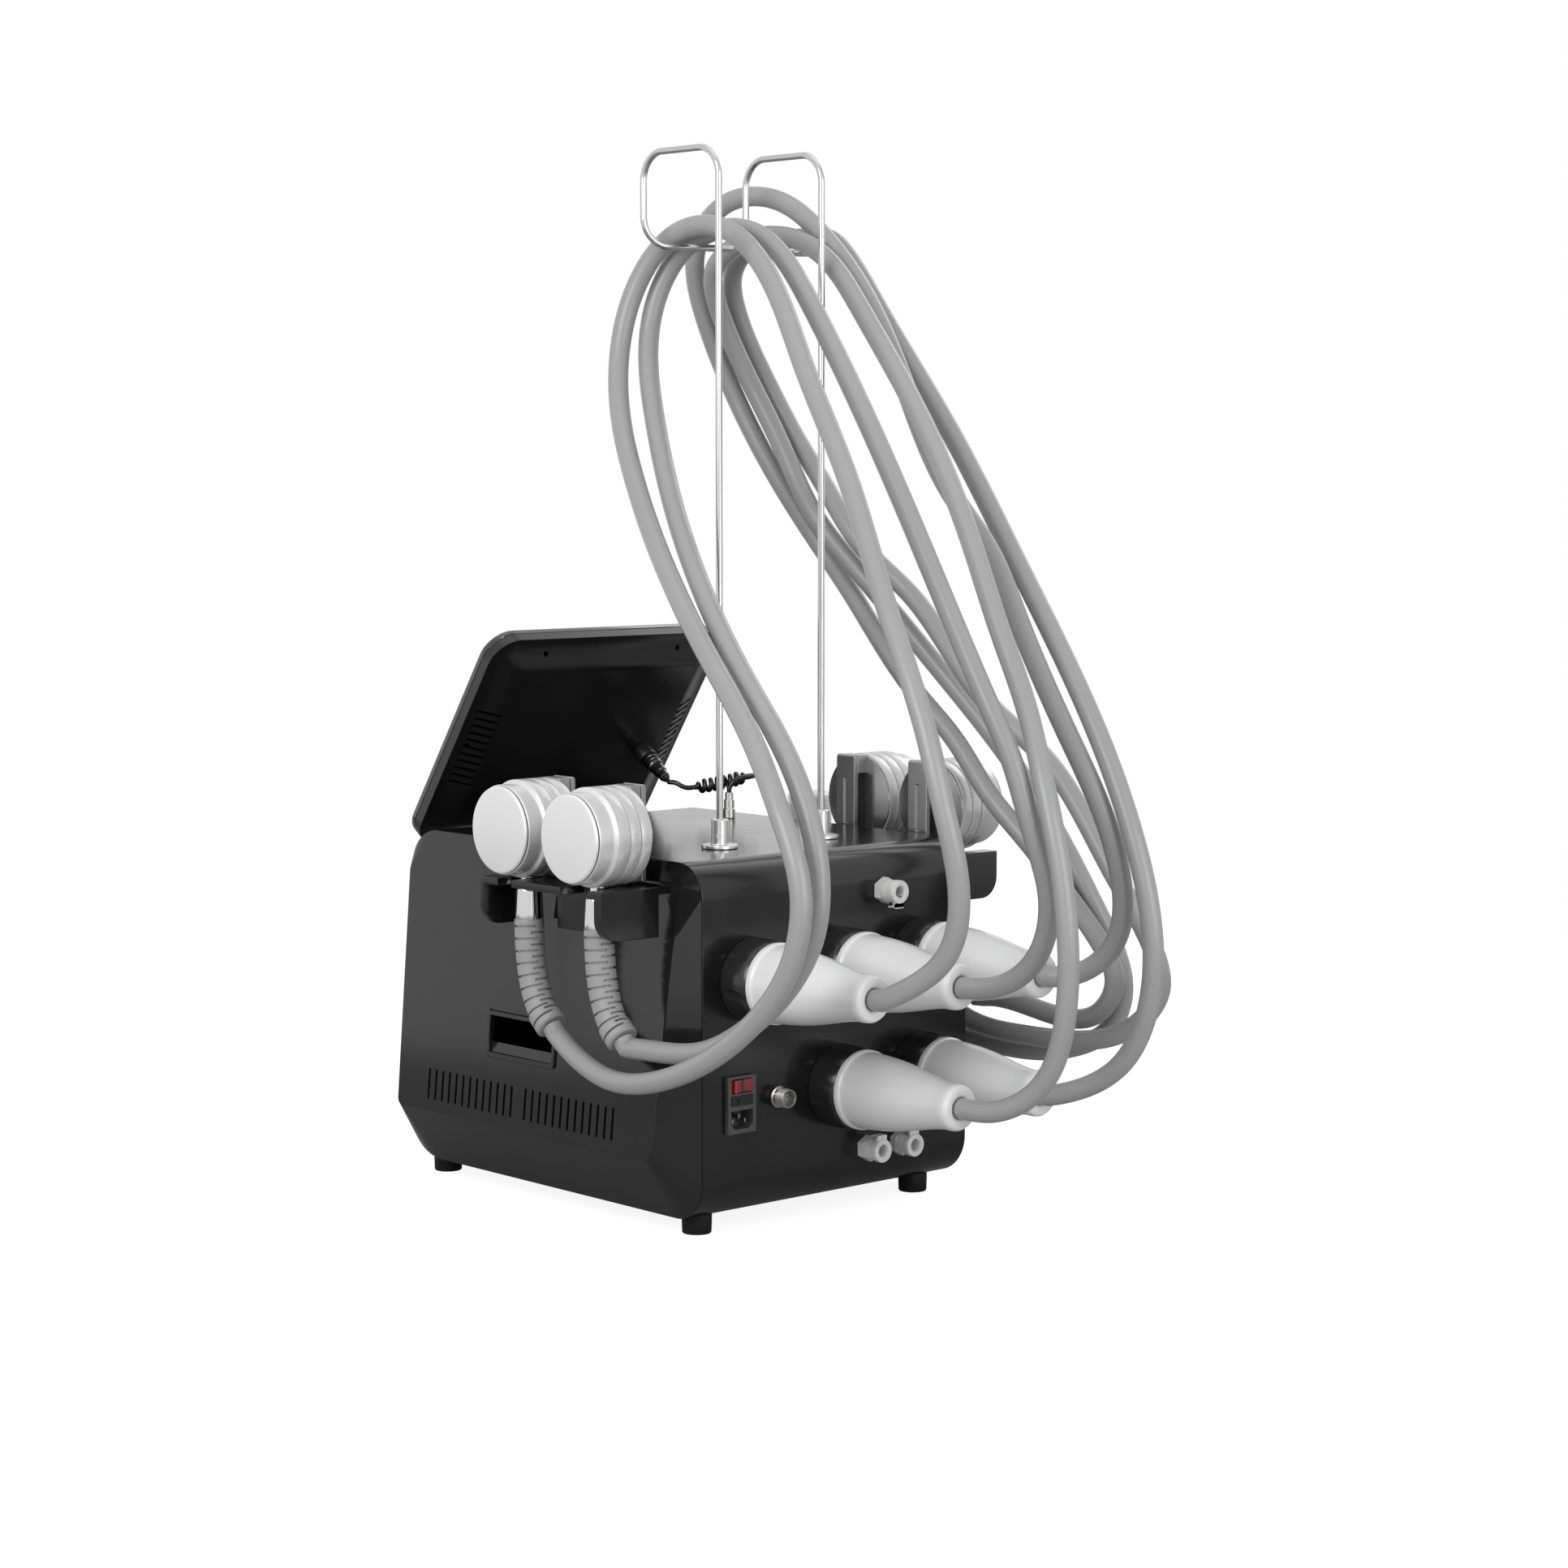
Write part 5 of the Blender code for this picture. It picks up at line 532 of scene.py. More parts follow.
def slot_row_tree():
    """A row along X of upright round-ended bars, each wide along X, tall along Y and deep along Z."""
    tree, sizes, output = sized_tree("slot_row", {"Count": 1, "Pitch": 1.0, "Width": 1.0, "Height": 1.0,
                                                  "Depth": 1.0})
    outline = wire(tree, "GeometryNodeCurvePrimitiveQuadrilateral", {"Width": sizes["Width"],
                                                                    "Height": sizes["Height"]}).outputs[0]
    least = wire(tree, "ShaderNodeMath", {0: sizes["Width"], 1: sizes["Height"]},
                 operation="MINIMUM").outputs[0]
    end = wire(tree, "ShaderNodeMath", {0: least, 1: 0.48}, operation="MULTIPLY").outputs[0]
    round_ended = wire(tree, "GeometryNodeFilletCurve", {"Curve": outline, "Count": 5, "Radius": end},
                       mode="POLY").outputs[0]
    flat = wire(tree, "GeometryNodeFillCurve", {"Curve": round_ended}, mode="NGONS").outputs[0]
    bar = wire(tree, "GeometryNodeExtrudeMesh", {"Mesh": flat, "Offset Scale": sizes["Depth"],
                                                 "Individual": False}).outputs[0]
    base = wire(tree, "GeometryNodeFlipFaces", {"Mesh": flat}).outputs[0]
    both = wire(tree, "GeometryNodeJoinGeometry")
    tree.links.new(bar, both.inputs[0])
    tree.links.new(base, both.inputs[0])
    whole = wire(tree, "GeometryNodeMergeByDistance",
                 {"Geometry": both.outputs[0], "Distance": 1e-6}).outputs[0]
    step = wire(tree, "ShaderNodeCombineXYZ", {"X": sizes["Pitch"]}).outputs[0]
    line = wire(tree, "GeometryNodeMeshLine", {"Count": sizes["Count"], "Offset": step},
                mode="OFFSET").outputs[0]
    close_tree(tree, sizes, output, wire(tree, "GeometryNodeInstanceOnPoints",
                                         {"Points": line, "Instance": whole}).outputs[0])
    return tree


slot_row = slot_row_tree()


def grip_ring(name, side, section, material, angle=32):
    """A ring round the carrying grip through (inward, proud of the panel) outlines."""
    return solid(name, [[at(side * (panel_half_width(z) + proud), y, z)
                         for y, z in rounded(inset(GRIP_FRAME_CORNERS, inward, GRIP_LEAST_RADIUS), 6)]
                        for inward, proud in section], material, angle, joined=True)


def side_cover(name, side, material):
    """One side cover; side is 1 for +X and -1 for -X."""
    def panel_loop(corners, sunk=0.0):
        return [at(side * (panel_half_width(z) - sunk), y, z) for y, z in rounded(corners)]

    rim = [at(side * COVER_EDGE, y, z) for y, z in rounded(HOUSING_CORNERS)]
    brow = panel_loop(PANEL_CORNERS)
    landed = panel_loop(inset(PANEL_CORNERS, COVER_ROUNDING, 2.5))
    loops = [[at(side * COVER_EDGE, y, z) for y, z in rounded(inset(HOUSING_CORNERS, COVER_WALL))],
             [at(side * COVER_EDGE, y, z) for y, z in rounded(inset(HOUSING_CORNERS, 0.8))],
             [point.lerp(edge, 0.02) for point, edge in zip(rim, brow)]]
    sloped = [edge.lerp(point, min(COVER_ROUNDING * MM / (edge - point).length, 0.4))
              for point, edge in zip(rim, brow)]
    for share in (0, 0.25, 0.5, 0.75, 1):
        loops.append([low.lerp(edge, share).lerp(edge.lerp(high, share), share)
                      for low, edge, high in zip(sloped, brow, landed)])
    bm = bmesh.new()
    rows = skin(bm, loops)
    bm.faces.new(rows[-1])
    floor = [[at(side * COVER_EDGE, y, z) for y, z in rounded(inset(HOUSING_CORNERS, COVER_WALL))],
             panel_loop(inset(PANEL_CORNERS, COVER_WALL, 2), COVER_WALL)]
    rows = skin(bm, floor)
    bm.faces.new(rows[-1])
    cover = settle(name, bm, material, 24)
    vent_sizes = {"Count": VENT_COUNT, "Pitch": VENT_PITCH * MM, "Width": VENT_WIDTH * MM,
                  "Height": (VENT_TOP - VENT_BASE) * MM, "Depth": VENT_CUT_DEPTH * MM}
    row_turn = Matrix(((0, 0, side, 0), (1, 0, 0, 0), (0, 1, 0, 0), (0, 0, 0, 1)))
    cutters = []
    for row, start in enumerate(VENT_ROW_STARTS):
        row_start = Matrix.Translation(at(side * VENT_CUT_INNER, start, (VENT_BASE + VENT_TOP) / 2))
        cutters.append(grown(f"{name}_vents_{row}", slot_row, vent_sizes, material, row_start @ row_turn))
    outer = panel_half_width(GRIP_BASE)
    grip_wall = [(GRIP_TOP, outer - GRIP_DEPTH), (GRIP_BASE, outer - GRIP_DEPTH),
                 (GRIP_BASE, outer - COVER_WALL), (GRIP_BASE - GRIP_LEDGE, outer + GRIP_LEDGE_PROUD),
                 (GRIP_BASE - GRIP_LEDGE, outer + GRIP_CUT_REACH), (GRIP_TOP, outer + GRIP_CUT_REACH)]
    cutters.append(solid(f"{name}_grip", [[at(side * x, y, z) for z, x in grip_wall]
                                          for y in (GRIP_FRONT, GRIP_REAR)], material))
    groove = ((-GRIP_GROOVE, -GRIP_GROOVE), (-GRIP_GROOVE, 1), (0, 1), (0, -GRIP_GROOVE))
    cutters.append(grip_ring(f"{name}_grip_groove", side, groove, material))
    return worked(cover, cutters, smooth=24)


cover_abs = gloss_black("cover_gloss_black", 1200, 0.03, 0.12, 0.012)
frame_abs = gloss_black("grip_frame_black", 1300, 0.05, 0.16, 0.012)
frame_section = ((0, GRIP_FRAME_SEAT), (GRIP_FRAME_EDGE, GRIP_FRAME_PROUD),
                 (GRIP_FRAME - GRIP_FRAME_EDGE, GRIP_FRAME_PROUD), (GRIP_FRAME, GRIP_FRAME_PROUD * 0.4),
                 (GRIP_FRAME, GRIP_FRAME_SEAT))
for word, side in (("right", 1), ("left", -1)):
    fit(side_cover(f"{word}_cover", side, cover_abs), "machine", "dark_panel", f"{word}_side_cover")
    fit(grip_ring(f"{word}_grip_frame", side, frame_section, frame_abs, 40), "machine", "dark_panel")

# Feet: four turned rubber buffers, 24 mm across where they stand, screwed up to the wrap's underside
# and moulded to its curve at the front and rear.
FOOT_X, FOOT_Y = 128, 177
FOOT_PROFILE = ((12.0, 0), (12.6, 0.9), (13.0, 12), (13.0, 16.2))
FOOT_SIDES = 40
UNDERSIDE_GAP = 0.3


def underside(y):
    """Height of the wrap's underside at a distance back from the machine's zero."""
    height = HOUSING_BASE
    for index in (1, 2):
        middle, _, _ = corner_arc(HOUSING_CORNERS, index)
        radius = HOUSING_CORNERS[index][2]
        if (index == 1 and y < middle.x) or (index == 2 and y > middle.x):
            height = middle.y - math.sqrt(radius**2 - (y - middle.x) ** 2)
    return height


rubber = finish("foot_rubber", (0.008, 0.008, 0.008), 0.55, specular=0.25, grain=1800, depth=0.3, drift=0.2)
foot_base = [(FOOT_PROFILE[0][0] * share, 0.0) for share in (0.35, 0.7, 0.97)]
foot_top = [(FOOT_PROFILE[-1][0] * share, None) for share in (1, 0.75, 0.5, 0.25)]
for row, y in (("front", -FOOT_Y), ("rear", FOOT_Y)):
    for word, x in (("right", FOOT_X), ("left", -FOOT_X)):
        loops = []
        for radius, height in (*foot_base, *FOOT_PROFILE, *foot_top):
            loop = []
            for step in range(FOOT_SIDES):
                turn = math.tau * step / FOOT_SIDES
                px, py = x + radius * math.cos(turn), y + radius * math.sin(turn)
                top = underside(py) - UNDERSIDE_GAP
                loop.append(at(px, py, top if height is None else min(height, top)))
            loops.append(loop)
        fit(solid(f"rubber_foot_{row}_{word}", loops, rubber, 40), "machine", "rubber",
            f"foot_{row}_{word}")

# Screen hinge: a curved black plate with two ears, screwed on the rounding at the front of the top,
# and a turned steel pin through the ears and the screen's lug.
HINGE_ANGLE = math.radians(136)
HINGE_REACH = 46.3
HINGE_SIDES = 26
BRACKET_INNER, BRACKET_THICKNESS = 38.3, 2.4
BRACKET_HALF_ANGLE = math.radians(19)
EAR_INNER, EAR_THICKNESS = 50.5, 10
EAR_FOOT_REACH, EAR_FOOT_HALF_WIDTH = 38.6, 10
KNUCKLE_RADIUS, KNUCKLE_ROUNDING = 5, 4.7
PIN_BORE_RADIUS, PIN_BORE_REACH = 3.1, 80
PIN_START = 62.3
PIN_PROFILE = ((0, 0), (3.2, 0), (3.8, 0.5), (3.8, 1.5), (2.5, 1.5), (2.5, 123.1), (3.8, 123.1),
               (3.8, 124.1), (3.2, 124.6), (0, 124.6))
HINGE_AXIS = at(0, -186.958, 314.163)
SCREEN_TILT = math.radians(34.4)
lean = Matrix.Translation(HINGE_AXIS) @ Matrix.Rotation(-SCREEN_TILT, 4, "X")
arc_centre = corner_arc(HOUSING_CORNERS, 0)[0]


def turned(name, profile, start, direction, material, sides=64, angle=32):
    """A profile of (radius, distance from the start) turned about a direction, closed at its poles."""
    bm = bmesh.new()
    turns = [math.tau * step / sides for step in range(sides)]
    loops = [[Vector((radius * MM * math.cos(turn), radius * MM * math.sin(turn), height * MM))
              for turn in turns] for radius, height in profile if radius > 0]
    rows = skin(bm, loops, joined=profile[0] == profile[-1])
    if profile[0] != profile[-1]:
        for row, (radius, height) in ((rows[0], profile[0]), (rows[-1], profile[-1])):
            if radius == 0:
                pole = bm.verts.new((0, 0, height * MM))
                for index in range(sides):
                    bm.faces.new((row[index], row[(index + 1) % sides], pole))
    bm.transform(along(start, direction))
    return settle(name, bm, material, angle)


def flat_shape(name, outline, place, low, high, material):
    """A flat outline of (a, b) with a thickness; place turns its a, b and depth into a point."""
    return solid(name, [[place(a, b, depth) for a, b in outline] for depth in (low, high)], material)


def across(y, z, x):
    """Outlines drawn in (y, z), with their thickness along X."""
    return at(x, y, z)


fitting_abs = gloss_black("hinge_satin_black", 1300, 0.1, 0.3)
arc = []
for radius, steps in ((BRACKET_INNER, range(HINGE_SIDES + 1)),
                      (BRACKET_INNER + BRACKET_THICKNESS, range(HINGE_SIDES, -1, -1))):
    for step in steps:
        angle = HINGE_ANGLE + BRACKET_HALF_ANGLE * (2 * step / HINGE_SIDES - 1)
        arc.append((arc_centre.x + radius * math.cos(angle), arc_centre.y + radius * math.sin(angle)))
hinge_out = Vector((math.cos(HINGE_ANGLE), math.sin(HINGE_ANGLE)))
hinge_side = Vector((-math.sin(HINGE_ANGLE), math.cos(HINGE_ANGLE)))
ear_end = HINGE_REACH + KNUCKLE_RADIUS
ear_corners = []
for outward, sideways, radius in ((EAR_FOOT_REACH, EAR_FOOT_HALF_WIDTH, 0),
                                  (EAR_FOOT_REACH, -EAR_FOOT_HALF_WIDTH, 0),
                                  (ear_end, -KNUCKLE_RADIUS, KNUCKLE_ROUNDING),
                                  (ear_end, KNUCKLE_RADIUS, KNUCKLE_ROUNDING)):
    ear_corners.append((*(arc_centre + hinge_out * outward + hinge_side * sideways), radius))
bracket_half_width = EAR_INNER + EAR_THICKNESS
bracket = flat_shape("hinge_bracket", arc, across, -bracket_half_width, bracket_half_width, fitting_abs)
ears = [flat_shape(f"ear_{low}", rounded(ear_corners, 8), across, low, low + EAR_THICKNESS, fitting_abs)
        for low in (EAR_INNER, -EAR_INNER - EAR_THICKNESS)]
bore_half = Vector((PIN_BORE_REACH * MM, 0, 0))
bore = settle("hinge_bore", round_bar(HINGE_AXIS - bore_half, HINGE_AXIS + bore_half, PIN_BORE_RADIUS),
              fitting_abs)
fit(worked(bracket, [bore], ears, edge=0.5), "machine", "black_plastic", "screen_hinge_bracket")
pin_steel = finish("pin_steel", (0.5, 0.5, 0.5), 0.25, metal=1.0, grain=500, stretch=(0.05, 1, 1),
                   depth=0.05)
pin = turned("hinge_pin", PIN_PROFILE, HINGE_AXIS - Vector((PIN_START * MM, 0, 0)), (1, 0, 0), pin_steel,
             32)
fit(pin, "machine", "steel", "screen_hinge_pin")

# Screen: a 12 inch touch panel of black glass in a moulded back cover. The cover steps back from a
# wide rim over a dished slope to a flat plateau, with a lug for the hinge and slots to let heat out.
SCREEN_HALF_WIDTH = 135.5
SCREEN_CORNER = 27
GLASS_Y = -33.7
SCREEN_LOW, SCREEN_HIGH = -30.3, 205.7
GLASS_THICKNESS = 6
RIM_DEPTH, SCREEN_DEPTH, PLATEAU_INSET = 16, 28, 31
COVER_SHELL = 2.5
SLOPE = ((0, 0), (0.02, 0.015), (0.06, 0.03), (0.15, 0.075), (0.3, 0.2), (0.45, 0.38), (0.6, 0.58),
         (0.75, 0.79), (0.86, 0.92), (0.94, 0.98), (1, 1))
SCREEN_VENTS = 11
SCREEN_VENT_PITCH, SCREEN_VENT_WIDTH, SCREEN_VENT_HEIGHT, SCREEN_VENT_DEPTH = 8, 22, 3, 12
SCREEN_VENT_X, SCREEN_VENT_BASE = 116, 47.7
SCREEN_CORNERS = ((SCREEN_LOW, -SCREEN_HALF_WIDTH, SCREEN_CORNER),
                  (SCREEN_HIGH, -SCREEN_HALF_WIDTH, SCREEN_CORNER),
                  (SCREEN_HIGH, SCREEN_HALF_WIDTH, SCREEN_CORNER),
                  (SCREEN_LOW, SCREEN_HALF_WIDTH, SCREEN_CORNER))
BEZEL = 14
LUG_CORNERS = ((-6.95, -5, 0), (5, -5, 4.7), (5, 5, 4.7), (-6.95, 5, 0))
LUG_HALF_WIDTH, LUG_BORE_REACH = 50, 150
SCREEN_SCREW_PLACES, SCREEN_SCREW_RADIUS, SCREEN_SCREW_FLOOR = ((78, 192), (124, 89)), 2.6, -19.5
SCREEN_MARK_PLACES, SCREEN_MARK_RADIUS, SCREEN_MARK_FLOOR = ((75, 158), (75, 20)), 1.2, -8.4
SCREEN_HOLE_END = 5
EAR_ROOM = ((-6.8, -8), (-4, -8), (-4, 5), (-6.8, 5))
EAR_MIDDLE, EAR_ROOM_HALF = EAR_INNER + EAR_THICKNESS / 2, EAR_THICKNESS / 2 + 1.2


def on_screen(x, y, z):
    """A place in the screen's own frame: x across, y back from the hinge, z up along the glass."""
    return lean @ Vector((x * MM, y * MM, z * MM))


def across_screen(y, z, x):
    """Outlines drawn in the screen's own (y, z), with their thickness across it."""
    return on_screen(x, y, z)


def screen_loop(inward, y, least=9, steps=14):
    """The screen's outline moved in by a distance, at a depth."""
    return [on_screen(x, y, z) for z, x in rounded(inset(SCREEN_CORNERS, inward, least), steps)]


def glass_material(name, colour, roughness, coat):
    """Polished glass over black: clear gloss, with the faintest smear in its polish."""
    return finish(name, colour, roughness, coat=coat, coat_roughness=0.02, grain=60, depth=0.01,
                  drift=0.05, cloud=6, wear=0.5)


glass_back = GLASS_Y + GLASS_THICKNESS
glass_section = ((BEZEL, GLASS_Y + 0.01), (1.8, GLASS_Y + 0.01), (1.1, GLASS_Y + 0.12),
                 (0.45, GLASS_Y + 0.5), (0.1, GLASS_Y + 1.1), (0, GLASS_Y + 1.8), (0, glass_back - 0.6),
                 (0.5, glass_back), (6, glass_back))
glass_black = glass_material("screen_glass_black", (0.006, 0.006, 0.007), 0.09, 1.0)
glass = solid("screen_glass_panel", [screen_loop(inward, y, 3) for inward, y in glass_section],
              glass_black, 30)
fit(worked(glass, smooth=30), "screen", "screen_glass", "screen_front_panel")
display_dark = glass_material("display_dark", (0.011, 0.012, 0.016), 0.14, 1.0)
display_section = ((BEZEL, GLASS_Y + 0.4), (BEZEL, GLASS_Y), (BEZEL + 0.3, GLASS_Y))
display = solid("screen_display_area", [screen_loop(inward, y, 1.5, 4) for inward, y in display_section],
                display_dark, 30)
fit(display, "screen", "screen_glass")

cover_black = gloss_black("screen_cover_black", 1400, 0.05, 0.2)
shell = [screen_loop(0.4, glass_back + 0.3), screen_loop(0, glass_back + 0.8)]
lining = [screen_loop(COVER_SHELL, glass_back + 0.3, 6)]
for share, depth in SLOPE:
    y = GLASS_Y + RIM_DEPTH + (SCREEN_DEPTH - RIM_DEPTH) * depth
    shell.append(screen_loop(PLATEAU_INSET * share, y))
    lining.append(screen_loop(PLATEAU_INSET * share + COVER_SHELL * (1 - share * 0.6),
                              y - COVER_SHELL * (0.4 + 0.6 * share), 6))
back_cover = solid("screen_back_cover_shell", lining[::-1] + shell, cover_black, 24)
lug = flat_shape("screen_lug", rounded(LUG_CORNERS, 8), across_screen, -LUG_HALF_WIDTH, LUG_HALF_WIDTH,
                 cover_black)
saws = [settle("lug_bore", round_bar(on_screen(-LUG_BORE_REACH, 0, 0), on_screen(LUG_BORE_REACH, 0, 0),
                                     PIN_BORE_RADIUS), cover_black)]
vent_sizes = {"Count": SCREEN_VENTS, "Pitch": SCREEN_VENT_PITCH * MM, "Width": SCREEN_VENT_HEIGHT * MM,
              "Height": SCREEN_VENT_WIDTH * MM, "Depth": SCREEN_VENT_DEPTH * MM}
row_turn = Matrix(((0, 1, 0, 0), (0, 0, 1, 0), (1, 0, 0, 0), (0, 0, 0, 1)))
for side in (1, -1):
    saws.append(flat_shape(f"ear_room_{side}", EAR_ROOM, across_screen, side * EAR_MIDDLE - EAR_ROOM_HALF,
                           side * EAR_MIDDLE + EAR_ROOM_HALF, cover_black))
    row_start = Matrix.Translation(Vector((side * SCREEN_VENT_X, GLASS_Y + SCREEN_DEPTH - SCREEN_VENT_DEPTH,
                                           SCREEN_VENT_BASE)) * MM)
    saws.append(grown(f"screen_slots_{side}", slot_row, vent_sizes, cover_black,
                      lean @ row_start @ row_turn))
for places, radius, floor in ((SCREEN_SCREW_PLACES, SCREEN_SCREW_RADIUS, SCREEN_SCREW_FLOOR),
                              (SCREEN_MARK_PLACES, SCREEN_MARK_RADIUS, SCREEN_MARK_FLOOR)):
    for x, z in places:
        for side in (1, -1):
            bar = round_bar(on_screen(side * x, floor, z), on_screen(side * x, SCREEN_HOLE_END, z), radius,
                            24)
            saws.append(settle(f"cover_hole_{side * x}_{z}", bar, cover_black))
fit(worked(back_cover, saws, [lug], smooth=24), "screen", "black_plastic", "screen_back_cover")

# Applicator heads: four hollow cold heads, 84 mm across, turned from white anodised aluminium with
# fine parting grooves, each closed by a satin face plate set on its front over a dark rubber seal,
# whose black ring is widened to stand in also for painted shade along the face plate's edge.
HEAD_Z = 342.1
HEAD_SIDES = 96
HEAD_PROFILE = ((0, 28.6), (37.2, 28.6), (37.7, 28.8), (38.1, 28.6), (38.4, 28.2), (38.5, 27.8),
                (38.5, 14.6), (38.9, 13.9), (39.8, 13.5), (41.2, 12.6), (41.8, 12.1), (42.0, 11.4),
                (42.0, 0.1), (41.9, -0.1), (40.8, -0.25), (40.8, -1.15), (41.9, -1.3), (42, -1.5),
                (42.0, -11.7), (41.9, -11.9), (40.8, -12.05), (40.8, -12.95), (41.9, -13.1), (42, -13.3),
                (42.0, -22.6), (41.7, -23.3), (41.2, -23.5), (39, -23.5), (39, -20.0), (0, -20.0))
FACE_PROFILE = ((0, 32.3), (35.2, 32.3), (35.9, 32.2), (36.6, 31.85), (37.1, 31.3), (37.4, 30.5),
                (37.4, 30.0), (37.2, 29.9), (0, 29.9))
SEAL_PROFILE = ((0, 29.9), (36.4, 29.9), (36.4, 28.7), (0, 28.7))
DISC_PROFILE = ((0, -20.2), (38.4, -20.2), (38.4, -23.8), (40.2, -23.8), (40.8, -24.1), (41, -24.6),
                (40.7, -25.2), (40.0, -25.5), (0, -25.5))
BOW_HALF_WIDTH = 12
BOW_OUTER, BOW_INNER, BOW_ROOT = -42, -37, -24.65
BOW_OUTLINE = ((-40.5, BOW_INNER, 1.2), (-40.5, BOW_OUTER, 3.4), (42, BOW_OUTER, 3.4), (42, BOW_INNER, 1.2))
BRIDGES = ((24, 41.5), (-40, -29.5))
BRIDGE_HALF_WIDTH, BRIDGE_END_GAP = 11.4, 0.1
GROOVE_HALF_WIDTH, GROOVE_DEPTH, GROOVE_ENDS = 2.2, 1.4, (-22, 20)
APPLICATOR_PLACES = ((1, FRONT_SEAT_Y), (1, REAR_SEAT_Y), (-1, FRONT_SEAT_Y), (-1, REAR_SEAT_Y))
anodised = finish("head_white_anodised", (0.74, 0.74, 0.745), 0.3, metal=0.3, grain=900, depth=0.04,
                  drift=0.03, wear=0.2)
face_plate = finish("head_face_satin", (0.84, 0.84, 0.845), 0.34, metal=0.3, grain=1200, depth=0.04,
                    drift=0.02)
# The seal is black rubber; its ring, widened, also stands in for painted shade round the face plate's edge.
seal_black_edge_shade = finish("head_seal_rubber_edge_shade", (0.01, 0.01, 0.01), 0.5, grain=900)
disc_grey = finish("head_disc_grey", (0.36, 0.36, 0.365), 0.28, metal=0.9, grain=900, depth=0.04,
                   drift=0.03)
bow_grey = finish("grip_bow_grey", (0.36, 0.36, 0.365), 0.3, metal=0.85, grain=1200, depth=0.05,
                  drift=0.03)
for number, (side, y) in enumerate(APPLICATOR_PLACES, 1):
    middle = at(side * APPLICATOR_X, y, HEAD_Z)
    out = Vector((side, 0, 0))
    name = f"applicator_{number}"
    fit(turned(f"{name}_cold_head", HEAD_PROFILE, middle, out, anodised, HEAD_SIDES, 28), "machine",
        "white_plastic", f"{name}_head")
    fit(turned(f"{name}_face_plate", FACE_PROFILE, middle, out, face_plate, HEAD_SIDES, 28), "machine",
        "white_plastic")
    fit(turned(f"{name}_face_seal", SEAL_PROFILE, middle, out, seal_black_edge_shade, HEAD_SIDES), "machine", "rubber")
    fit(turned(f"{name}_closing_disc", DISC_PROFILE, middle, out, disc_grey, HEAD_SIDES, 28), "machine",
        "black_plastic", f"{name}_grip")

    def bow_place(z, x, across_y, middle=middle, side=side):
        return middle + Vector((side * x, across_y, z)) * MM

    for place, (base, top) in zip(("top", "base"), BRIDGES):
        bridge = settle(f"{name}_grip_bridge_{place}",
                        block(bow_place(base, BOW_ROOT, -BRIDGE_HALF_WIDTH),
                              bow_place(top, BOW_INNER - BRIDGE_END_GAP, BRIDGE_HALF_WIDTH)), bow_grey)
        fit(worked(bridge, edge=1.2, segments=3), "machine", "white_plastic", f"{name}_grip")
    bow = flat_shape(f"{name}_grip_bow", rounded(BOW_OUTLINE, 8), bow_place, -BOW_HALF_WIDTH,
                     BOW_HALF_WIDTH, bow_grey)
    groove = settle("bow_groove", block(bow_place(GROOVE_ENDS[0], BOW_OUTER - 3, -GROOVE_HALF_WIDTH),
                                        bow_place(GROOVE_ENDS[1], BOW_OUTER + GROOVE_DEPTH,
                                                  GROOVE_HALF_WIDTH)), bow_grey)
    fit(worked(bow, [groove], edge=1.0, segments=3), "machine", "black_plastic", f"{name}_grip")

# Applicator stems: a polished chrome neck screwed up into the head, and below it a grey thermoplastic
# strain-relief sleeve, cut by alternate slots so that it bends, that ends in a cuff round the hose.
NECK_TOP_HEIGHT = 299.8
NECK_PROFILE = ((0, -35.8), (12.0, -35.8), (12.45, -35.4), (12.5, -34.9), (12.35, -30.5),
                (11.95, -22.0), (11.4, -12.0), (11.1, -8.5), (9.5, -6.0), (9.08, -3.2), (9.0, -1.4),
                (9.0, -0.1), (8.6, 0.0), (7, 0), (7, 6), (0, 6))
SLEEVE_TOP, SLEEVE_STEP, SLEEVE_SIDES = (0, 0, 264), 1.5, 48
SLEEVE_RADIUS, SLEEVE_LIP, SLEEVE_LIP_DROP = 12.75, 1.5, 0.5
CUFF_RADIUS, CUFF_LENGTH, CUFF_SHOULDER = 14, 16, 1.6
CUFF_LIP, CUFF_LIP_SLOPE = 1.2, 1.2
SLOT_COUNT, SLOT_STEP, SLOT_WIDTH, SLOT_CUT = 17, 5.4, 2.0, 2.1
SLOT_SWEEP, SLOT_TURN = 206, 20
FIRST_SLOT = 5.5


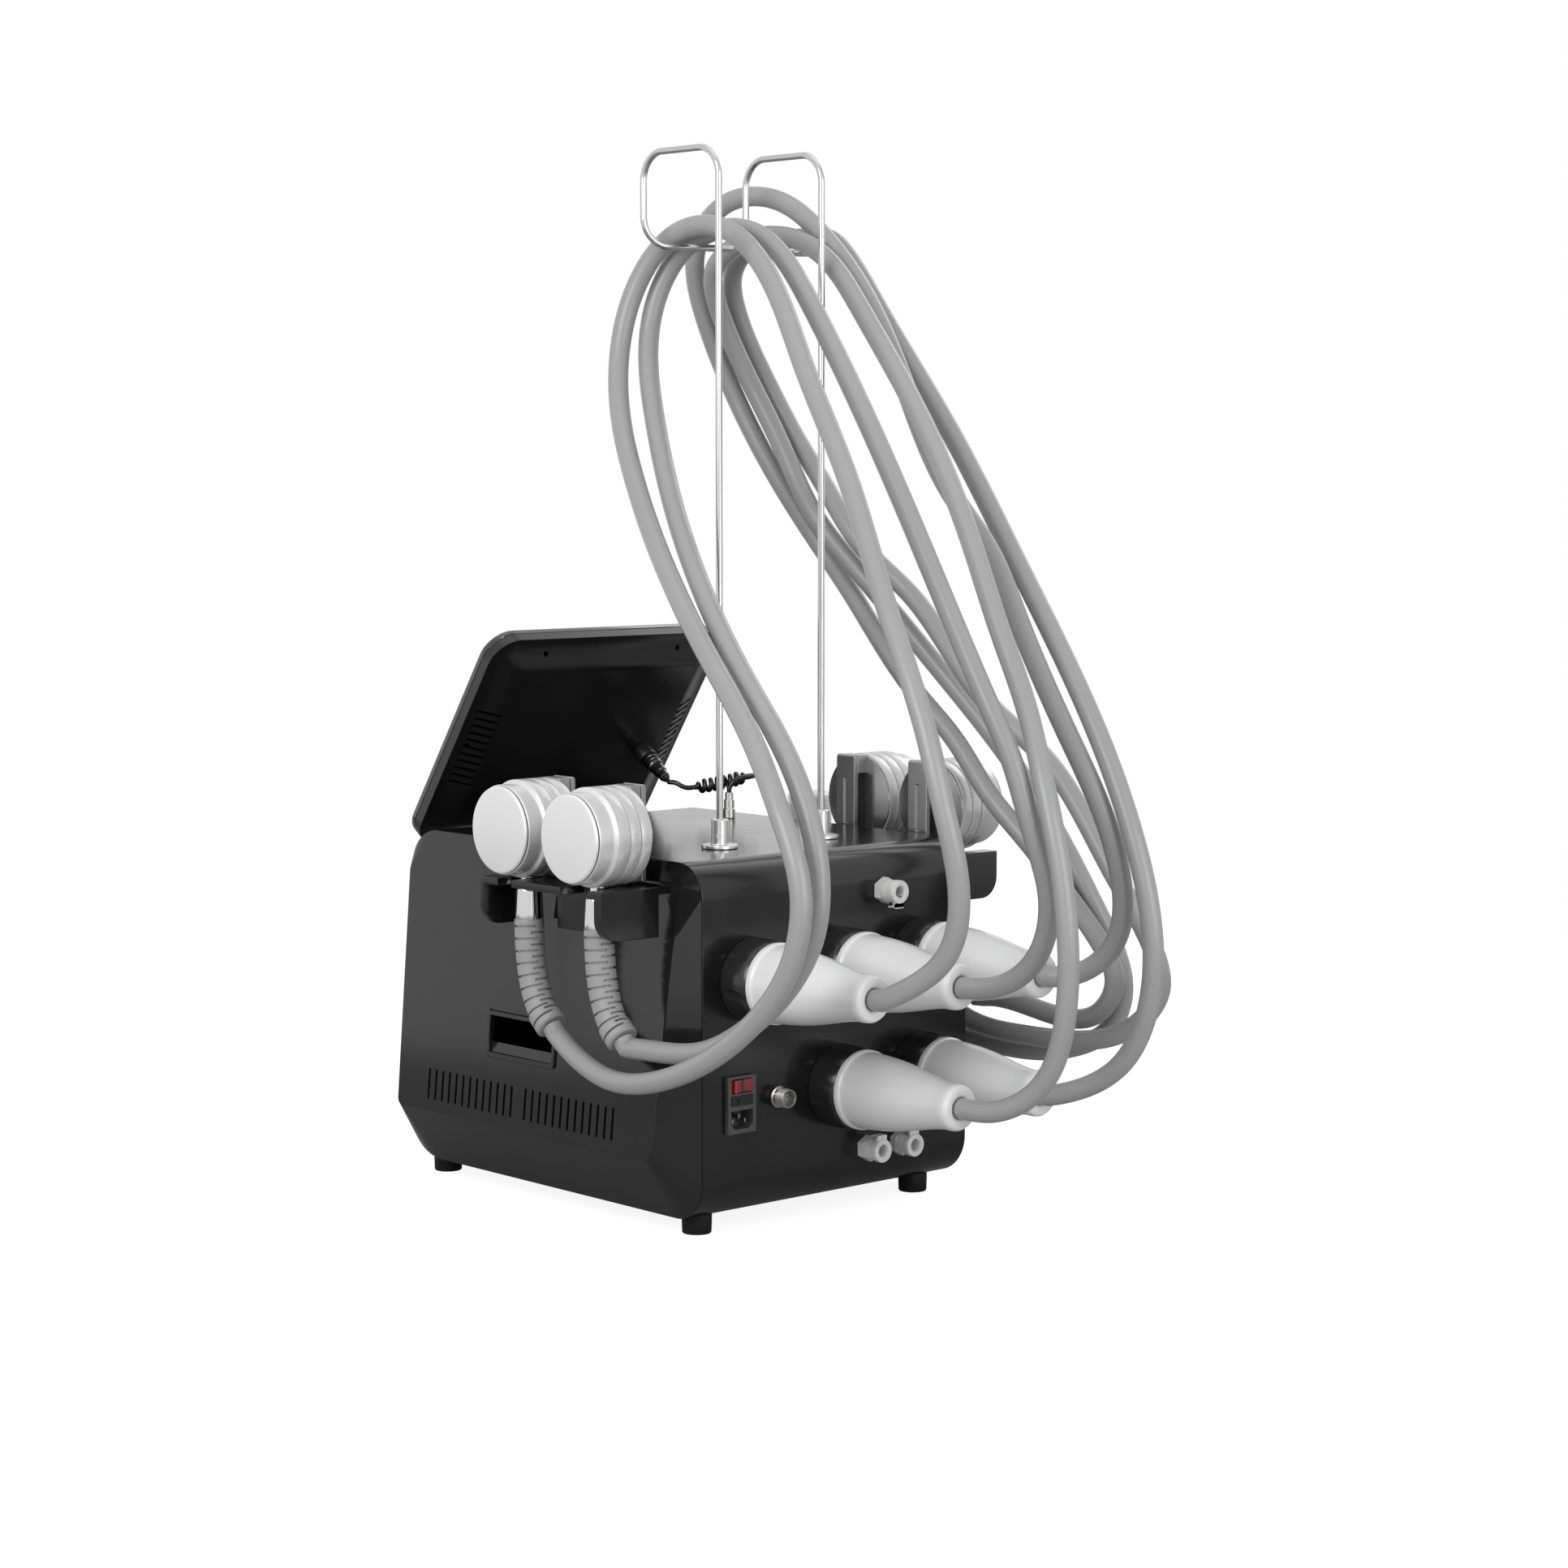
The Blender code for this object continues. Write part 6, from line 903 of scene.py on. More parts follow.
def sleeve_slot_tree():
    """Curved bars set square on a path, every other one turned half round, to cut the sleeve's slots."""
    tree, sizes, output = sized_tree("sleeve_slots", {"Count": 1, "Radius": 1.0, "Depth": 1.0, "Width": 1.0,
                                                    "Sweep": 1.0})
    path_in = tree.interface.new_socket("Path", in_out="INPUT", socket_type="NodeSocketGeometry")
    tree.interface.move(path_in, 0)
    curve = wire(tree, "GeometryNodeMeshToCurve", {"Mesh": sizes["Path"]}).outputs[0]
    points = wire(tree, "GeometryNodeCurveToPoints", {"Curve": curve, "Count": sizes["Count"]},
                  mode="COUNT").outputs
    half = wire(tree, "ShaderNodeMath", {0: sizes["Sweep"], 1: -0.5}, operation="MULTIPLY").outputs[0]
    arc = wire(tree, "GeometryNodeCurveArc",
               {"Resolution": 28, "Radius": sizes["Radius"], "Start Angle": half,
                "Sweep Angle": sizes["Sweep"]}, mode="RADIUS").outputs[0]
    section = wire(tree, "GeometryNodeCurvePrimitiveQuadrilateral", {"Width": sizes["Depth"],
                                                                    "Height": sizes["Width"]}).outputs[0]
    bar = wire(tree, "GeometryNodeCurveToMesh",
               {"Curve": arc, "Profile Curve": section, "Fill Caps": True}).outputs[0]
    index = wire(tree, "GeometryNodeInputIndex").outputs[0]
    odd = wire(tree, "ShaderNodeMath", {0: index, 1: 2.0}, operation="MODULO").outputs[0]
    turn = wire(tree, "ShaderNodeMath", {0: odd, 1: math.pi, 2: math.radians(SLOT_TURN)},
                operation="MULTIPLY_ADD").outputs[0]
    about_path = wire(tree, "ShaderNodeCombineXYZ", {"Z": turn}).outputs[0]
    set_square = wire(tree, "FunctionNodeRotateRotation",
                      {"Rotation": points["Rotation"], "Rotate By": about_path},
                      rotation_space="LOCAL").outputs[0]
    close_tree(tree, sizes, output, wire(tree, "GeometryNodeInstanceOnPoints", {
        "Points": points["Points"], "Instance": bar, "Rotation": set_square}).outputs[0])
    return tree


def banded_tube(name, path, radii, sides, material, angle=40):
    """A capped tube along a path whose radius changes from point to point."""
    turns = [math.tau * step / sides for step in range(sides)]
    heading = (path[1] - path[0]).normalized()
    side = Vector((1, 0, 0))
    loops = []
    for index, point in enumerate(path):
        before, after = path[max(index - 1, 0)], path[min(index + 1, len(path) - 1)]
        ahead = (after - before).normalized()
        side = heading.rotation_difference(ahead) @ side
        heading = ahead
        up = ahead.cross(side)
        loops.append([point + (side * math.cos(turn) + up * math.sin(turn)) * radii[index] * MM
                      for turn in turns])
    return solid(name, loops, material, angle)


chrome = finish("neck_chrome", (0.62, 0.62, 0.625), 0.12, metal=1.0, grain=700, depth=0.01, drift=0.02)
sleeve_grey = finish("sleeve_grey_tpe", (0.36, 0.36, 0.365), 0.45, specular=0.4, grain=1300, depth=0.15,
                     drift=0.04)
sleeve_path = [Vector(point) for point in smooth_path((SLEEVE_TOP, *SLEEVE_ROUTE[1:]), SLEEVE_STEP)]
run = [0.0]
for before, after in zip(sleeve_path, sleeve_path[1:]):
    run.append(run[-1] + (after - before).length)
sleeve_radii = []
for distance in run:
    left = run[-1] - distance
    radius = SLEEVE_RADIUS
    if distance < SLEEVE_LIP:
        radius = SLEEVE_RADIUS - SLEEVE_LIP_DROP * (SLEEVE_LIP - distance) / SLEEVE_LIP
    if left < CUFF_LENGTH:
        radius = CUFF_RADIUS - max(0, CUFF_LIP - left) * CUFF_LIP_SLOPE
    elif left < CUFF_LENGTH + CUFF_SHOULDER:
        radius = SLEEVE_RADIUS + ((CUFF_RADIUS - SLEEVE_RADIUS) * (CUFF_LENGTH + CUFF_SHOULDER - left)
                                  / CUFF_SHOULDER)
    sleeve_radii.append(radius)
last_slot = FIRST_SLOT + SLOT_STEP * (SLOT_COUNT - 1)
slotted = [at(*point) for point, distance in zip(sleeve_path, run) if FIRST_SLOT <= distance <= last_slot]
pattern = banded_tube("sleeve_pattern", [at(*point) for point in sleeve_path], sleeve_radii,
                      SLEEVE_SIDES, sleeve_grey)
knives = grown("sleeve_knives", sleeve_slot_tree(),
               {"Count": SLOT_COUNT, "Radius": SLEEVE_RADIUS * MM, "Depth": 2 * SLOT_CUT * MM,
                "Width": SLOT_WIDTH * MM, "Sweep": math.radians(SLOT_SWEEP)}, sleeve_grey, path=slotted)
pattern = worked(pattern, [knives], smooth=40)
stem_places = [(f"applicator_{number}", *place) for number, place in enumerate(APPLICATOR_PLACES, 1)]
for name, side, y in (*stem_places, ("small_applicator", -1, SMALL_SEAT_Y)):
    node = f"{name}_stem"
    neck = turned(f"{name}_chrome_neck", NECK_PROFILE, at(side * APPLICATOR_X, y, NECK_TOP_HEIGHT),
                  (0, 0, 1), chrome, 64)
    fit(neck, "machine", "grey_plastic", node)
    mesh = pattern.data.copy()
    mesh.transform(Matrix.Translation(Vector((side * APPLICATOR_X, y, 0)) * MM))
    sleeve = bpy.data.objects.new(f"{name}_slotted_sleeve", mesh)
    bpy.context.scene.collection.objects.link(sleeve)
    fit(sleeve, "machine", "grey_plastic", node)
bpy.data.objects.remove(pattern, do_unlink=True)

# Small applicator: a fifth head, 42 mm across and rounded at its end, for the eye area. It is turned
# from white anodised aluminium like the large ones and screwed on the same stem.
SMALL_BASE = 300.1
SMALL_PROFILE = ((0, 40.0), (15.5, 40.0), (17.0, 39.7), (19.2, 38.6), (20.5, 37.2), (21.0, 35.6),
                 (21.0, 32.2), (20.8, 32.0), (20.0, 31.9), (20.0, 30.6), (20.8, 30.5), (21.0, 30.3),
                 (21.0, 4.4), (20.5, 2.8), (19.2, 1.4), (17.0, 0.3), (15.5, 0), (0, 0))
fit(turned("small_applicator_cold_head", SMALL_PROFILE, at(-APPLICATOR_X, SMALL_SEAT_Y, SMALL_BASE),
           (0, 0, 1), anodised, 80, 28), "machine", "white_plastic", "small_applicator_head")

# Holders: two glossy black moulded brackets screwed to the covers, each a slotted plate on which the
# applicators hang by their necks, with rounded cheeks at its ends and a brace down to the cover.
HOLDER_TOP, HOLDER_PLATE = 299.8, 6.5
HOLDER_HALF_SPAN, HOLDER_ROOT = 233, 158.3
HOLDER_INNER = HOLDER_ROOT - 12
HOLDER_REAR = 178.5
RIGHT_HOLDER_FRONT, LEFT_HOLDER_FRONT = 14.4, -80.6
CHEEK_BASE, CHEEK_INNER, CHEEK_ROUNDING = 257.5, 170, 19
FRONT_CHEEK, REAR_CHEEK = 5.7, 9
BRACE_Y, BRACE_HALF_LENGTH, BRACE_OUTER = 96.15, 22, 196
SEAT_RADIUS, HOSE_MOUTH, WIDE_MOUTH = 15, 19, 36.8
SEAT_STEPS = 32
HOLDER_EDGE = 0.7
COVER_GAP, COVER_TOP_EDGE, TRIM_REACH = 0.3, 155.6, 20


def plate_outline(front, mouths):
    """The plate in (x, y), its outer edge running back past each mouth and round each seat."""
    points = [(HOLDER_INNER, front), (HOLDER_HALF_SPAN, front)]
    for y, mouth in mouths:
        half = mouth / 2
        wide = half >= SEAT_RADIUS
        start = math.pi / 2 if wide else math.asin(half / SEAT_RADIUS)
        points.append((HOLDER_HALF_SPAN, y - half))
        if wide:
            points.append((APPLICATOR_X, y - half))
        for step in range(SEAT_STEPS + 1):
            angle = -start - (math.tau - 2 * start) * step / SEAT_STEPS
            points.append((APPLICATOR_X + SEAT_RADIUS * math.cos(angle), y + SEAT_RADIUS * math.sin(angle)))
        if wide:
            points.append((APPLICATOR_X, y + half))
        points.append((HOLDER_HALF_SPAN, y + half))
    return points + [(HOLDER_HALF_SPAN, HOLDER_REAR), (HOLDER_INNER, HOLDER_REAR)]


def holder(name, side, front, mouths, material):
    """One holder, moulded in a piece and trimmed to the leaning cover."""
    def level(x, y, z):
        return at(side * x, y, z)

    def upright(x, z, y):
        return at(side * x, y, z)

    body = flat_shape(name, plate_outline(front, mouths), level, HOLDER_TOP - HOLDER_PLATE, HOLDER_TOP,
                      material)
    middle = HOLDER_TOP - HOLDER_PLATE / 2
    cheek = rounded(((CHEEK_INNER, CHEEK_BASE, 0), (HOLDER_HALF_SPAN, CHEEK_BASE, CHEEK_ROUNDING),
                     (HOLDER_HALF_SPAN, middle, 0), (CHEEK_INNER, middle, 0)), 16)
    joined = [flat_shape(f"{name}_front_cheek", cheek, upright, front, front + FRONT_CHEEK, material),
              flat_shape(f"{name}_rear_cheek", cheek, upright, HOLDER_REAR - REAR_CHEEK, HOLDER_REAR,
                         material)]
    brace = block(level(HOLDER_INNER, BRACE_Y - BRACE_HALF_LENGTH, CHEEK_BASE),
                  level(BRACE_OUTER, BRACE_Y + BRACE_HALF_LENGTH, middle))
    joined.append(settle(f"{name}_brace", brace, material))
    face = [(0, PANEL_BASE), (panel_half_width(PANEL_BASE) + COVER_GAP, PANEL_BASE),
            (HOLDER_ROOT, PANEL_TOP), (COVER_TOP_EDGE, HOUSING_TOP), (0, HOUSING_TOP)]
    trim = flat_shape(f"{name}_trim", face, upright, front - TRIM_REACH, HOLDER_REAR + TRIM_REACH, material)
    return worked(body, [trim], joined, edge=HOLDER_EDGE, segments=3)


holder_black = gloss_black("holder_gloss_black", 1200, 0.04, 0.16)
PAIR_MOUTHS = ((FRONT_SEAT_Y, HOSE_MOUTH), (REAR_SEAT_Y, WIDE_MOUTH))
fit(holder("right_applicator_holder", 1, RIGHT_HOLDER_FRONT, PAIR_MOUTHS, holder_black), "machine",
    "black_plastic", "right_holder")
fit(holder("left_applicator_holder", -1, LEFT_HOLDER_FRONT, ((SMALL_SEAT_Y, HOSE_MOUTH),) + PAIR_MOUTHS,
           holder_black), "machine", "black_plastic", "left_holder")

# Hose sockets: the five noses moulded on one grey plate behind the rear wall, left as the CAD has
# them because the coupling rings cover them, with a moulded nylon finish.
socket_nylon = finish("socket_grey_nylon", (0.3, 0.3, 0.3), 0.5, grain=1200, depth=0.15)
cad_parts["hose_socket_block"].material_slots[0].material = socket_nylon

# Coupling rings: glossy black nuts, 72 mm across, that screw each hose boot to its socket. Seven
# lens-shaped scoops round the outside give the fingers a hold, and the front rounds in to the boot.
RING_RADIUS, RING_SIDES = 36, 112
SCOOP_COUNT, SCOOP_HALF_LENGTH, SCOOP_RADIUS, SCOOP_DEPTH, SCOOP_MIDDLE = 7, 21, 8, 1.8, 15
RING_PROFILE = ((28.5, 0.3), (28.8, 0), (35.3, 0), (35.8, 0.25), (36.0, 0.8), (36.0, 14), (35.85, 18),
                (35.45, 21.5), (34.9, 24.4), (34.2, 26.8), (33.3, 28.6), (32.4, 29.5), (31.6, 29.7),
                (26.2, 29.7), (25.5, 29.2), (25.5, 19.0), (26, 18.7), (28.5, 18.7), (28.5, 0.3))


def scoop_ring_tree():
    """Pointed lozenges set round a circle, each long along Z, to cut the finger scoops of a ring."""
    tree, sizes, output = sized_tree("scoop_ring", {"Count": 1, "Circle": 1.0, "Half Length": 1.0,
                                                    "Radius": 1.0})
    ball = wire(tree, "GeometryNodeMeshUVSphere", {"Segments": 28, "Rings": 18, "Radius": 1.0}).outputs[0]
    stretch = wire(tree, "ShaderNodeCombineXYZ", {"X": sizes["Radius"], "Y": sizes["Radius"],
                                                  "Z": sizes["Half Length"]}).outputs[0]
    lozenge = wire(tree, "GeometryNodeTransform", {"Geometry": ball, "Scale": stretch}).outputs[0]
    circle = wire(tree, "GeometryNodeMeshCircle",
                  {"Vertices": sizes["Count"], "Radius": sizes["Circle"]}).outputs[0]
    place = wire(tree, "GeometryNodeInputPosition").outputs[0]
    outward = wire(tree, "FunctionNodeAlignRotationToVector", {"Vector": place}, axis="X",
                   pivot_axis="Z").outputs[0]
    close_tree(tree, sizes, output, wire(tree, "GeometryNodeInstanceOnPoints", {
        "Points": circle, "Instance": lozenge, "Rotation": outward}).outputs[0])
    return tree


ring_black = gloss_black("ring_gloss_black", 1200, 0.03, 0.2, 0.02)
scoop_ring = scoop_ring_tree()
scoop_sizes = {"Count": SCOOP_COUNT, "Circle": (RING_RADIUS + SCOOP_RADIUS - SCOOP_DEPTH) * MM,
               "Half Length": SCOOP_HALF_LENGTH * MM, "Radius": SCOOP_RADIUS * MM}
scoop_turn = Matrix.Rotation(-math.pi / 2, 4, "X") @ Matrix.Rotation(-math.pi / 2, 4, "Z")
for number, (x, z) in enumerate(SOCKETS, 1):
    foot = at(x, REAR_FACE, z)
    ring = turned(f"coupling_nut_{number}", RING_PROFILE, foot, (0, 1, 0), ring_black, RING_SIDES, 28)
    scoops = grown(f"scoops_{number}", scoop_ring, scoop_sizes, ring_black,
                   Matrix.Translation(foot + Vector((0, SCOOP_MIDDLE * MM, 0))) @ scoop_turn)
    fit(worked(ring, [scoops], smooth=28), f"ring_{number}", "black_plastic", f"coupling_ring_{number}")

# Hose boots: glossy white elastomer cones that take each hose from its ring, with a thin rim at the
# ring, a long hollowed taper and a thick rounded end round the hose.
BOOT_BASE = 246.8
BOOT_PROFILE = ((0, -18), (24.6, -18), (25.0, -17.5), (25.0, -0.2), (34.2, 0), (34.55, 0.4),
                (34.65, 1.2), (34.6, 4.6), (34.35, 5.4), (33.6, 6.0), (33.15, 7.2), (32.9, 10),
                (32.3, 22), (31.2, 36), (29.4, 50), (27.2, 62), (25.0, 73), (23.1, 82), (21.6, 90),
                (20.5, 97), (19.9, 103), (19.7, 107), (19.85, 111), (19.8, 114), (19.3, 117), (18.1, 119),
                (16.6, 119.7), (12.5, 119.7), (10.6, 119.3), (9.6, 118.2), (9.4, 112), (0, 112))
boot_white = finish("boot_gloss_white", (0.84, 0.84, 0.845), 0.24, grain=500, depth=0.015, drift=0.02)
for number, (x, z) in enumerate(SOCKETS, 1):
    fit(turned(f"white_boot_{number}", BOOT_PROFILE, at(x, BOOT_BASE, z), (0, 1, 0), boot_white, 80, 40),
        "machine", "white_plastic", f"hose_boot_{number}")

# Mains inlet: a snap-in black module with a lit red rocker switch, a fuse drawer and a shrouded
# three-pin appliance inlet, one above another on one plate.
INLET_X, INLET_Z = 114.85, 114.5
INLET_HALF_WIDTH, INLET_HALF_HEIGHT = 15.5, 24.3
INLET_BODY_HALF_WIDTH, INLET_BODY_HALF_HEIGHT = 13.5, 22.3
INLET_FRONT, INLET_BACK, INLET_CUT_END = 220.8, 186.5, 240
ROCKER_RISE, ROCKER_HALF_WIDTH, ROCKER_HALF_HEIGHT = 16, 10.5, 5.5
ROCKER_WINDOW_GAP, ROCKER_WINDOW_FLOOR = 0.8, 210.2
DRAWER_RISE, DRAWER_HALF_WIDTH, DRAWER_HALF_HEIGHT = 3.6, 12, 4
DRAWER_GAP, DRAWER_FLOOR = 0.3, 199.5
SHROUD_DROP, SHROUD_HALF_WIDTH, SHROUD_HALF_HEIGHT, SHROUD_DEPTH = 12.6, 12.25, 8, 15
SHROUD_CHAMFER = 4.2
PIN_PLACES = ((-7, -2), (0, 2), (7, -2))
PIN_HALF_WIDTH, PIN_HALF_HEIGHT, PIN_ENDS = 1, 2, (205.3, 216.8)


def inlet_slab(name, half_width, half_height, rise, low, high, material, cut=0):
    """A slab on the inlet's centre line, between two depths, its two lower corners cut off by a size."""
    outline = [(-half_width + cut, -half_height), (half_width - cut, -half_height),
               (half_width, half_height), (-half_width, half_height)]
    if cut:
        outline.insert(2, (half_width, -half_height + cut))
        outline.append((-half_width, -half_height + cut))
    return flat_shape(name, outline, lambda x, z, y: at(INLET_X + x, y, INLET_Z + rise + z), low, high,
                      material)


inlet_black = finish("inlet_black_nylon", (0.068, 0.068, 0.069), 0.42, depth=0.12)
drawer_black = gloss_black("drawer_black_nylon", 1500, 0.08, 0.3)
plate = inlet_slab("inlet_module", INLET_HALF_WIDTH, INLET_HALF_HEIGHT, 0, REAR_FACE, INLET_FRONT,
                   inlet_black)
body = inlet_slab("inlet_rear", INLET_BODY_HALF_WIDTH, INLET_BODY_HALF_HEIGHT, 0, INLET_BACK,
                  REAR_FACE + 0.3, inlet_black)
saws = [inlet_slab("rocker_window", ROCKER_HALF_WIDTH + ROCKER_WINDOW_GAP,
                   ROCKER_HALF_HEIGHT + ROCKER_WINDOW_GAP, ROCKER_RISE, ROCKER_WINDOW_FLOOR, INLET_CUT_END,
                   inlet_black),
        inlet_slab("drawer_pocket", DRAWER_HALF_WIDTH + DRAWER_GAP, DRAWER_HALF_HEIGHT + DRAWER_GAP,
                   DRAWER_RISE, DRAWER_FLOOR, INLET_CUT_END, inlet_black),
        inlet_slab("shroud", SHROUD_HALF_WIDTH, SHROUD_HALF_HEIGHT, -SHROUD_DROP,
                   INLET_FRONT - SHROUD_DEPTH, INLET_CUT_END, inlet_black, SHROUD_CHAMFER)]
fit(worked(plate, saws, [body], edge=0.35), "machine", "black_plastic", "mains_inlet")
pin_nickel = finish("inlet_pin_nickel", (0.26, 0.255, 0.25), 0.38, metal=1.0, grain=700, depth=0.03)
for number, (x, rise) in enumerate(PIN_PLACES, 1):
    middle = INLET_Z - SHROUD_DROP + rise
    corners = [at(INLET_X + x + side * PIN_HALF_WIDTH, y, middle + side * PIN_HALF_HEIGHT)
               for side, y in zip((-1, 1), PIN_ENDS)]
    blade = settle(f"inlet_pin_{number}", block(*corners), pin_nickel)
    fit(worked(blade, edge=0.5, segments=3), "machine", "steel")

# Rocker: a dished cap of clear red polycarbonate, moulded in one piece, that tips on its pivot in
# the inlet. Its colour carries painted shade across its middle and a painted highlight at one edge.
ROCKER_AXIS_Y = 217.2
ROCKER_REST = math.radians(6)
ROCKER_PAINTED_LIGHT = ((0, 0.62), (0.36, 0.5), (0.44, 0.1), (0.56, 0.1), (0.64, 0.42), (0.86, 0.5),
                 (0.9, 1.2), (1, 1.3))
ROCKER_FACE, ROCKER_DISH, ROCKER_STEPS = 5.2, 1.0, 24
ROCKER_FOOT = ((9, -3.8), (-9, -3.8))
rocker_red = finish("rocker_red_lens", (0.42, 0.008, 0.008), 0.16, coat=0.6, coat_roughness=0.05, grain=400,
                    depth=0.02, drift=0.12, cloud=90)
tree = rocker_red.node_tree
shader = tree.nodes["Principled BSDF"]
place = wire(tree, "ShaderNodeTexCoord").outputs["Object"]
across_x = wire(tree, "ShaderNodeSeparateXYZ", {0: place}).outputs[0]
# Painted light across the cap: painted shade darkens its middle and a painted highlight lightens one edge.
painted_light_place = wire(tree, "ShaderNodeMapRange", {"Value": across_x, "From Min": (INLET_X - ROCKER_HALF_WIDTH) * MM,
                                          "From Max": (INLET_X + ROCKER_HALF_WIDTH) * MM}).outputs[0]
painted_light_ramp = wire(tree, "ShaderNodeValToRGB", {0: painted_light_place})
while len(painted_light_ramp.color_ramp.elements) < len(ROCKER_PAINTED_LIGHT):
    painted_light_ramp.color_ramp.elements.new(0.5)
for stop, (position, level) in zip(painted_light_ramp.color_ramp.elements, ROCKER_PAINTED_LIGHT):
    stop.position, stop.color = position, (level, level, level, 1)
shaded = wire(tree, "ShaderNodeVectorMath", {0: shader.inputs["Base Color"].links[0].from_socket,
                                             1: painted_light_ramp.outputs[0]}, operation="MULTIPLY").outputs[0]
tree.links.new(shaded, shader.inputs["Base Color"])
cap = []
for step in range(ROCKER_STEPS + 1):
    share = 2 * step / ROCKER_STEPS - 1
    cap.append((share * ROCKER_HALF_WIDTH, ROCKER_FACE - ROCKER_DISH * (1 - share**2)))
cap += ROCKER_FOOT
rest = Matrix.Rotation(ROCKER_REST, 4, "Z")
rocker = flat_shape("red_rocker", cap, lambda x, y, z: at(INLET_X, ROCKER_AXIS_Y, INLET_Z + ROCKER_RISE)
                    + (rest @ Vector((x, y, z))) * MM, -ROCKER_HALF_HEIGHT, ROCKER_HALF_HEIGHT, rocker_red)
fit(worked(rocker, edge=0.45, segments=3), "rocker", "red_plastic", "mains_rocker")

# Fuse drawer: a black nylon drawer that slides out of the inlet, moulded in one piece with a square
# recess in its front for a finger.
DRAWER_ENDS = (199.8, 221.8)
RECESS_SHIFT, RECESS_HALF_SIDE, RECESS_FLOOR = 6, 2, 220.3
drawer = inlet_slab("fuse_drawer_front", DRAWER_HALF_WIDTH, DRAWER_HALF_HEIGHT, DRAWER_RISE, *DRAWER_ENDS,
                    drawer_black)
recess_ends = [at(INLET_X + RECESS_SHIFT + side * RECESS_HALF_SIDE, y,
                  INLET_Z + DRAWER_RISE + side * RECESS_HALF_SIDE)
               for side, y in ((-1, RECESS_FLOOR), (1, INLET_CUT_END))]
recess = settle("drawer_recess", block(*recess_ends), inlet_black)
fit(worked(drawer, [recess], edge=0.4), "drawer", "black_plastic", "fuse_drawer")

# Foot-switch socket: a nickel-plated screw-on socket with a flange, a fine outside thread and six pins
# in its insulator.
THREAD_BASE, THREAD_TURNS, THREAD_ROOT, THREAD_CREST = 5.2, 9, 7.75, 8.25
SOCKET_MOUTH = ((0, 4), (6.5, 4), (6.5, 14.7), (6.8, 15), (7.6, 15), (8.0, 14.6))
SOCKET_FLANGE = ((7.6, 4.6), (7.6, 2.9), (9.1, 2.5), (9.5, 2.1), (9.5, 0.3), (9.2, 0), (7, 0), (7, -12),
                 (0, -12))
INSULATOR_PROFILE = ((0, 7.2), (6.1, 7.2), (6.3, 7.0), (6.3, 4.2), (0, 4.2))
SOCKET_PIN_MIDDLE = 7.6
SOCKET_PIN_SIZES = {"Count": 6, "Circle": 3.6 * MM, "Radius": 0.6 * MM, "Height": 6 * MM}
socket_x, socket_z = FOOT_SOCKET_PLACE
socket_foot = at(socket_x, REAR_FACE, socket_z)
thread = []
for step in range(THREAD_TURNS):
    base = THREAD_BASE + step
    thread += [(THREAD_ROOT, base), (THREAD_CREST, base + 0.35), (THREAD_CREST, base + 0.55),
               (THREAD_ROOT, base + 0.9)]
plated_steel = finish("socket_nickel_plate", (0.42, 0.415, 0.4), 0.24, metal=1.0, grain=900, depth=0.04,
                      drift=0.05)
fit(turned("foot_switch_shell", (*SOCKET_MOUTH, *reversed(thread), *SOCKET_FLANGE), socket_foot, (0, 1, 0),
           plated_steel), "machine", "steel", "foot_switch_socket")


def pin_circle_tree():
    """Round pins standing along Z on a circle."""
    tree, sizes, output = sized_tree("pin_circle", {"Count": 1, "Circle": 1.0, "Radius": 1.0,
                                                    "Height": 1.0})
    pin = wire(tree, "GeometryNodeMeshCylinder", {"Vertices": 14, "Radius": sizes["Radius"],
                                                  "Depth": sizes["Height"]}).outputs[0]
    circle = wire(tree, "GeometryNodeMeshCircle",
                  {"Vertices": sizes["Count"], "Radius": sizes["Circle"]}).outputs[0]
    close_tree(tree, sizes, output, wire(tree, "GeometryNodeInstanceOnPoints", {
        "Points": circle, "Instance": pin}).outputs[0])
    return tree


pins = grown("foot_switch_pins", pin_circle_tree(), SOCKET_PIN_SIZES, plated_steel,
             along(at(socket_x, REAR_FACE + SOCKET_PIN_MIDDLE, socket_z), (0, 1, 0)))
fit(pins, "machine", "steel")
insulator = finish("socket_insulator", (0.32, 0.32, 0.32), 0.4, grain=900)
fit(turned("foot_switch_insulator", INSULATOR_PROFILE, socket_foot, (0, 1, 0), insulator, 40), "machine",
    "grey_plastic")

# Quick couplings: three natural nylon panel couplings for overflow, draining and filling, with a
# hexagon at the wall, a ribbed barrel, a round face with a bore for the tube and a thumb latch.
LATCH_SIDES = (-1, 1, 1)
COUPLING_PROFILE = ((0, 8.5), (4.2, 8.5), (4.5, 8.8), (4.5, 20.2), (5.6, 22.0), (5.9, 22.5), (9.2, 22.5),
                    (9.8, 22.3), (10.2, 21.7), (10.2, 17.2), (9.9, 16.7), (8.6, 16.5), (8.6, 16.2),
                    (9.3, 16.0), (9.8, 15.4), (9.8, 14.9), (9.3, 14.3), (8.6, 14.1), (8.6, 13.4),
                    (9.3, 13.2), (9.8, 12.6), (9.8, 12.0), (9.3, 11.4), (8.6, 11.2), (8.6, 10.5),
                    (9.3, 10.3), (9.8, 9.7), (9.8, 9.1), (9.3, 8.5), (8.6, 8.3), (8.6, 0), (6, 0),
                    (6, -14), (0, -14))
VALVE_PROFILE = ((0, 12.2), (3.6, 12.2), (4.2, 11.6), (4.3, 8.9), (0, 8.9))
HEX_RADIUS, HEX_LENGTH = 11.5, 7.2
LATCH_HALF_WIDTH, LATCH_LOW, LATCH_HIGH, LATCH_INNER, LATCH_OUTER = 5.5, 17.9, 20.9, 5.6, 14
LATCH_GAP, LATCH_TRAVEL_GAP, LATCH_SLOT_OUTER = 0.3, 1.8, 20
LATCH_TAB_LENGTH, LATCH_TAB_THICKNESS = 8.5, 1.5
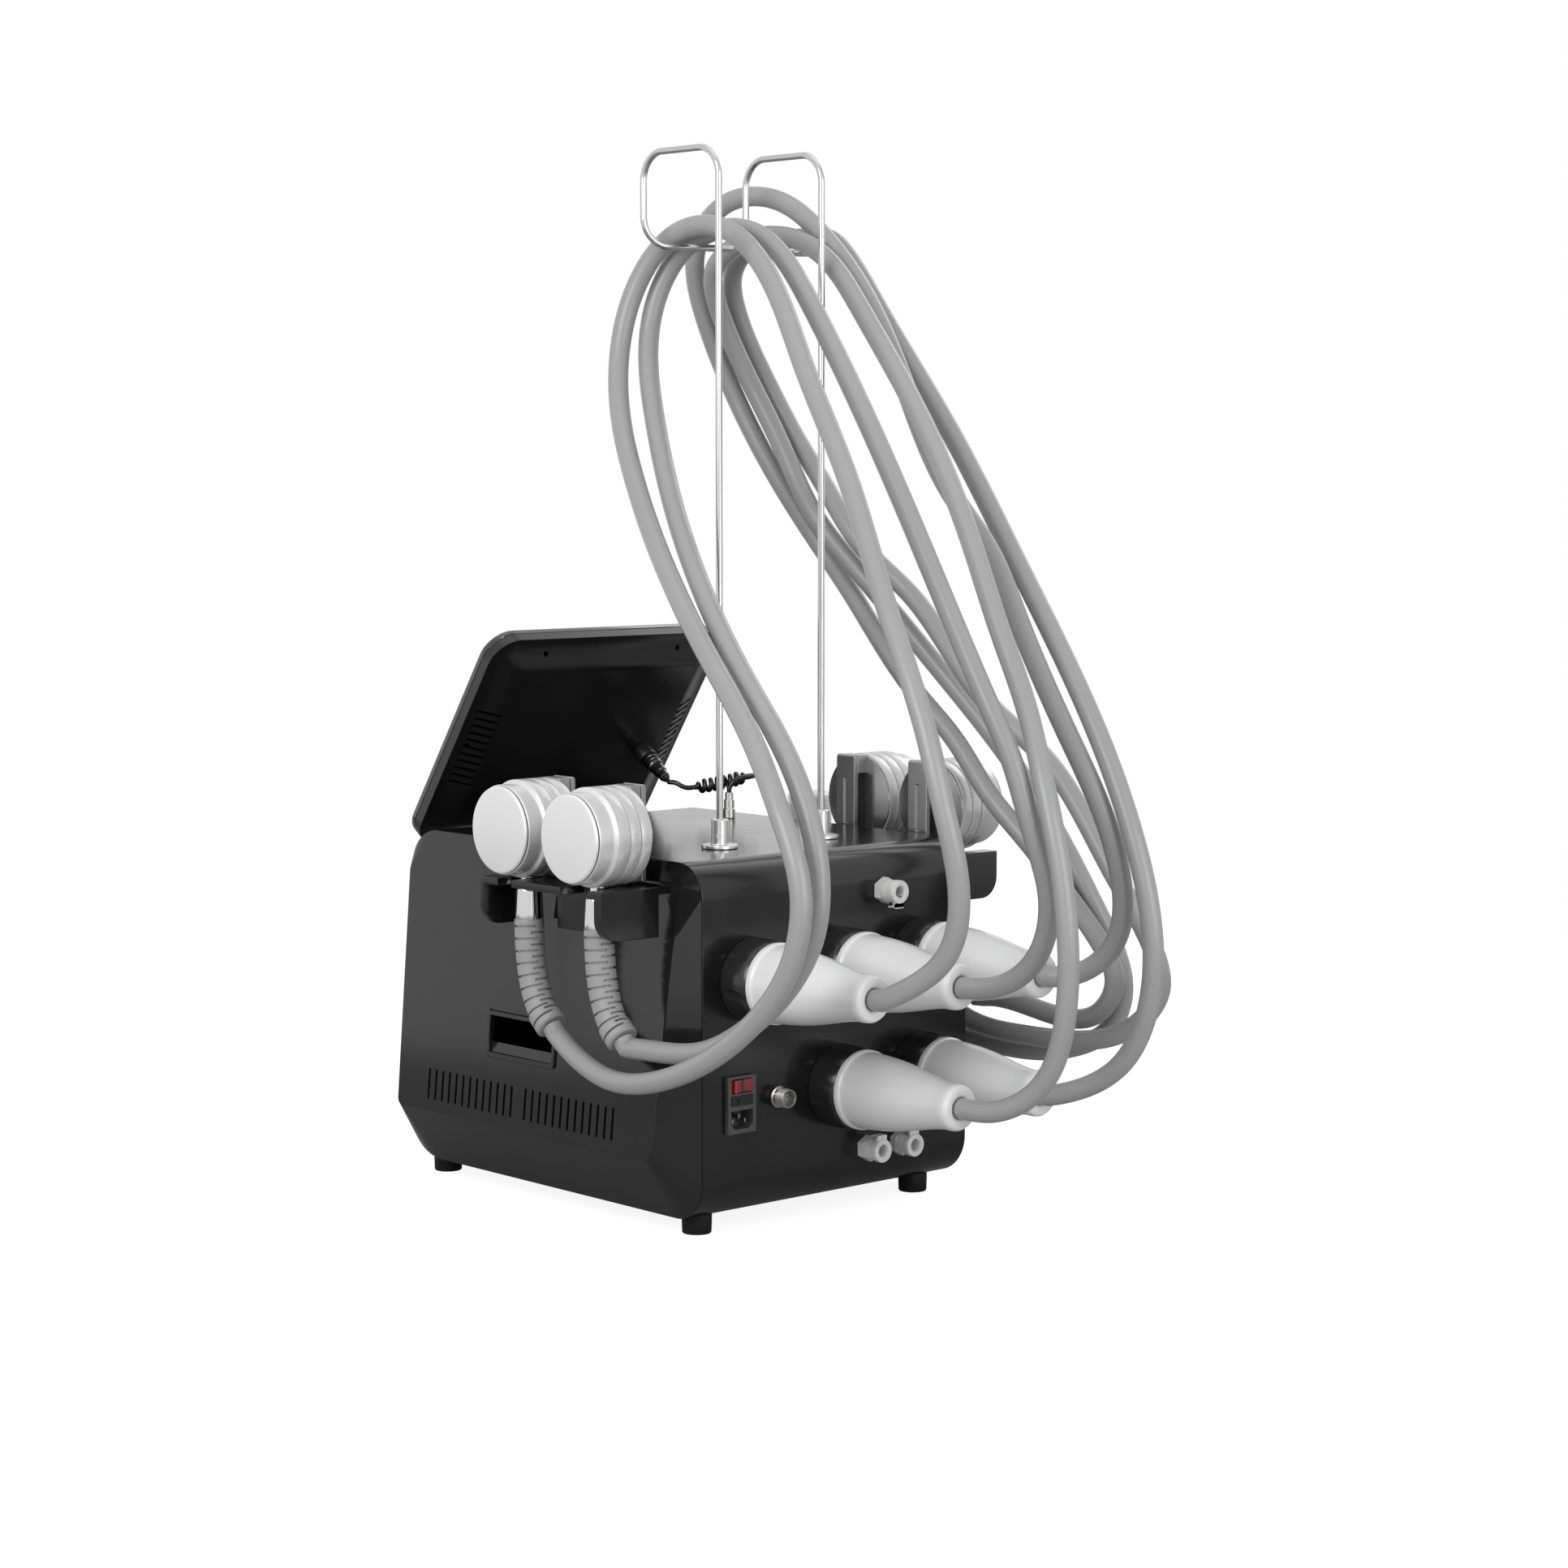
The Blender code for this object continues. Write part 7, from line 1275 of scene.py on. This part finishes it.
coupling_nylon = finish("coupling_natural_nylon", (0.76, 0.76, 0.755), 0.3, grain=700, depth=0.04,
                        drift=0.05, cloud=60)
# The valve disc deep in each bore is coloured near black, standing in for painted shade down the bore.
bore_shade = finish("coupling_bore_shade", (0.012, 0.012, 0.012), 0.4, grain=900)


def coupling_block(name, x, z, up, wide, low, high):
    """A nylon block on a coupling; low and high are (distance from the wall, rise towards the latch)."""
    first = at(x - wide, REAR_FACE + low[0], z + up * low[1])
    last = at(x + wide, REAR_FACE + high[0], z + up * high[1])
    return settle(name, block(first, last), coupling_nylon)


for number, ((x, z), up) in enumerate(zip(COUPLING_PLACES, LATCH_SIDES), 1):
    foot = at(x, REAR_FACE, z)
    barrel = turned(f"nylon_coupling_{number}", COUPLING_PROFILE, foot, (0, 1, 0), coupling_nylon, 56)
    hexagon = settle(f"hexagon_{number}", round_bar(foot, at(x, REAR_FACE + HEX_LENGTH, z), HEX_RADIUS, 6),
                     coupling_nylon)
    slot = coupling_block(f"latch_slot_{number}", x, z, up, LATCH_HALF_WIDTH + LATCH_GAP,
                          (LATCH_LOW - LATCH_GAP, LATCH_INNER - LATCH_TRAVEL_GAP),
                          (LATCH_HIGH + LATCH_GAP, LATCH_SLOT_OUTER))
    fit(worked(barrel, [slot], [hexagon], edge=0.35, smooth=35), "machine", "white_plastic",
        f"quick_coupling_{number}")
    valve = turned(f"coupling_valve_shade_{number}", VALVE_PROFILE, foot, (0, 1, 0), bore_shade, 32)
    fit(valve, "machine", "black_plastic")
    latch = coupling_block(f"thumb_latch_{number}", x, z, up, LATCH_HALF_WIDTH, (LATCH_LOW, LATCH_INNER),
                           (LATCH_HIGH, LATCH_OUTER))
    tab = coupling_block("thumb_tab", x, z, up, LATCH_HALF_WIDTH,
                         (LATCH_HIGH - LATCH_TAB_LENGTH, LATCH_OUTER - LATCH_TAB_THICKNESS),
                         (LATCH_HIGH, LATCH_OUTER))
    fit(worked(latch, (), [tab], edge=0.45, segments=3), f"latch_{number}", "white_plastic",
        f"quick_coupling_{number}_latch")

# Hose hangers: two rods of polished stainless steel, 6 mm thick, bent to open hooks, each standing in
# a turned collar on the top that grips it with a cross-head screw.
HANGER_X, HANGER_Y, HANGER_TOP, HANGER_FRONT_Y, HANGER_ARM_HEIGHT = 59.6, 129, 921.5, 28.9, 841.2
HANGER_ARM, HANGER_ARM_ANGLE = 87, math.radians(165)
HANGER_RADIUS, HANGER_BEND, HANGER_FLOOR = 3, 25, 2.3
HANGER_TIP = ((1.2, 0), (0.35, 0.35), (0, 1.2))
COLLAR_PROFILE = ((0, 2), (3.6, 2), (3.6, 24.4), (4.1, 25), (6.7, 25), (7.25, 24.5), (7.25, 4.2),
                  (7.7, 3.4), (8.6, 3.0), (15.2, 3.0), (15.8, 2.8), (16, 2.3), (16, 0.4), (15.6, 0), (0, 0))
SCREW_OUT = Vector((1, 1, 0)).normalized()
SCREW_SIDE = SCREW_OUT.cross(Vector((0, 0, 1)))
SCREW_HEIGHT, SCREW_RADIUS, SCREW_ENDS = 11.25, 2.4, (5.6, 8.8)
CROSS_HALF_LENGTH, CROSS_HALF_WIDTH, CROSS_ENDS = 1.5, 0.35, (7.9, 9.5)


def bent(corners, radius, steps):
    """A path through corners, with an arc in even steps at each inner one."""
    path = [corners[0]]
    for before, here, after in zip(corners, corners[1:], corners[2:]):
        back, ahead = (before - here).normalized(), (after - here).normalized()
        half = back.angle(ahead) / 2
        middle = here + (back + ahead).normalized() * (radius / math.sin(half))
        first = here + back * (radius / math.tan(half)) - middle
        last = here + ahead * (radius / math.tan(half)) - middle
        turn = first.rotation_difference(last)
        for step in range(steps + 1):
            path.append(middle + Quaternion(turn.axis, turn.angle * step / steps) @ first)
    return path + [corners[-1]]


rod_steel = finish("hanger_polished_steel", (0.52, 0.52, 0.52), 0.15, metal=1.0, grain=300,
                   stretch=(6, 6, 0.15), depth=0.03, drift=0.03)
collar_steel = finish("collar_turned_steel", (0.72, 0.72, 0.72), 0.3, metal=1.0, grain=300,
                      stretch=(0.2, 0.2, 8), depth=0.08, drift=0.05)
for word, x in (("right", HANGER_X), ("left", -HANGER_X)):
    foot = at(x, HANGER_Y, TOP_FACE)
    collar = turned(f"{word}_hanger_foot", COLLAR_PROFILE, foot, (0, 0, 1), collar_steel)
    root = foot + Vector((0, 0, SCREW_HEIGHT * MM))
    screw_ends = [root + SCREW_OUT * reach * MM for reach in SCREW_ENDS]
    head = settle("clamp_screw", round_bar(*screw_ends, SCREW_RADIUS, 28), collar_steel)

    def cross_place(a, b, depth, root=root):
        return root + (SCREW_OUT * depth + SCREW_SIDE * a + Vector((0, 0, b))) * MM

    cross = []
    for a, b in ((CROSS_HALF_LENGTH, CROSS_HALF_WIDTH), (CROSS_HALF_WIDTH, CROSS_HALF_LENGTH)):
        cross.append(flat_shape("cross_slot", ((-a, -b), (a, -b), (a, b), (-a, b)), cross_place,
                                *CROSS_ENDS, collar_steel))
    fit(worked(collar, cross, [head]), "machine", "steel", f"hanger_collar_{word}")
    arm_root = at(x, HANGER_FRONT_Y, HANGER_ARM_HEIGHT)
    arm = Vector((math.cos(HANGER_ARM_ANGLE), math.sin(HANGER_ARM_ANGLE), 0)) * HANGER_ARM * MM
    path = bent([foot + Vector((0, 0, HANGER_FLOOR * MM)), at(x, HANGER_Y, HANGER_TOP),
                 at(x, HANGER_FRONT_Y, HANGER_TOP), arm_root, arm_root + arm], HANGER_BEND * MM, 20)
    tip = (path[-1] - path[-2]).normalized()
    radii = [HANGER_RADIUS] * (len(path) - 1) + [HANGER_RADIUS - less for _, less in HANGER_TIP]
    path = path[:-1] + [path[-1] - tip * back * MM for back, _ in HANGER_TIP]
    fit(banded_tube(f"{word}_hanger", path, radii, 28, rod_steel), "machine", "steel",
        f"hanger_rod_{word}")

# Curly cord of the screen: a limp black PVC cable wound in eight curls that hang level between a
# moulded plug with a ribbed dark barrel in the screen's back and a slim stepped plug in the top.
SCREEN_CORD_DIAMETER = 4.6
CURL_OUTER = 14
CURL_COUNT = 8
CURL_POINTS = 24
CORD_STUB = 4
SCREEN_PLUG_FOOT, SCREEN_PLUG_LENGTH = (-82, -5.4, 77), 46
TOP_PLUG_HEIGHT = 24
SCREEN_CORD_LEAD = ((-85, -101, 352), (-90, -94, 348))
SCREEN_CORD_CURLS = ((-98, -88, 348), (-118, -78, 351), (-130, -70, 354), (-143, -66, 357))
SCREEN_CORD_TAIL = ((-149, -60, 358), (-143, -52, 359), (-130, -50, 358), (-118, -53, 356))
ELBOW_PROFILE = ((0, 0), (8.6, 0), (9, 0.5), (9, 12.2), (8.6, 13.2), (7.6, 13.8), (0, 13.8))
BARREL_PROFILE = ((0, 13.9), (7.2, 13.9), (7.7, 14.4), (8, 15.4), (8, 17.2), (7.4, 17.8), (7.4, 18.6),
                  (8, 19.2), (8, 21.6), (7.4, 22.2), (7.4, 23), (8, 23.6), (8, 26.2), (7.5, 27.0),
                  (6.3, 27.5), (6.3, 35.4), (5.8, 36.0), (5.0, 36.3), (5.0, 42.4), (4.6, 43.0), (0, 43.0))
RELIEF_PROFILE = ((0, 43.1), (3.9, 43.1), (4.1, 43.6), (3.7, 44.2), (3.7, 44.6), (3.9, 45.0),
                  (3.2, 45.6), (3.0, 46), (0, 46))
TOP_PLUG_PROFILE = ((0, -3), (3.5, -3), (3.5, 0), (5.3, 0), (5.7, 0.4), (5.7, 8.6), (5.3, 9.0),
                    (5.0, 9.2), (5.0, 17.0), (4.6, 17.5), (3.9, 17.7), (3.9, 23.4), (3.5, 24), (0, 24))
moulded_black = gloss_black("plug_moulded_black", 1300, 0.1, 0.3)
plug_dark_nickel = finish("plug_dark_nickel", (0.13, 0.13, 0.13), 0.2, metal=1.0, grain=800, depth=0.04)
plug_foot = lean @ (Vector(SCREEN_PLUG_FOOT) * MM)
plug_out = lean.to_3x3() @ Vector((0, 1, 0))
top_plug_foot = at(*TOP_HOLE_PLACE, TOP_FACE)
plug_steel = finish("top_plug_nickel", (0.7, 0.695, 0.68), 0.34, metal=1.0, grain=900, depth=0.04,
                    drift=0.05)
for name, profile, material, slot in (("screen_plug_elbow", ELBOW_PROFILE, moulded_black, "black_plastic"),
                                      ("screen_plug_barrel", BARREL_PROFILE, plug_dark_nickel, "steel"),
                                      ("screen_plug_relief", RELIEF_PROFILE, moulded_black,
                                       "black_plastic")):
    fit(turned(name, profile, plug_foot, plug_out, material, 48), "screen", slot,
                     "screen_cord_screen_plug")
fit(turned("top_plug_body", TOP_PLUG_PROFILE, top_plug_foot, (0, 0, 1), plug_steel, 48),
                 "machine", "steel", "screen_cord_top_plug")


def nearest_mark(centre, point):
    """The mark of a centre line that lies nearest a place."""
    return min(range(len(centre)), key=lambda index: (centre[index] - point).length)


def curl(centre, first, last):
    """The curly stretch between two marks on a fine centre line, as points of one helix."""
    steps = CURL_COUNT * CURL_POINTS
    radius = (CURL_OUTER - SCREEN_CORD_DIAMETER) / 2 * MM
    points = []
    for step in range(steps + 1):
        place = first + (last - first) * step / steps
        index = min(int(place), len(centre) - 2)
        middle = centre[index].lerp(centre[index + 1], place - index)
        ahead = (centre[index + 1] - centre[index]).normalized()
        sideways = ahead.cross(Vector((0, 0, 1))).normalized()
        upward = sideways.cross(ahead)
        turn = math.tau * step / CURL_POINTS
        reach = radius * min(1, step / CURL_POINTS, (steps - step) / CURL_POINTS)
        points.append(middle + (sideways * math.sin(turn) - upward * math.cos(turn)) * reach)
    return points


plug_end = plug_foot + plug_out * SCREEN_PLUG_LENGTH * MM
top_plug_end = top_plug_foot + Vector((0, 0, TOP_PLUG_HEIGHT * MM))
first, middle, last = cord_route(plug_end, plug_out, top_plug_end, Vector((0, 0, 1)), CORD_STUB,
                                 SCREEN_CORD_LEAD + SCREEN_CORD_CURLS + SCREEN_CORD_TAIL)
centre = [Vector(point) for point in smooth_path(middle, 1 * MM)]
curl_start = nearest_mark(centre, at(*SCREEN_CORD_CURLS[0]))
curl_end = nearest_mark(centre, at(*SCREEN_CORD_CURLS[-1]))
path = [first, *centre[:curl_start:2], *curl(centre, curl_start, curl_end), *centre[curl_end + 2::2][:-1],
        centre[-1], last]
screen_cord = hose_skin("screen_curly_cord", path, SCREEN_CORD_DIAMETER * MM, 14,
                        gloss_black("curly_cord_pvc", 900, 0.04, 0.24))
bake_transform(screen_cord)
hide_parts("screen_cord")

# Studio: a pale floor that keeps the machine's shadow, a white world for what the eye and the metal
# see, and large soft lamps round it.
FLOOR_HALF_SIDE = 1.9
FLOOR_LIFT, FLOOR_GLOSSY_LIFT, FLOOR_GREY = 0.88, 0.03, 0.43
WORLD_LIGHT = 0.45
floor_paint = bpy.data.materials.new("studio_floor")
floor_paint.use_nodes = True
tree = floor_paint.node_tree
tree.nodes.clear()
rays = wire(tree, "ShaderNodeLightPath").outputs
seen = wire(tree, "ShaderNodeMath", {0: rays["Is Camera Ray"], 1: rays["Is Transmission Ray"]},
            operation="MAXIMUM").outputs[0]
mirrored = wire(tree, "ShaderNodeMath", {0: rays["Is Glossy Ray"], 1: FLOOR_GLOSSY_LIFT},
                operation="MULTIPLY").outputs[0]
lift = wire(tree, "ShaderNodeMath", {0: seen, 1: FLOOR_LIFT, 2: mirrored},
            operation="MULTIPLY_ADD").outputs[0]
paint = wire(tree, "ShaderNodeBsdfDiffuse", {"Color": (FLOOR_GREY, FLOOR_GREY, FLOOR_GREY, 1)}).outputs[0]
glow = wire(tree, "ShaderNodeEmission", {"Color": (1, 1, 1, 1), "Strength": lift}).outputs[0]
both = wire(tree, "ShaderNodeAddShader", {0: paint, 1: glow}).outputs[0]
wire(tree, "ShaderNodeOutputMaterial", {"Surface": both})
bm = bmesh.new()
bmesh.ops.create_grid(bm, x_segments=1, y_segments=1, size=FLOOR_HALF_SIDE)
floor_mesh = bpy.data.meshes.new("studio_floor")
bm.to_mesh(floor_mesh)
bm.free()
floor_mesh.materials.append(floor_paint)
floor = bpy.data.objects.new("studio_floor", floor_mesh)
bpy.context.scene.collection.objects.link(floor)

world = bpy.data.worlds.new("studio_white")
world.use_nodes = True
bpy.context.scene.world = world
tree = world.node_tree
tree.nodes.clear()
rays = wire(tree, "ShaderNodeLightPath").outputs
seen = wire(tree, "ShaderNodeMath", {0: rays["Is Camera Ray"], 1: rays["Is Transmission Ray"]},
            operation="MAXIMUM").outputs[0]
bright = wire(tree, "ShaderNodeMath", {0: seen, 1: rays["Is Glossy Ray"]}, operation="MAXIMUM").outputs[0]
strength = wire(tree, "ShaderNodeMapRange", {"Value": bright, "To Min": WORLD_LIGHT,
                                             "To Max": 1.0}).outputs[0]
sky = wire(tree, "ShaderNodeBackground", {"Color": (1, 1, 1, 1), "Strength": strength}).outputs[0]
wire(tree, "ShaderNodeOutputWorld", {"Surface": sky})

for name, place, aim, size, power in (("right_softbox", (2.6, 0.7, 1.5), (0, 0, 0.3), 1.6, 38),
                                      ("rear_softbox", (0.1, 2.9, 0.9), (0, 0, 0.2), 1.6, 26),
                                      ("top_softbox", (0.2, 0.1, 2.9), (0, 0, 0.3), 2.0, 6),
                                      ("front_left_softbox", (-2.6, -0.6, 2.2), (0, 0, 0.4), 1.6, 12)):
    lamp = bpy.data.lights.new(name, "AREA")
    lamp.size = size
    lamp.energy = power
    softbox = bpy.data.objects.new(name, lamp)
    softbox.location = place
    softbox.rotation_euler = (Vector(aim) - Vector(place)).to_track_quat("-Z", "Y").to_euler()
    bpy.context.scene.collection.objects.link(softbox)
